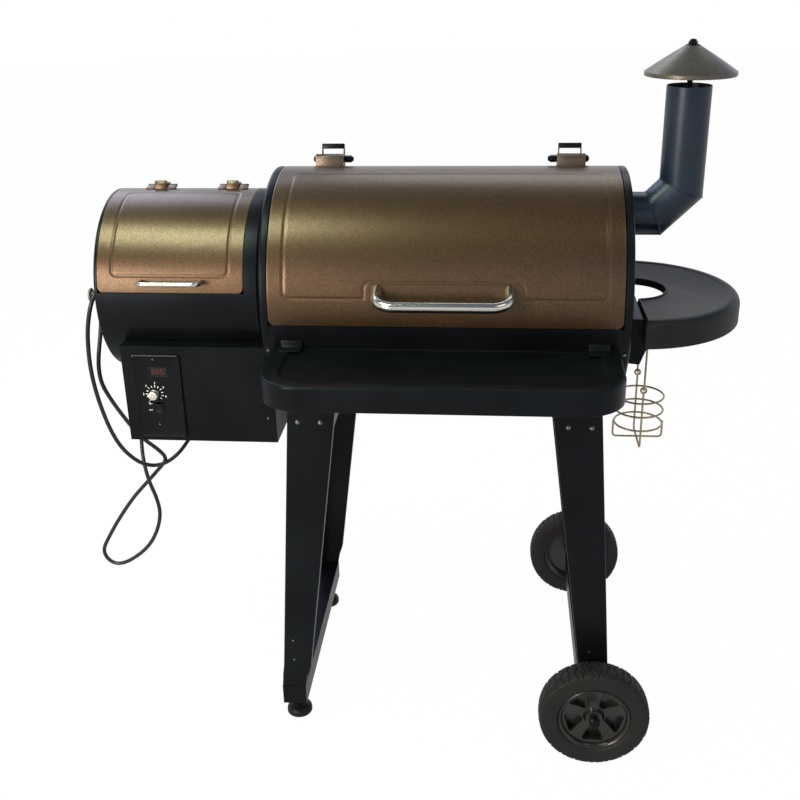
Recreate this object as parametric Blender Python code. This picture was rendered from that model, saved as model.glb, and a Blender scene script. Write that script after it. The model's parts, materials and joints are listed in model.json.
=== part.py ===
"""Barrel-type pellet smoker grill, modelled in metres with +Z up and its front towards -Y.

Sizes are given in the barrel's own frame: its origin is on the ground under the middle of the cooking
barrel. One empty, the grill's frame, then shifts everything so that the origin of the finished model
lies on the ground under the middle of its bounding box.
"""
import math

import bmesh
import bpy
from mathutils import Matrix, Vector

# Clearances and sheets
SEAT_GAP = 0.0003         # between pieces that touch
RUNNING_GAP = 0.0005      # round a shaft that turns
SHEET = 0.002             # steel sheet of barrel, hopper and housing
RING_SIDES = 32           # facets of a full turn of barrel or hopper

# Cooking barrel
BARREL_RADIUS = 0.206
BARREL_AXIS_Z = 0.850
BARREL_HALF = 0.300       # half of the length between the end panels' rims
END_RIM = 0.014           # width of the end panels' rims
END_EDGE_RADIUS = 0.006
END_FACE = BARREL_HALF + END_RIM
UNDERSIDE_Z = BARREL_AXIS_Z - BARREL_RADIUS
LID_FRONT_ANGLE = -6.5    # degrees above the horizontal, seen from the front
LID_REAR_ANGLE = 101.0
LID_END_GAP = 0.001
LID_CORNER = 0.012
SEAM_ANGLE = 0.1
SHELL_LIP = 0.012
PANEL_GROOVE_DEPTH = 0.0025
PANEL_GROOVE_HALF = 0.0035

# Lid hinges, handle and stops
HINGE_X = BARREL_HALF - 0.083
HINGE_PIVOT_ANGLE = 103.5
HINGE_PIVOT_RISE = 0.013  # from the barrel's surface to the bolt's axis
HINGE_BOX_WIDTH = 0.050
HINGE_BOX_REACH = 0.030
HINGE_BOLT_RADIUS = 0.004
HINGE_NUT_RADIUS = 0.0065
HINGE_NUT_LENGTH = 0.015
STOP_WIDTH = 0.046
STOP_HEIGHT = 0.045
STOP_BAR = 0.0095
HANDLE_RADIUS = 0.0090
HANDLE_HALF = 0.1105
HANDLE_REACH = 0.052
HANDLE_ANGLE = 11.5
HANDLE_BEND = 0.030
HANDLE_DIP = 0.45         # downward lean per unit of reach

# Chimney
STUB_Z = BARREL_AXIS_Z + 0.1245
CHIMNEY_X = END_FACE + 0.094
CHIMNEY_RADIUS = 0.038
CHIMNEY_WALL = 0.0015
CHIMNEY_TOP_Z = 1.195
ELBOW_RISE = 0.0455
FLANGE_RADIUS = 0.058
FLANGE_THICKNESS = 0.002
CAP_RADIUS = 0.077
CAP_RIM_Z = CHIMNEY_TOP_Z + 0.0160
CAP_SKIRT = 0.006
CAP_TOP_Z = CAP_RIM_Z + 0.0590
CAP_NUT_RADIUS = 0.008
CAP_DROP = 0.006
ROD_RADIUS = 0.005
ROD_STRAP_Z = CHIMNEY_TOP_Z - 0.045
ROD_STRAP_WIDTH = 0.014

# Hopper
HOPPER_RADIUS = BARREL_RADIUS - 0.040
HOPPER_LEFT_X = -END_FACE - 0.301
HOPPER_RIGHT_X = -END_FACE - 0.009
HOPPER_LID_LEFT_X = HOPPER_LEFT_X + 0.006
HOPPER_LID_RIGHT_X = HOPPER_RIGHT_X - 0.025
HOPPER_LID_FRONT_ANGLE = 6.9
HOPPER_LID_REAR_ANGLE = 97.0
HOPPER_PIVOT_ANGLE = 99.5
HOPPER_PIVOT_RISE = 0.006
HOPPER_HINGE_X = (HOPPER_LEFT_X + 0.083, HOPPER_LEFT_X + 0.218)
HOPPER_HANDLE_X = HOPPER_LEFT_X + 0.141
HOPPER_HANDLE_HALF = 0.053
HOPPER_HANDLE_DIP = 0.10
HOPPER_HANDLE_RADIUS = 0.0042
HOPPER_HANDLE_REACH = 0.030
HOPPER_HANDLE_ANGLE = 13.8
BIN_TOP_Z = BARREL_AXIS_Z + 0.012
BIN_COLLAR = 0.032        # upright wall of the bin above its funnel
GUARD_BAR = 0.003

# Auger, fire and blower
AUGER_Z = UNDERSIDE_Z + 0.046
TUBE_RADIUS = 0.024
TUBE_WALL = 0.002
TUBE_LEFT_X = HOPPER_LEFT_X + 0.095
AUGER_SHAFT_RADIUS = 0.006
AUGER_PITCH = 0.058
FIRE_POT_X = -0.030
FIRE_POT_RADIUS = 0.052
FIRE_POT_WALL = 0.003
FIRE_POT_TOP_Z = UNDERSIDE_Z + 0.091
IGNITER_RADIUS = 0.0045
IGNITER_LENGTH = 0.120
BLOWER_X = -END_FACE - 0.086
BLOWER_Y = 0.060
BLOWER_Z = AUGER_Z - 0.042
BLOWER_RADIUS = 0.036
BLOWER_WIDTH = 0.034
BLOWER_OUTLET_Z = AUGER_Z - 0.018
BLOWER_OUTLET_RADIUS = 0.0115
IMPELLER_BLADES = 10
IGNITER_Y = -0.034
IGNITER_Z = AUGER_Z - 0.016
BIN_THROAT = (HOPPER_LEFT_X + 0.115, HOPPER_LEFT_X + 0.175)
BIN_THROAT_HALF_Y = 0.015
PROBE_Y = -0.080
PROBE_Z = BARREL_AXIS_Z - 0.005
PROBE_RADIUS = 0.003
PROBE_LENGTH = 0.070

# Cooking surfaces
GRATE_Z = BARREL_AXIS_Z - 0.040
GRATE_HALF_X = BARREL_HALF + 0.009
GRATE_HALF_Y = math.sqrt(BARREL_RADIUS ** 2 - (BARREL_AXIS_Z - GRATE_Z) ** 2) - 0.019
GRATE_BAR = 0.006
GRATE_BARS = 14
RAIL_REACH = 0.016
TRAY_SLOPE = 0.055
TRAY_Z = BARREL_AXIS_Z - 0.078            # underside of the tray above the fire pot
TRAY_LEFT_X = -BARREL_HALF + 0.015
TRAY_RIGHT_X = BARREL_HALF - 0.028
TRAY_HALF_Y = GRATE_HALF_Y - 0.033
TRAY_LIP = 0.012
BAFFLE_HALF_X = 0.130
BAFFLE_HALF_Y = 0.100
SPOUT_Z = AUGER_Z + 0.002           # fold line of the spout at the panel
SPOUT_HALF_Y = 0.026
SPOUT_DEPTH = 0.050
SPOUT_INNER_X = TRAY_RIGHT_X
SPOUT_TIP_X = END_FACE + 0.056
SPOUT_SLOPE = 0.10

# Controller housing and control panel
HOUSING_LEFT_X = HOPPER_LEFT_X + 0.040
HOUSING_RIGHT_X = -BARREL_HALF - 0.002
HOUSING_HALF_Y = 0.180
HOUSING_BOTTOM_Z = 0.594
HOUSING_TOP_Z = BARREL_AXIS_Z - 0.073
PANEL_X = HOUSING_LEFT_X + 0.0635
PANEL_Z = 0.682
PANEL_WIDTH = 0.086
PANEL_HEIGHT = 0.160
PANEL_THICKNESS = 0.004
KNOB_X = PANEL_X - 0.0081
KNOB_Z = PANEL_Z + 0.0058
KNOB_RADIUS = 0.0085
KNOB_LENGTH = 0.013
DISPLAY_X = PANEL_X + 0.0015
DISPLAY_Z = PANEL_Z + 0.0468
DISPLAY_WIDTH = 0.0300
DISPLAY_HEIGHT = 0.0140
ROCKER_X = PANEL_X - 0.0022
ROCKER_Z = PANEL_Z - 0.0207
ROCKER_WIDTH = 0.0120
ROCKER_HEIGHT = 0.0195
ROCKER_TILT = 9.0

# Shelves
SHELF_HALF_X = BARREL_HALF - 0.004
SHELF_FRONT_Y = -BARREL_RADIUS - 0.172
SHELF_TOP_Z = BARREL_AXIS_Z - 0.064
SHELF_SKIRT = 0.042
SHELF_CORNER = 0.075
SHELF_SHEET = 0.002
SHELF_RIM = 0.030
SHELF_RECESS = 0.004
SHELF_BACK_GAP = 0.002    # between the tray's back edge and the barrel, beside the tabs
SHELF_TAB_X = SHELF_HALF_X - 0.034
SHELF_TAB_WIDTH = 0.036
SHELF_TAB_Z = SHELF_TOP_Z + 0.020
SIDE_SHELF_X = END_FACE + 0.015
SIDE_SHELF_RADIUS = 0.197
SIDE_SHELF_CHORD_X = END_FACE + 0.024
SIDE_SHELF_TOP_Z = BARREL_AXIS_Z - 0.0135
SIDE_SHELF_DEPTH = 0.047
SIDE_SHELF_WALL = 0.0035
SIDE_NOTCH_RADIUS = 0.060
BRACKET_HALF_Y = 0.166
TONGUE_Y = 0.115
TONGUE_WIDTH = 0.040
TONGUE_REACH = 0.050

# Legs, crossbars and wheels
LEG_FACE_Y = BARREL_RADIUS + 0.022
LEG_TOP_Z = UNDERSIDE_Z + 0.056
LEG_TOP_OUTER = BARREL_HALF - 0.030
LEG_TOP_INNER = BARREL_HALF - 0.115
LEG_OUTER_SPLAY = 0.072   # sideways run per metre of height
LEG_INNER_SPLAY = 0.128
LEG_TAPER = 0.048         # height of the tapered lower end
LEG_OUTER_FLANGE = 0.034
LEG_INNER_FLANGE = 0.016
BOLT_Z = LEG_TOP_Z - 0.0425
SADDLE_BOTTOM_Z = UNDERSIDE_Z - 0.012
SADDLE_SHARE = 0.728      # of the barrel's radius, from its axis down to the saddle's top
CROSSBAR_WIDTH = 0.046
CROSSBAR_HEIGHT = 0.041
CROSSBAR_HALF_Y = LEG_FACE_Y + 0.0005
LEFT_CROSSBAR_X = -BARREL_HALF + 0.0075
LEFT_CROSSBAR_Z = 0.0685
FOOT_Y = LEG_FACE_Y - 0.038
FOOT_RADIUS = 0.025
FOOT_HEIGHT = 0.022
FOOT_STEM_RADIUS = 0.005
WHEEL_RADIUS = 0.1016
WHEEL_X = BARREL_HALF - 0.0195
WHEEL_Y = LEG_FACE_Y + 0.055
TYRE_WIDTH = 0.050
RIM_RADIUS = 0.066
HUB_BOSS_RADIUS = 0.016
HUB_WINDOWS = 5
HUB_PHASE = 0.013
WHEEL_SIDES = 24
AXLE_RADIUS = 0.006

# Basket under the grease spout
BASKET_X = SPOUT_TIP_X - 0.0065
BASKET_RADIUS = 0.045
BASKET_WIRE = 0.0016
BASKET_RING_Z = (SPOUT_Z - 0.124, SPOUT_Z - 0.096, SPOUT_Z - 0.068)
BASKET_BOTTOM_Z = SPOUT_Z - 0.155
BASKET_EAR_Z = SPOUT_Z - 0.040
BAIL_PIN_RISE = 0.0011    # of the bail's ends over the eyes' centres
EYE_RADIUS = 0.0046

# Cord
PEG_Y = -0.100
PEG_Z = BARREL_AXIS_Z - 0.005
PEG_LENGTH = 0.034
PEG_RADIUS = 0.0060
PEG_HEAD_RADIUS = 0.013
CORD_RADIUS = 0.0036
GLAND_X = HOUSING_LEFT_X + 0.075
GLAND_Z = 0.628
PLUG_LENGTH = 0.040
PLUG_RADIUS = 0.0125

# Route of the cord's centre: out of the gland, down behind the housing and round to the left, up over the peg,
# down again into a loose figure of eight, up behind the housing and along the ledge behind the hopper.
CORD_ROUTE = (
    (-0.5000, 0.1820, 0.6280), (-0.5000, 0.2080, 0.6280), (-0.5000, 0.2230, 0.6280), (-0.5030, 0.2490, 0.6170),
    (-0.5130, 0.2420, 0.5860),
    (-0.5320, 0.1500, 0.5080), (-0.5520, 0.0500, 0.4700), (-0.5770, 0.0200, 0.4500), (-0.6070, 0.0050, 0.4430),
    (-0.6340, -0.0150, 0.4660), (-0.6560, -0.0450, 0.5200), (-0.6660, -0.0750, 0.6020), (-0.6670, -0.0980, 0.6900),
    (-0.6570, -0.1160, 0.7650), (-0.6420, -0.1250, 0.8220), (-0.6340, -0.1160, 0.8480), (-0.6320, -0.1000, 0.8552),
    (-0.6340, -0.0840, 0.8470), (-0.6400, -0.0780, 0.8200), (-0.6480, -0.0830, 0.7600), (-0.6560, -0.0920, 0.7100),
    (-0.6560, -0.0880, 0.6680), (-0.6480, -0.0700, 0.6250), (-0.6380, -0.0480, 0.5820), (-0.6280, -0.0280, 0.5450),
    (-0.6120, -0.0130, 0.5120), (-0.5930, 0.0020, 0.4860), (-0.5820, 0.0160, 0.4620), (-0.6040, 0.0320, 0.4270),
    (-0.6360, 0.0330, 0.3910), (-0.6700, 0.0330, 0.3530), (-0.7100, 0.0330, 0.2970), (-0.7360, 0.0320, 0.2540),
    (-0.7490, 0.0300, 0.2200), (-0.7420, 0.0290, 0.1960), (-0.7180, 0.0280, 0.1920), (-0.6850, 0.0270, 0.2080),
    (-0.6480, 0.0250, 0.2400), (-0.6240, 0.0230, 0.2800), (-0.6110, 0.0190, 0.3250), (-0.6130, 0.0140, 0.3650),
    (-0.6220, 0.0120, 0.4000), (-0.6290, 0.0140, 0.4350), (-0.6350, 0.0250, 0.4700), (-0.6420, 0.0550, 0.5150),
    (-0.6500, 0.1050, 0.5800), (-0.6540, 0.1520, 0.6500), (-0.6480, 0.1880, 0.7200), (-0.6330, 0.1980, 0.7680),
    (-0.6080, 0.1860, 0.7920), (-0.5800, 0.1780, 0.7905), (-0.5560, 0.1780, 0.7905),
)
CORD_BASE_X = -0.615      # where the route was laid out from: the hopper's left face
CORD_POINTS = 68
CORD_BEND_WEIGHT = 0.12

# The bounding box runs from the peg's head to the side shelf's edge and from the front shelf to the axle's end
AXLE_END_Y = WHEEL_Y + TYRE_WIDTH / 2 + 0.008
FRAME_SHIFT_X = -((HOPPER_LEFT_X - SEAT_GAP - PEG_LENGTH) + (SIDE_SHELF_X + SIDE_SHELF_RADIUS)) / 2
FRAME_SHIFT_Y = -(SHELF_FRONT_Y + AXLE_END_Y) / 2


# ---------------------------------------------------------------- tools

def clear_scene():
    for obj in list(bpy.data.objects):
        bpy.data.objects.remove(obj, do_unlink=True)


def material(name, colour, roughness, metallic):
    """Return the named Principled material, made on first use."""
    found = bpy.data.materials.get(name)
    if found:
        return found
    made = bpy.data.materials.new(name)
    made.use_nodes = True
    shader = made.node_tree.nodes["Principled BSDF"]
    shader.inputs["Base Color"].default_value = (*colour, 1.0)
    shader.inputs["Roughness"].default_value = roughness
    shader.inputs["Metallic"].default_value = metallic
    return made


def black_steel():
    return material("satin_black_steel", (0.012, 0.013, 0.015), 0.42, 0.2)


def bronze_steel():
    return material("bronze_powder_coat", (0.16, 0.115, 0.075), 0.40, 0.7)


def stainless():
    return material("stainless_steel", (0.62, 0.60, 0.56), 0.25, 1.0)


def black_plastic():
    return material("black_plastic", (0.015, 0.015, 0.016), 0.5, 0.0)


def enamel():
    return material("black_enamel", (0.01, 0.01, 0.011), 0.3, 0.0)


def galvanised():
    return material("galvanised_steel", (0.45, 0.46, 0.47), 0.45, 0.9)


def add_object(name, bm, finish=None):
    """Turn a bmesh into a linked object; the bmesh is freed."""
    bmesh.ops.recalc_face_normals(bm, faces=bm.faces[:])
    mesh = bpy.data.meshes.new(name)
    bm.to_mesh(mesh)
    bm.free()
    obj = bpy.data.objects.new(name, mesh)
    bpy.context.collection.objects.link(obj)
    if finish:
        mesh.materials.append(finish)
    return obj


def apply_boolean(obj, others, operation):
    """Join, cut or intersect obj with the other objects, which are used up."""
    for other in others:
        step = obj.modifiers.new("combine", "BOOLEAN")
        step.operation = operation
        step.solver = "EXACT"
        step.object = other
    bpy.context.view_layer.update()
    evaluated = obj.evaluated_get(bpy.context.evaluated_depsgraph_get())
    result = bpy.data.meshes.new_from_object(evaluated)
    obj.modifiers.clear()
    old = obj.data
    obj.data = result
    bpy.data.meshes.remove(old)
    for other in others:
        bpy.data.objects.remove(other, do_unlink=True)
    return obj


def unite(obj, *others):
    return apply_boolean(obj, others, "UNION")


def cut(obj, *others):
    return apply_boolean(obj, others, "DIFFERENCE")


def finish_piece(obj, finish, smooth_angle=35.0):
    """Give a finished piece its material and smooth its round faces."""
    obj.data.materials.clear()
    obj.data.materials.append(finish)
    obj.data.shade_smooth()
    obj.data.set_sharp_from_angle(angle=math.radians(smooth_angle))
    return obj


def box(name, low, high):
    bm = bmesh.new()
    corners = [[x, y, z] for x in (low[0], high[0]) for y in (low[1], high[1]) for z in (low[2], high[2])]
    made = [bm.verts.new(corner) for corner in corners]
    for loop in ((0, 1, 3, 2), (4, 6, 7, 5), (0, 4, 5, 1), (2, 3, 7, 6), (0, 2, 6, 4), (1, 5, 7, 3)):
        bm.faces.new([made[i] for i in loop])
    return add_object(name, bm)


def axes_frame(axis):
    """Unit vectors (u, v, w) with w along the axis X, Y or Z."""
    if axis == "X":
        return Vector((0, -1, 0)), Vector((0, 0, 1)), Vector((1, 0, 0))
    if axis == "Y":
        return Vector((1, 0, 0)), Vector((0, 0, 1)), Vector((0, 1, 0))
    return Vector((1, 0, 0)), Vector((0, 1, 0)), Vector((0, 0, 1))


def turned(name, axis, centre, profile, sides=RING_SIDES, closed=False):
    """Revolve a profile of (along, radius) points about an axis through centre.

    A closed profile makes a ring; an open one is capped flat at its first and last points.
    """
    u, v, w = axes_frame(axis)
    centre = Vector(centre)
    turns = [2 * math.pi * i / sides for i in range(sides)]
    bm = bmesh.new()
    rings = [[bm.verts.new(centre + w * along + (u * math.cos(t) + v * math.sin(t)) * radius) for t in turns]
             for along, radius in profile]
    for first, second in zip(rings, rings[1:]):
        bridge(bm, first, second)
    if closed:
        bridge(bm, rings[-1], rings[0])
    else:
        bm.faces.new(rings[0])
        bm.faces.new(rings[-1])
    return add_object(name, bm)


def bridge(bm, first, second):
    """Faces between two rings of as many vertices."""
    count = len(first)
    for i in range(count):
        j = (i + 1) % count
        bm.faces.new((first[i], first[j], second[j], second[i]))


def rod(name, axis, centre, radius, start, end, sides=16):
    return turned(name, axis, centre, [(start, radius), (end, radius)], sides)


def prism(name, axis, outline, start, end):
    """Extrude a flat outline of (u, v) points along an axis; X takes (y, z), Y takes (x, z), Z takes (x, y)."""
    place = {"X": lambda p, w: (w, p[0], p[1]), "Y": lambda p, w: (p[0], w, p[1]), "Z": lambda p, w: (p[0], p[1], w)}
    bm = bmesh.new()
    lower = [bm.verts.new(place[axis](p, start)) for p in outline]
    upper = [bm.verts.new(place[axis](p, end)) for p in outline]
    bm.faces.new(lower)
    bm.faces.new(upper)
    bridge(bm, lower, upper)
    return add_object(name, bm)


def stacked(name, outline, levels):
    """Stack copies of an outline into one skin: levels are (inset, z), outline(inset) gives (x, y) points."""
    bm = bmesh.new()
    rings = [[bm.verts.new((x, y, z)) for x, y in outline(inset)] for inset, z in levels]
    bm.faces.new(rings[0])
    bm.faces.new(rings[-1])
    for first, second in zip(rings, rings[1:]):
        bridge(bm, first, second)
    return add_object(name, bm)


def swept(name, points, radius, sides=10, closed=False):
    """Round wire along a list of points, with flat ends unless it closes on itself."""
    points = [Vector(p) for p in points]
    count = len(points)
    bm = bmesh.new()
    rings = []
    side = None
    for i, point in enumerate(points):
        before = points[(i - 1) % count] if closed or i else point
        after = points[(i + 1) % count] if closed or i < count - 1 else point
        run_in = (point - before).normalized() if point != before else (after - point).normalized()
        run_out = (after - point).normalized() if point != after else run_in
        along = (run_in + run_out).normalized()
        if side is None:
            side = along.orthogonal().normalized()
        side = (side - along * side.dot(along)).normalized()
        cross = along.cross(side)
        lean = max(0.3, run_in.dot(along))
        bend = (run_out - run_in)
        bend = bend.normalized() if bend.length > 1e-6 else Vector((0, 0, 0))
        ring = []
        for k in range(sides):
            turn = 2 * math.pi * k / sides
            offset = (side * math.cos(turn) + cross * math.sin(turn)) * radius
            offset += bend * offset.dot(bend) * (1 / lean - 1)
            ring.append(bm.verts.new(point + offset))
        rings.append(ring)
    for first, second in zip(rings, rings[1:]):
        bridge(bm, first, second)
    if closed:
        first, second = rings[-1], rings[0]
        start = min(range(sides), key=lambda k: (second[k].co - first[0].co).length)
        bridge(bm, first, second[start:] + second[:start])
    else:
        bm.faces.new(rings[0])
        bm.faces.new(rings[-1])
    return add_object(name, bm)


def arc_angles(start, end):
    """Degrees from start to end, through every facet line of the full ring in between."""
    step = 360.0 / RING_SIDES
    low = math.floor(start / step) + 1
    inner = [k * step for k in range(low, math.ceil(end / step)) if start + 0.3 < k * step < end - 0.3]
    return [start] + inner + [end]


def on_ring(radius, angle, rise=0.0):
    """(y, z) of a point on a facet of the barrel's or hopper's ring; angle 0 faces the front, 90 is the top."""
    step = 360.0 / RING_SIDES
    flat = math.cos(math.radians(step / 2)) / math.cos(math.radians(angle % step - step / 2))
    turn = math.radians(angle)
    reach = radius * flat + rise
    return -reach * math.cos(turn), BARREL_AXIS_Z + reach * math.sin(turn)


def ring_depth(radius, z):
    """Distance in y from the axis to the ring's surface at height z."""
    return math.sqrt(radius * radius - (z - BARREL_AXIS_Z) ** 2)


def ring_cutter(radius, start_x, end_x):
    return turned("cutter", "X", (0, 0, BARREL_AXIS_Z), [(start_x, radius), (end_x, radius)])


# ---------------------------------------------------------------- cooking barrel

def barrel_shell():
    start = LID_REAR_ANGLE + SEAM_ANGLE
    end = 360 + LID_FRONT_ANGLE - SEAM_ANGLE
    inner = BARREL_RADIUS - SHEET
    lip = BARREL_RADIUS - SHELL_LIP
    hem = math.degrees(SHEET / BARREL_RADIUS)
    outline = [on_ring(BARREL_RADIUS, a) for a in arc_angles(start, end)]
    outline += [on_ring(lip, end), on_ring(lip, end - hem)]
    outline += [on_ring(inner, a) for a in reversed(arc_angles(start + hem, end - hem))]
    outline += [on_ring(lip, start + hem), on_ring(lip, start)]
    half = BARREL_HALF
    return finish_piece(prism("barrel_shell", "X", outline, -half, half), black_steel())


def end_panel(name, side):
    """Pressed disc with a rim that meets the shell's end; side is -1 on the left and 1 on the right."""
    rim = BARREL_HALF + SEAT_GAP
    face = BARREL_HALF + END_RIM
    edge = END_EDGE_RADIUS
    profile = []
    for turn in (90, 45, 0):
        t = math.radians(turn)
        profile.append((face - edge + edge * math.sin(t), BARREL_RADIUS - edge + edge * math.cos(t)))
    profile += [(rim, BARREL_RADIUS), (rim, BARREL_RADIUS - SHEET), (face - edge, BARREL_RADIUS - SHEET)]
    profile.append((face - SHEET, BARREL_RADIUS - edge))
    panel = turned(name, "X", (0, 0, BARREL_AXIS_Z), [(side * x, r) for x, r in profile])
    wall = (face - SHEET / 2) * side
    reach = (face - RAIL_REACH - SHEET) * side
    rail_top = GRATE_Z - SEAT_GAP
    low_x, high_x = sorted((wall, reach))
    rail = box("rail", (low_x, -GRATE_HALF_Y + 0.03, rail_top - SHEET), (high_x, GRATE_HALF_Y - 0.03, rail_top))
    low_x, high_x = sorted((wall, (face - 2.5 * SHEET) * side))
    web = box("web", (low_x, -GRATE_HALF_Y + 0.03, rail_top - 0.020),
              (high_x, GRATE_HALF_Y - 0.03, rail_top - SHEET / 2))
    unite(panel, unite(rail, web))
    through = (BARREL_HALF, face + SHEET)
    if side < 0:
        through = (-through[1], -through[0])
        cut(panel, rod("hole", "X", (0, 0, AUGER_Z), TUBE_RADIUS + SEAT_GAP, *through, sides=24),
            rod("hole", "X", (0, BLOWER_Y, BLOWER_OUTLET_Z), BLOWER_OUTLET_RADIUS, *through, sides=16),
            rod("hole", "X", (0, PROBE_Y, PROBE_Z), PROBE_RADIUS + SEAT_GAP, *through, sides=12))
    else:
        hole = CHIMNEY_RADIUS - CHIMNEY_WALL
        cut(panel, rod("hole", "X", (0, 0, STUB_Z), hole, *through, sides=24),
            spout_solid("hole", SEAT_GAP, BARREL_HALF, face + SHEET, 0.0))
    return finish_piece(panel, black_steel())


def curved_lid(name, radius, left_x, right_x, start, end, groove):
    """Sheet bent round the ring, with rounded front corners and a pressed groove round its panel.

    groove(x, angle) gives how deep the pressing is; its x and angle lines are returned by groove.lines.
    """
    corner = LID_CORNER
    corner_angle = math.degrees(corner / radius)
    xs = sorted([left_x, left_x + corner, right_x - corner, right_x] + groove["x"])
    angles = sorted(arc_angles(start, end) + groove["angle"] + [start + corner_angle])
    kept = [angles[0]]
    for angle in angles[1:]:
        if angle - kept[-1] > 0.35:
            kept.append(angle)
    angles = kept
    bm = bmesh.new()
    outer = []
    for i, x in enumerate(xs):
        column = []
        for j, angle in enumerate(angles):
            shift = 0.0
            if j == 0 and i in (0, len(xs) - 1):
                shift = corner * 0.29 if i == 0 else -corner * 0.29
            turn = angle + (corner_angle * 0.29 if shift else 0.0)
            y, z = on_ring(radius, turn, -groove["depth"](x, angle))
            column.append(bm.verts.new((x + shift, y, z)))
        outer.append(column)
    for i in range(len(xs) - 1):
        for j in range(len(angles) - 1):
            bm.faces.new((outer[i][j], outer[i + 1][j], outer[i + 1][j + 1], outer[i][j + 1]))
    inner = [[bm.verts.new(on_sheet_back(radius, vert.co)) for vert in column]
             if i in (0, 1, len(xs) - 2, len(xs) - 1) else None for i, column in enumerate(outer)]
    groove_free = [0, 1, len(xs) - 2, len(xs) - 1]
    last = len(angles) - 1
    for a, b in zip(groove_free, groove_free[1:]):
        for j in range(last):
            bm.faces.new((inner[a][j], inner[b][j], inner[b][j + 1], inner[a][j + 1]))
    for j in range(last):
        for i in (0, len(xs) - 1):
            bm.faces.new((outer[i][j], outer[i][j + 1], inner[i][j + 1], inner[i][j]))
    for j in (0, last):
        for a, b in zip(groove_free, groove_free[1:]):
            row = [outer[i][j] for i in range(a, b + 1)]
            bm.faces.new(row + [inner[b][j], inner[a][j]])
    return add_object(name, bm)


def on_sheet_back(radius, point):
    """The point on the sheet's inner side behind a point of its outer side."""
    angle = math.degrees(math.atan2(point.z - BARREL_AXIS_Z, -point.y))
    return (point.x, *on_ring(radius - SHEET, angle))


def groove_lines(centre_values, half):
    return [value + offset for value in centre_values for offset in (-half, 0.0, half)]


def panel_groove(radius, left, right, low, high, notch=None):
    """Pressed groove round a panel from x left..right and angle low..high, with an optional raised notch."""
    half = PANEL_GROOVE_HALF
    half_angle = math.degrees(half / radius)
    x_lines = [left, right]
    angle_lines = [low, high]
    if notch:
        x_lines += [-notch["half"], notch["half"]]
        angle_lines.append(notch["angle"])

    def depth(x, angle):
        inside_x = left - half / 2 < x < right + half / 2
        inside_angle = low - half_angle / 2 < angle < high + half_angle / 2
        hit = False
        if inside_angle and (abs(x - left) < half / 2 or abs(x - right) < half / 2):
            hit = True
        in_notch = notch and abs(x) < notch["half"] - half / 2
        bottom = notch["angle"] if in_notch else low
        if inside_x and (abs(angle - high) < half_angle / 2 or abs(angle - bottom) < half_angle / 2):
            hit = True
        if notch and abs(abs(x) - notch["half"]) < half / 2 and low - half_angle / 2 < angle:
            hit = hit or angle < notch["angle"] + half_angle / 2
        return PANEL_GROOVE_DEPTH if hit else 0.0

    return {"x": groove_lines(x_lines, half), "angle": groove_lines(angle_lines, half_angle), "depth": depth}


def main_lid():
    half = BARREL_HALF - LID_END_GAP
    groove = panel_groove(BARREL_RADIUS, -half + 0.028, half - 0.028, 7.2, 79.5,
                          {"half": HANDLE_HALF + 0.0235, "angle": 15.0})
    lid = curved_lid("main_lid", BARREL_RADIUS, -half, half, LID_FRONT_ANGLE, LID_REAR_ANGLE, groove)
    return finish_piece(lid, bronze_steel())


def turned_about_pivot(pivot, angle, points):
    """Place (across, out) points, out along the pivot's ring normal, in world (y, z)."""
    turn = math.radians(angle)
    out = Vector((-math.cos(turn), math.sin(turn)))
    front = Vector((-math.sin(turn), -math.cos(turn)))
    base = Vector(pivot)
    return [tuple(base + front * p[0] + out * p[1]) for p in points]


def lid_hinge(name, centre_x):
    """Folded box riveted on the lid's rear edge, whose ears turn on the hinge bolt."""
    pivot = on_ring(BARREL_RADIUS, HINGE_PIVOT_ANGLE, HINGE_PIVOT_RISE)
    half = HINGE_BOX_WIDTH / 2
    ear = HINGE_NUT_RADIUS + 0.0015
    reach = HINGE_BOX_REACH
    side = turned_about_pivot(pivot, HINGE_PIVOT_ANGLE, [
        (-ear * 0.9, -0.004), (-ear * 0.9, ear * 0.5), (-ear * 0.3, ear), (reach * 0.75, ear),
        (reach, ear * 0.4), (reach, -HINGE_PIVOT_RISE - 0.01), (ear * 0.8, -HINGE_PIVOT_RISE - 0.01)])
    bracket = prism(name, "X", side, centre_x - half, centre_x + half)
    hollow = turned_about_pivot(pivot, HINGE_PIVOT_ANGLE, [
        (-ear * 2, -0.03), (-ear * 2, 2 * ear), (0.001, 2 * ear), (0.001, ear - SHEET),
        (reach - SHEET, ear - SHEET), (reach - SHEET, -0.03)])
    inner = half - SHEET
    cut(bracket, prism("hollow", "X", hollow, centre_x - inner, centre_x + inner))
    cut(bracket, rod("bore", "X", (0, pivot[0], pivot[1]), HINGE_BOLT_RADIUS + RUNNING_GAP,
                     centre_x - half - 0.001, centre_x + half + 0.001, sides=16))
    cut(bracket, ring_cutter(BARREL_RADIUS + SEAT_GAP, centre_x - 2 * half, centre_x + 2 * half))
    return finish_piece(bracket, bronze_steel())


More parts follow.
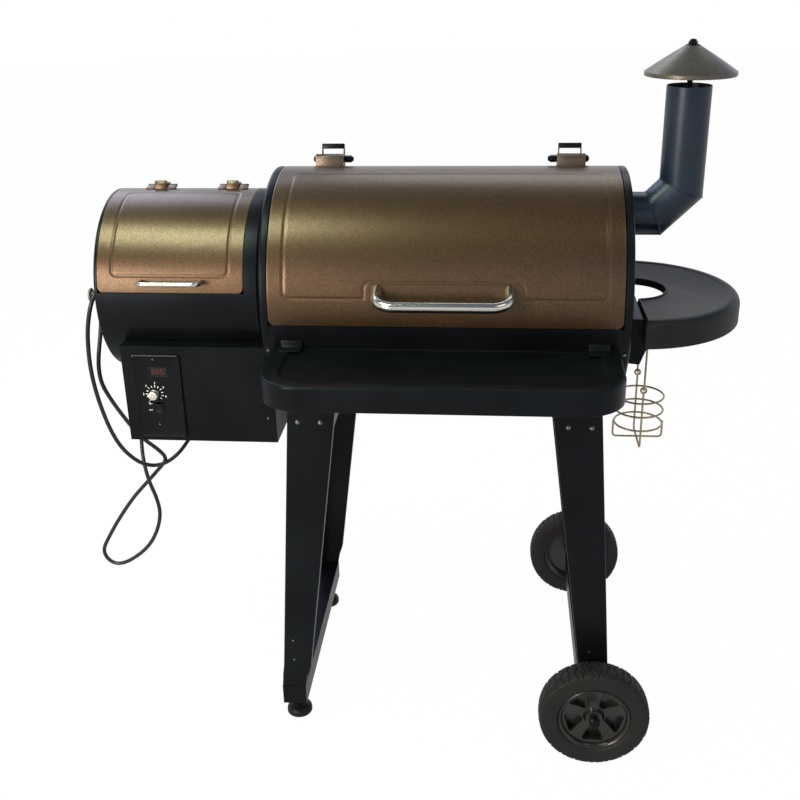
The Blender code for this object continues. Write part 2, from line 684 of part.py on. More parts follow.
def lid_stop(name, centre_x, outer_side):
    """Strap behind the hinge that the open lid leans on, with the hinge bolt through its arms."""
    pivot = on_ring(BARREL_RADIUS, HINGE_PIVOT_ANGLE, HINGE_PIVOT_RISE)
    half = STOP_WIDTH / 2 - SHEET
    top, low = STOP_HEIGHT - HINGE_PIVOT_RISE - 0.0035, -HINGE_PIVOT_RISE - 0.006
    arm = turned_about_pivot(pivot, HINGE_PIVOT_ANGLE, [
        (0.0040, -0.0040), (0.0055, 0.0), (0.0040, 0.0040), (0.0, 0.0055), (-0.0040, 0.0040), (-0.0055, 0.0),
        (-0.0045, -0.0072), (-0.0125, -0.0078), (-0.0125, -0.0060), (-0.0192, 0.0150), (-0.0194, top),
        (-0.0240, top), (-0.0290, -0.0110), (-0.0290, low), (0.0030, low)])
    arms = []
    for side in (-1, 1):
        ends = sorted((centre_x + side * half, centre_x + side * (half - SHEET)))
        arms.append(prism("arm", "X", arm, *ends))
    bar_half = half - SHEET / 2
    stop = prism(name, "X", turned_about_pivot(pivot, HINGE_PIVOT_ANGLE, [
        (-0.0190, top + 0.0005 - STOP_BAR), (-0.0190, top + 0.0005), (-0.0211, top + 0.0005),
        (-0.0211, top + 0.0005 - STOP_BAR)]), centre_x - bar_half, centre_x + bar_half)
    foot = prism("foot", "X", turned_about_pivot(pivot, HINGE_PIVOT_ANGLE, [
        (-0.0275, -0.0105), (0.0020, -0.0105), (0.0020, low + 0.001), (-0.0275, low + 0.001)]),
        centre_x - bar_half, centre_x + bar_half)
    unite(stop, foot, *arms)
    cut(stop, ring_cutter(BARREL_RADIUS + SEAT_GAP, centre_x - STOP_WIDTH, centre_x + STOP_WIDTH))
    end = HINGE_BOX_WIDTH / 2 + RUNNING_GAP
    long_end = end + HINGE_NUT_LENGTH
    short_end = end + 0.005
    profile = [(-short_end, 0.003), (-end - 0.001, HINGE_NUT_RADIUS), (-end, HINGE_NUT_RADIUS),
               (-end, HINGE_BOLT_RADIUS), (end, HINGE_BOLT_RADIUS), (end, HINGE_NUT_RADIUS),
               (long_end - 0.003, HINGE_NUT_RADIUS), (long_end, 0.004)]
    bolt = turned("bolt", "X", (centre_x, pivot[0], pivot[1]), [(-outer_side * x, r) for x, r in profile], sides=8)
    unite(stop, bolt)
    return finish_piece(stop, black_steel())


def bent_handle(name, radius_of_ring, angle, half, wire, reach, bend, dip, centre_x=0.0, sides=10):
    """Round bar bent into a bow, its two ends on the lid and its middle level."""
    foot_y, foot_z = on_ring(radius_of_ring, angle, SEAT_GAP + 0.0004)
    turn = math.radians(angle)
    out = Vector((0, -math.cos(turn), math.sin(turn) - dip))
    foot = Vector((centre_x, foot_y, foot_z))
    points = [foot + Vector((-half, 0, 0))]
    for step in range(6):
        t = math.pi / 2 * step / 5
        across = -half + bend * (1 - math.cos(t))
        along = reach - bend * (1 - math.sin(t))
        points.append(foot + Vector((across, 0, 0)) + out * along)
    mirrored = [Vector((2 * centre_x - p.x, p.y, p.z)) for p in reversed(points)]
    handle = swept(name, points + mirrored, wire, sides)
    reach_x = half + 2 * wire
    cut(handle, ring_cutter(radius_of_ring + SEAT_GAP, centre_x - reach_x, centre_x + reach_x))
    return finish_piece(handle, stainless(), 50.0)


# ---------------------------------------------------------------- chimney and grease spout

def chimney_pipe():
    """Flanged stub, mitred elbow and upright pipe, open at both ends."""
    start = BARREL_HALF + END_RIM + SEAT_GAP
    slant = ELBOW_RISE
    corner = Vector((CHIMNEY_X - slant, 0, STUB_Z))
    knee = Vector((CHIMNEY_X, 0, STUB_Z + slant))
    top = Vector((CHIMNEY_X, 0, CHIMNEY_TOP_Z))
    x_axis, z_axis, half_turn = Vector((1, 0, 0)), Vector((0, 0, 1)), Vector((1, 0, 1)).normalized()

    def ring(centre, run_in, run_out, radius):
        """Ring of the pipe where two runs meet, in their mitre plane."""
        points = []
        plane = (run_in + run_out).normalized()
        across = Vector((0, 1, 0))
        up = run_in.cross(across)
        for k in range(24):
            turn = 2 * math.pi * k / 24
            point = centre + (across * math.cos(turn) + up * math.sin(turn)) * radius
            point -= run_in * ((point - centre).dot(plane) / run_in.dot(plane))
            points.append(point)
        return points

    flange_x = start + FLANGE_THICKNESS
    outer, inner = CHIMNEY_RADIUS, CHIMNEY_RADIUS - CHIMNEY_WALL
    path = [ring(Vector((start, 0, STUB_Z)), x_axis, x_axis, inner),
            ring(Vector((start, 0, STUB_Z)), x_axis, x_axis, FLANGE_RADIUS),
            ring(Vector((flange_x, 0, STUB_Z)), x_axis, x_axis, FLANGE_RADIUS),
            ring(Vector((flange_x, 0, STUB_Z)), x_axis, x_axis, outer),
            ring(corner, x_axis, half_turn, outer), ring(knee, half_turn, z_axis, outer),
            ring(top, z_axis, z_axis, outer), ring(top, z_axis, z_axis, inner),
            ring(knee, half_turn, z_axis, inner), ring(corner, x_axis, half_turn, inner)]
    bm = bmesh.new()
    rings = [[bm.verts.new(point) for point in points] for points in path]
    for first, second in zip(rings, rings[1:] + rings[:1]):
        bridge(bm, first, second)
    return finish_piece(add_object("chimney_pipe", bm), black_steel())


def chimney_rod():
    """Threaded rod of the cap on a strap that spans the pipe."""
    inner = CHIMNEY_RADIUS - CHIMNEY_WALL - SEAT_GAP
    half = ROD_STRAP_WIDTH / 2
    reach = math.sqrt(inner * inner - half * half) * math.cos(math.pi / 24) - SEAT_GAP
    strap = box("chimney_rod", (CHIMNEY_X - half, -reach, ROD_STRAP_Z - SHEET), (CHIMNEY_X + half, reach, ROD_STRAP_Z))
    top = CAP_TOP_Z - CAP_DROP - 0.004
    unite(strap, rod("shaft", "Z", (CHIMNEY_X, 0, 0), ROD_RADIUS, ROD_STRAP_Z - 0.006, top, sides=12))
    return finish_piece(strap, black_steel())


def chimney_cap():
    """Conical rain cap with its dome nut, turned on the rod to open or close the draught."""
    rim_top = CAP_RIM_Z + CAP_SKIRT
    wall = 0.0018
    shoulder = CAP_TOP_Z - 0.0085
    bore = ROD_RADIUS + RUNNING_GAP
    profile = [(CAP_TOP_Z - 0.0035, bore), (CAP_RIM_Z + 0.030, bore),
               (CAP_RIM_Z + 0.030, bore + 0.003), (shoulder - 0.006, bore + 0.004),
               (rim_top - wall, CAP_RADIUS - wall), (CAP_RIM_Z, CAP_RADIUS - wall), (CAP_RIM_Z, CAP_RADIUS),
               (rim_top, CAP_RADIUS), (shoulder, CAP_NUT_RADIUS + 0.003), (shoulder, CAP_NUT_RADIUS),
               (CAP_TOP_Z - 0.002, CAP_NUT_RADIUS), (CAP_TOP_Z, CAP_NUT_RADIUS - 0.002)]
    cap = turned("chimney_cap", "Z", (CHIMNEY_X, 0, 0), profile, sides=24)
    return finish_piece(cap, bronze_steel(), 30.0)


def spout_section(margin):
    """Folded trough section (y, z) with its fold at the bottom; margin grows it on all sides."""
    half, depth, wall = SPOUT_HALF_Y, SPOUT_DEPTH, SHEET
    fold = SPOUT_Z
    outer = [(-half - margin, fold + depth + margin), (-0.006 - margin, fold - margin),
             (0.006 + margin, fold - margin), (half + margin, fold + depth + margin)]
    if margin:
        return outer
    inner = [(half - 1.3 * wall, fold + depth), (0.005, fold + wall), (-0.005, fold + wall),
             (-half + 1.3 * wall, fold + depth)]
    return outer + inner


def spout_solid(name, margin, start_x, end_x, tip_cut):
    bm = bmesh.new()
    face = BARREL_HALF + END_RIM
    rings = []
    for x in (start_x, end_x):
        ring = []
        for y, z in spout_section(margin):
            lean = tip_cut * (1 - (z - SPOUT_Z) / SPOUT_DEPTH) if x == end_x else 0.0
            ring.append(bm.verts.new((x - lean, y, z - SPOUT_SLOPE * (x - lean - face))))
        rings.append(ring)
    bm.faces.new(rings[0])
    bm.faces.new(rings[1])
    bridge(bm, rings[0], rings[1])
    return add_object(name, bm)


def grease_spout():
    """Folded trough that carries the grease through the right end panel to the basket."""
    spout = spout_solid("grease_spout", 0.0, SPOUT_INNER_X, SPOUT_TIP_X, 0.012)
    return finish_piece(spout, black_steel())


# ---------------------------------------------------------------- cooking surfaces and fire

def lattice(name, xs, ys, holes, low_z, high_z):
    """Flat plate from a grid of lines, left open in each cell that holes(i, j) names."""
    bm = bmesh.new()
    levels = []
    for z in (low_z, high_z):
        levels.append([[bm.verts.new((x, y, z)) for y in ys] for x in xs])
    solid = {(i, j) for i in range(len(xs) - 1) for j in range(len(ys) - 1) if not holes(i, j)}
    for i, j in solid:
        for level in levels:
            bm.faces.new((level[i][j], level[i + 1][j], level[i + 1][j + 1], level[i][j + 1]))
        for di, dj, a, b in ((-1, 0, (0, 0), (0, 1)), (1, 0, (1, 0), (1, 1)), (0, -1, (0, 0), (1, 0)),
                             (0, 1, (0, 1), (1, 1))):
            if (i + di, j + dj) not in solid:
                p, q = (i + a[0], j + a[1]), (i + b[0], j + b[1])
                bm.faces.new((levels[0][p[0]][p[1]], levels[0][q[0]][q[1]],
                              levels[1][q[0]][q[1]], levels[1][p[0]][p[1]]))
    loose = [vert for vert in bm.verts if not vert.link_faces]
    bmesh.ops.delete(bm, geom=loose, context="VERTS")
    return add_object(name, bm)


def slotted_lines(half, bar, count):
    """Lines of a slotted plate from -half to half with that many slots and bars between them."""
    slot = (2 * half - bar * (count + 1)) / count
    lines = []
    for i in range(count + 1):
        start = -half + i * (slot + bar)
        lines += [start, start + bar]
    return lines


def cooking_grate():
    """Enamelled grate: bars from front to back between two end bars and one middle bar."""
    xs = slotted_lines(GRATE_HALF_X, GRATE_BAR, GRATE_BARS)
    ys = slotted_lines(GRATE_HALF_Y, GRATE_BAR * 1.2, 2)
    grate = lattice("cooking_grate", xs, ys, lambda i, j: i % 2 == 1 and j % 2 == 1, GRATE_Z, GRATE_Z + GRATE_BAR)
    return finish_piece(grate, enamel())


def tray_plane(x):
    return TRAY_Z - TRAY_SLOPE * (x - FIRE_POT_X)


def drip_tray():
    """Shallow pan over the baffle that slopes down to the spout and is open at that end."""
    bm = bmesh.new()
    half = TRAY_HALF_Y
    section = [(-half, TRAY_LIP), (-half, 0), (half, 0), (half, TRAY_LIP), (half - SHEET, TRAY_LIP),
               (half - SHEET, SHEET), (-half + SHEET, SHEET), (-half + SHEET, TRAY_LIP)]
    rings = [[bm.verts.new((x, y, tray_plane(x) + z)) for y, z in section] for x in (TRAY_LEFT_X, TRAY_RIGHT_X)]
    bm.faces.new(rings[0])
    bm.faces.new(rings[1])
    bridge(bm, *rings)
    tray = add_object("drip_tray", bm)
    wall_x = TRAY_LEFT_X + SHEET
    wall = box("wall", (TRAY_LEFT_X, -half + SHEET / 2, tray_plane(wall_x) + SHEET / 2),
               (wall_x, half - SHEET / 2, tray_plane(wall_x) + TRAY_LIP))
    return finish_piece(unite(tray, wall), black_steel())


def heat_baffle():
    """Bent plate over the fire pot that stands on the barrel's floor."""
    half, reach, wall = BAFFLE_HALF_X, BARREL_RADIUS, SHEET
    middle = FIRE_POT_X
    floor = BARREL_AXIS_Z - BARREL_RADIUS - 0.01
    left, right = middle - half, middle + half
    top_left = tray_plane(left) - SEAT_GAP
    top_right = tray_plane(right) - SEAT_GAP
    outline = [(left, floor), (left, top_left), (right, top_right), (right, floor), (right - wall, floor),
               (right - wall, top_right - wall), (left + wall, top_left - wall), (left + wall, floor)]
    baffle = prism("heat_baffle", "Y", outline, -BAFFLE_HALF_Y, BAFFLE_HALF_Y)
    inside = ring_cutter(BARREL_RADIUS - SHEET - SEAT_GAP, left - 0.01, right + 0.01)
    apply_boolean(baffle, [inside], "INTERSECT")
    slot_half = abs(IGNITER_Y) + IGNITER_RADIUS + 0.004
    slot = box("slot", (left - 0.01, -slot_half, floor), (left + 0.01, slot_half, AUGER_Z + TUBE_RADIUS + 0.004))
    return finish_piece(cut(baffle, slot), black_steel())


def fire_pot():
    """Cast pot that the auger drops the pellets into, with air holes, tube hole and igniter hole."""
    floor = BARREL_AXIS_Z - BARREL_RADIUS + SHEET + SEAT_GAP
    radius, wall = FIRE_POT_RADIUS, FIRE_POT_WALL
    profile = [(floor - 0.004, radius), (FIRE_POT_TOP_Z, radius), (FIRE_POT_TOP_Z, radius - wall),
               (floor + 0.016, radius - wall)]
    pot = turned("fire_pot", "Z", (FIRE_POT_X, 0, 0), profile, sides=20)
    apply_boolean(pot, [ring_cutter(BARREL_RADIUS - SHEET - SEAT_GAP, FIRE_POT_X - 0.1, FIRE_POT_X + 0.1)],
                  "INTERSECT")
    left = FIRE_POT_X - radius
    cut(pot, rod("hole", "X", (0, 0, AUGER_Z), TUBE_RADIUS - TUBE_WALL, left - 0.01, left + 0.03, sides=20))
    cut(pot, rod("hole", "X", (0, IGNITER_Y, IGNITER_Z), IGNITER_RADIUS + SEAT_GAP, left - 0.01,
                 FIRE_POT_X, sides=12))
    holes = [rod("hole", "Y", (FIRE_POT_X + x, 0, FIRE_POT_TOP_Z - 0.022), 0.004, -radius - 0.01, radius + 0.01,
                 sides=6) for x in (-0.024, 0.0, 0.024)]
    cut(pot, *holes)
    return finish_piece(pot, enamel())


def igniter():
    """Hot rod, its tip inside the pot's wall."""
    tip = FIRE_POT_X - FIRE_POT_RADIUS + 0.022
    piece = turned("igniter", "X", (0, IGNITER_Y, IGNITER_Z),
                   [(tip - IGNITER_LENGTH, IGNITER_RADIUS + 0.002),
                    (tip - IGNITER_LENGTH + 0.02, IGNITER_RADIUS + 0.002),
                    (tip - IGNITER_LENGTH + 0.02, IGNITER_RADIUS), (tip, IGNITER_RADIUS)], sides=10)
    return finish_piece(piece, galvanised())


def auger_tube():
    """Feed tube from under the hopper bin to the fire pot, with an inlet in its top."""
    inner = TUBE_RADIUS - TUBE_WALL
    pot_side = FIRE_POT_X - math.sqrt(FIRE_POT_RADIUS ** 2 - TUBE_RADIUS ** 2)
    end = pot_side - 0.0125
    profile = [(TUBE_LEFT_X, inner), (TUBE_LEFT_X, TUBE_RADIUS), (end, TUBE_RADIUS), (end, inner)]
    tube = turned("auger_tube", "X", (0, 0, AUGER_Z), profile, sides=24, closed=True)
    inlet = box("inlet", (BIN_THROAT[0] - SEAT_GAP, -BIN_THROAT_HALF_Y, AUGER_Z + 0.010),
                (BIN_THROAT[1] + SEAT_GAP, BIN_THROAT_HALF_Y, AUGER_Z + 0.05))
    return finish_piece(cut(tube, inlet), galvanised())


def auger():
    """Feed screw: one flight wound round a shaft."""
    start, end = TUBE_LEFT_X + 0.004, FIRE_POT_X - FIRE_POT_RADIUS - 0.004
    outer = TUBE_RADIUS - TUBE_WALL - 0.0035
    shaft = AUGER_SHAFT_RADIUS
    turns = (end - start - 0.01) / AUGER_PITCH
    steps = int(turns * 8)
    thick = 0.003
    bm = bmesh.new()
    rings = []
    for i in range(steps + 1):
        turn = 2 * math.pi * turns * i / steps
        x = start + 0.005 + AUGER_PITCH * turn / (2 * math.pi)
        u, v = math.cos(turn), math.sin(turn)
        rings.append([bm.verts.new((x + dx, u * r, AUGER_Z + v * r))
                      for dx, r in ((-thick / 2, shaft - 0.002), (-thick / 3, outer), (thick / 3, outer),
                                    (thick / 2, shaft - 0.002))])
    bm.faces.new(rings[0])
    bm.faces.new(rings[-1])
    for first, second in zip(rings, rings[1:]):
        bridge(bm, first, second)
    flight = add_object("auger", bm)
    core = rod("core", "X", (0, 0, AUGER_Z), shaft, TUBE_LEFT_X - 0.020, end, sides=12)
    return finish_piece(unite(flight, core), galvanised())


def auger_motor():
    """Gear motor on the tube's end, bored for the screw's shaft."""
    right = TUBE_LEFT_X - SEAT_GAP
    gearbox = box("auger_motor", (right - 0.026, -0.030, AUGER_Z - 0.034), (right, 0.030, AUGER_Z + 0.034))
    motor = rod("motor", "X", (0, 0.004, AUGER_Z), 0.019, right - 0.0435, right - 0.020, sides=20)
    unite(gearbox, motor)
    bore = rod("bore", "X", (0, 0, AUGER_Z), AUGER_SHAFT_RADIUS + RUNNING_GAP, TUBE_LEFT_X - 0.021,
               right + 0.005, sides=16)
    return finish_piece(cut(gearbox, bore), galvanised())


def blower_housing():
    """Snail of the combustion blower, its outlet duct set in the left end panel."""
    half = BLOWER_WIDTH / 2
    panel = -BARREL_HALF - END_RIM + SHEET / 2
    snail = rod("blower_housing", "Y", (BLOWER_X, BLOWER_Y, BLOWER_Z), BLOWER_RADIUS, -half, half, sides=20)
    duct = rod("duct", "X", (0, BLOWER_Y, BLOWER_OUTLET_Z), BLOWER_OUTLET_RADIUS - SEAT_GAP, BLOWER_X, panel, sides=16)
    unite(snail, duct)
    inner = half - SHEET
    cut(snail, rod("hollow", "Y", (BLOWER_X, BLOWER_Y, BLOWER_Z), BLOWER_RADIUS - SHEET, -inner, inner, sides=20))
    cut(snail, rod("air", "X", (0, BLOWER_Y, BLOWER_OUTLET_Z), BLOWER_OUTLET_RADIUS - SHEET, BLOWER_X,
                   panel + 0.01, sides=16))
    cut(snail, rod("inlet", "Y", (BLOWER_X, BLOWER_Y, BLOWER_Z), BLOWER_RADIUS * 0.5, 0, half + 0.01, sides=16))
    motor = rod("motor", "Y", (BLOWER_X, BLOWER_Y, BLOWER_Z), 0.013, -half - 0.014, -inner - SHEET / 2, sides=16)
    unite(snail, motor)
    return finish_piece(snail, black_plastic())


def blower_impeller():
    """Paddle wheel on the blower motor's spindle."""
    inner = BLOWER_WIDTH / 2 - SHEET
    back = -inner + 0.003
    wheel = rod("blower_impeller", "Y", (BLOWER_X, BLOWER_Y, BLOWER_Z), 0.028, back, back + 0.002, sides=16)
    blades = []
    for i in range(IMPELLER_BLADES):
        turn = 2 * math.pi * i / IMPELLER_BLADES
        blade = box("blade", (0.016, back + 0.001, -0.0008), (0.0275, inner - 0.003, 0.0008))
        blade.data.transform(Matrix.Translation((BLOWER_X, BLOWER_Y, BLOWER_Z)) @ Matrix.Rotation(turn, 4, "Y"))
        blades.append(blade)
    hub = rod("hub", "Y", (BLOWER_X, BLOWER_Y, BLOWER_Z), 0.007, -inner + SEAT_GAP, 0.004, sides=10)
    return finish_piece(unite(wheel, hub, *blades), black_plastic())


def temperature_probe():
    face = -BARREL_HALF - END_RIM
    profile = [(face - 0.008, PROBE_RADIUS * 1.8), (face - SEAT_GAP, PROBE_RADIUS * 1.8),
               (face - SEAT_GAP, PROBE_RADIUS), (face + PROBE_LENGTH, PROBE_RADIUS)]
    probe = turned("temperature_probe", "X", (0, PROBE_Y, PROBE_Z), profile, sides=12)
    return finish_piece(probe, stainless())


# ---------------------------------------------------------------- hopper

def hopper_shell():
    """Small barrel with its end discs, open under the lid and above the auger."""
    left, right, wall = HOPPER_LEFT_X, HOPPER_RIGHT_X, SHEET
    axis = (0, 0, BARREL_AXIS_Z)
    edge = 0.003
    radius = HOPPER_RADIUS
    shell = turned("hopper_shell", "X", axis, [(left, radius - edge), (left + edge, radius),
                                               (right - edge, radius), (right, radius - edge)])
    cut(shell, ring_cutter(radius - wall, left + wall, right - wall))
    seam = SEAM_ANGLE
    sector = [on_ring(radius + 0.02, a) for a in arc_angles(HOPPER_LID_FRONT_ANGLE - seam,
                                                            HOPPER_LID_REAR_ANGLE + seam)]
    sector += [on_ring(radius - 0.02, a) for a in reversed(arc_angles(HOPPER_LID_FRONT_ANGLE - seam,
                                                                      HOPPER_LID_REAR_ANGLE + seam))]
    cut(shell, prism("opening", "X", sector, HOPPER_LID_LEFT_X - SEAT_GAP, HOPPER_LID_RIGHT_X + SEAT_GAP))
    low = BARREL_AXIS_Z - radius - 0.01
    slot_half = TUBE_RADIUS + 0.010
    cut(shell, box("slot", (HOUSING_LEFT_X + 0.01, -slot_half, low), (right + 0.01, slot_half,
                                                                    AUGER_Z + TUBE_RADIUS + 0.006)))
    for x in HOPPER_HINGE_X:
        unite(shell, hopper_hinge_tab(x))
    return finish_piece(shell, black_steel())


def hopper_hinge_tab(centre_x):
    """Fixed knuckle of a hopper hinge, standing on the shell behind the lid."""
    pivot = on_ring(HOPPER_RADIUS, HOPPER_PIVOT_ANGLE, HOPPER_PIVOT_RISE)
    half = 0.0105
    side = turned_about_pivot(pivot, HOPPER_PIVOT_ANGLE, [
        (0.004, -0.001), (0.004, 0.003), (0.001, 0.0048), (-0.012, 0.0048), (-0.016, 0.001),
        (-0.016, -HOPPER_PIVOT_RISE - 0.001), (-0.006, -HOPPER_PIVOT_RISE - 0.001), (-0.003, -0.003)])
    tab = prism("tab", "X", side, centre_x - half, centre_x + half)
    pin = rod("pin", "X", (0, pivot[0], pivot[1]), 0.0018, centre_x - 0.024, centre_x + 0.024, sides=10)
    return unite(tab, pin)


def hopper_lid():
    groove = panel_groove(HOPPER_RADIUS, HOPPER_LID_LEFT_X + 0.027, HOPPER_LID_RIGHT_X - 0.027, 17.3, 84.0)
    lid = curved_lid("hopper_lid", HOPPER_RADIUS, HOPPER_LID_LEFT_X, HOPPER_LID_RIGHT_X, HOPPER_LID_FRONT_ANGLE,
                     HOPPER_LID_REAR_ANGLE, groove)
    return finish_piece(lid, bronze_steel())


def hopper_hinge(name, centre_x):
    """Leaf on the hopper lid with a knuckle at each side of the fixed one."""
    pivot = on_ring(HOPPER_RADIUS, HOPPER_PIVOT_ANGLE, HOPPER_PIVOT_RISE)
    half = 0.027
    side = turned_about_pivot(pivot, HOPPER_PIVOT_ANGLE, [
        (-0.0035, -0.0025), (-0.0035, 0.0025), (-0.001, 0.0040), (0.002, 0.0038), (0.005, -0.0015),
        (0.019, -HOPPER_PIVOT_RISE + 0.0035), (0.019, -HOPPER_PIVOT_RISE - 0.004), (0.009, -HOPPER_PIVOT_RISE - 0.002),
        (0.004, -0.0040), (0, -0.0040)])
    leaf = prism(name, "X", side, centre_x - half, centre_x + half)
    cut(leaf, box("gap", (centre_x - 0.0112, pivot[0] - 0.0062, pivot[1] - 0.012),
                  (centre_x + 0.0112, pivot[0] + 0.02, pivot[1] + 0.012)))
    cut(leaf, rod("bore", "X", (0, pivot[0], pivot[1]), 0.0018 + RUNNING_GAP, centre_x - 0.0245, centre_x + 0.0245,
                  sides=12))
    cut(leaf, ring_cutter(HOPPER_RADIUS + SEAT_GAP, centre_x - 2 * half, centre_x + 2 * half))
    return finish_piece(leaf, bronze_steel())


def hopper_bin():
    """Funnel that leads the pellets down to the auger's inlet."""
    top_half = ring_depth(HOPPER_RADIUS - SHEET, BIN_TOP_Z) - 0.0012
    top_left = HOPPER_LEFT_X + SHEET + SEAT_GAP
    top_right = HOPPER_RIGHT_X - SHEET - SEAT_GAP
    throat_z = AUGER_Z + math.sqrt(TUBE_RADIUS ** 2 - BIN_THROAT_HALF_Y ** 2) + 0.0006
    wall = SHEET
    left, right = BIN_THROAT
    half = BIN_THROAT_HALF_Y - 0.001
    flange = 0.012
    collar = BIN_TOP_Z - BIN_COLLAR
    levels = [(left, right, half, throat_z), (left, right, half, throat_z + 0.012),
              (top_left + flange, top_right - flange, top_half - flange, collar),
              (top_left + flange, top_right - flange, top_half - flange, BIN_TOP_Z - wall),
              (top_left, top_right, top_half, BIN_TOP_Z - wall), (top_left, top_right, top_half, BIN_TOP_Z),
              (top_left + flange + wall, top_right - flange - wall, top_half - flange - wall, BIN_TOP_Z),
              (top_left + flange + wall, top_right - flange - wall, top_half - flange - wall, collar + 0.001),
              (left + wall, right - wall, half - wall, throat_z + 0.013),
              (left + wall, right - wall, half - wall, throat_z)]
    bm = bmesh.new()
    rings = [[bm.verts.new((x, y, z)) for x, y in ((a, -h), (b, -h), (b, h), (a, h))] for a, b, h, z in levels]
    for first, second in zip(rings, rings[1:] + rings[:1]):
        bridge(bm, first, second)
    return finish_piece(add_object("hopper_bin", bm), galvanised(), 20.0)


def hopper_guard():
    """Finger guard over the bin: bars from front to back in a frame."""
    half_x = (HOPPER_RIGHT_X - HOPPER_LEFT_X) / 2 - 0.016
    middle = (HOPPER_RIGHT_X + HOPPER_LEFT_X) / 2
    half_y = ring_depth(HOPPER_RADIUS - SHEET, BIN_TOP_Z) - 0.016
    xs = [middle + x for x in slotted_lines(half_x, GUARD_BAR, 4)]
    ys = slotted_lines(half_y, GUARD_BAR, 2)
    low = BIN_TOP_Z + SEAT_GAP
    guard = lattice("hopper_guard", xs, ys, lambda i, j: i % 2 == 1 and j % 2 == 1, low, low + GUARD_BAR)
    return finish_piece(guard, galvanised())


# ---------------------------------------------------------------- controller

def controller_housing():
    """Folded box under the hopper, notched round the barrel's end, with a cut-out behind the panel."""
    low = (HOUSING_LEFT_X, -HOUSING_HALF_Y, HOUSING_BOTTOM_Z)
    high = (HOUSING_RIGHT_X, HOUSING_HALF_Y, HOUSING_TOP_Z)
    housing = box("controller_housing", low, high)
    inner_low = [v + SHEET for v in low]
    inner_high = [v - SHEET for v in high]
    hopper = ring_cutter(HOPPER_RADIUS + SEAT_GAP, HOPPER_LEFT_X - 0.01, HOPPER_RIGHT_X + SEAT_GAP)
    barrel = ring_cutter(BARREL_RADIUS + SEAT_GAP, -BARREL_HALF - END_RIM - SEAT_GAP, -BARREL_HALF + 0.05)
    cut(housing, box("hollow", inner_low, inner_high), hopper, barrel)
    opening = (PANEL_WIDTH / 2 - 0.008, PANEL_HEIGHT / 2 - 0.012)
    cut(housing, box("window", (PANEL_X - opening[0], low[1] - 0.01, PANEL_Z - opening[1]),
                     (PANEL_X + opening[0], inner_low[1] + 0.01, PANEL_Z + opening[1])))
    cut(housing, rod("gland_hole", "Y", (GLAND_X, 0, GLAND_Z), 0.007 + SEAT_GAP, inner_high[1] - 0.01,
                     high[1] + 0.01, sides=16))
    return finish_piece(housing, black_steel())


def rounded_rectangle(half_x, half_y, radius, steps=3):
    points = []
    for quarter, (cx, cy) in enumerate(((1, 1), (-1, 1), (-1, -1), (1, -1))):
        for i in range(steps + 1):
            turn = math.pi / 2 * (quarter + i / steps)
            points.append((cx * (half_x - radius) + radius * math.cos(turn),
                           cy * (half_y - radius) + radius * math.sin(turn)))
    return points


def control_panel():
    """Front plate of the controller with a turned-up edge, and openings for display, knob and rocker."""
    front = -HOUSING_HALF_Y - SEAT_GAP
    half_x, half_z, thick = PANEL_WIDTH / 2, PANEL_HEIGHT / 2, PANEL_THICKNESS
    levels = [(0.0, 0.0), (0.0, thick - 0.0005), (0.0005, thick), (0.0022, thick), (0.0030, thick - 0.0012)]
    plate = stacked("control_panel", lambda inset: rounded_rectangle(half_x - inset, half_z - inset,
                                                                    max(0.001, 0.004 - inset)), levels)
    stand = Matrix.Translation((PANEL_X, front, PANEL_Z)) @ Matrix.Rotation(math.pi / 2, 4, "X")
    plate.data.transform(stand)
    bezel = box("bezel", (ROCKER_X - ROCKER_WIDTH / 2 - 0.0022, front - thick - 0.0004, ROCKER_Z - ROCKER_HEIGHT / 2 - 0.0022),
                (ROCKER_X + ROCKER_WIDTH / 2 + 0.0022, front - 0.001, ROCKER_Z + ROCKER_HEIGHT / 2 + 0.0022))
    unite(plate, bezel)
    gap = RUNNING_GAP
    cut(plate, box("rocker_hole", (ROCKER_X - ROCKER_WIDTH / 2 - gap, front - 0.02, ROCKER_Z - ROCKER_HEIGHT / 2 - gap),
                   (ROCKER_X + ROCKER_WIDTH / 2 + gap, front + 0.01, ROCKER_Z + ROCKER_HEIGHT / 2 + gap)),
        box("display_hole", (DISPLAY_X - DISPLAY_WIDTH / 2 - SEAT_GAP, front - 0.02,
                             DISPLAY_Z - DISPLAY_HEIGHT / 2 - SEAT_GAP),
            (DISPLAY_X + DISPLAY_WIDTH / 2 + SEAT_GAP, front + 0.01, DISPLAY_Z + DISPLAY_HEIGHT / 2 + SEAT_GAP)),
        rod("knob_hole", "Y", (KNOB_X, 0, KNOB_Z), 0.003 + gap, front - 0.02, front + 0.01, sides=16))
    return finish_piece(plate, black_steel())


def display_window():
    front = -HOUSING_HALF_Y - SEAT_GAP
    window = box("display_window", (DISPLAY_X - DISPLAY_WIDTH / 2, front - PANEL_THICKNESS + 0.0016,
                                    DISPLAY_Z - DISPLAY_HEIGHT / 2),
                 (DISPLAY_X + DISPLAY_WIDTH / 2, front, DISPLAY_Z + DISPLAY_HEIGHT / 2))
    return finish_piece(window, material("dark_red_display", (0.08, 0.004, 0.004), 0.12, 0.0))


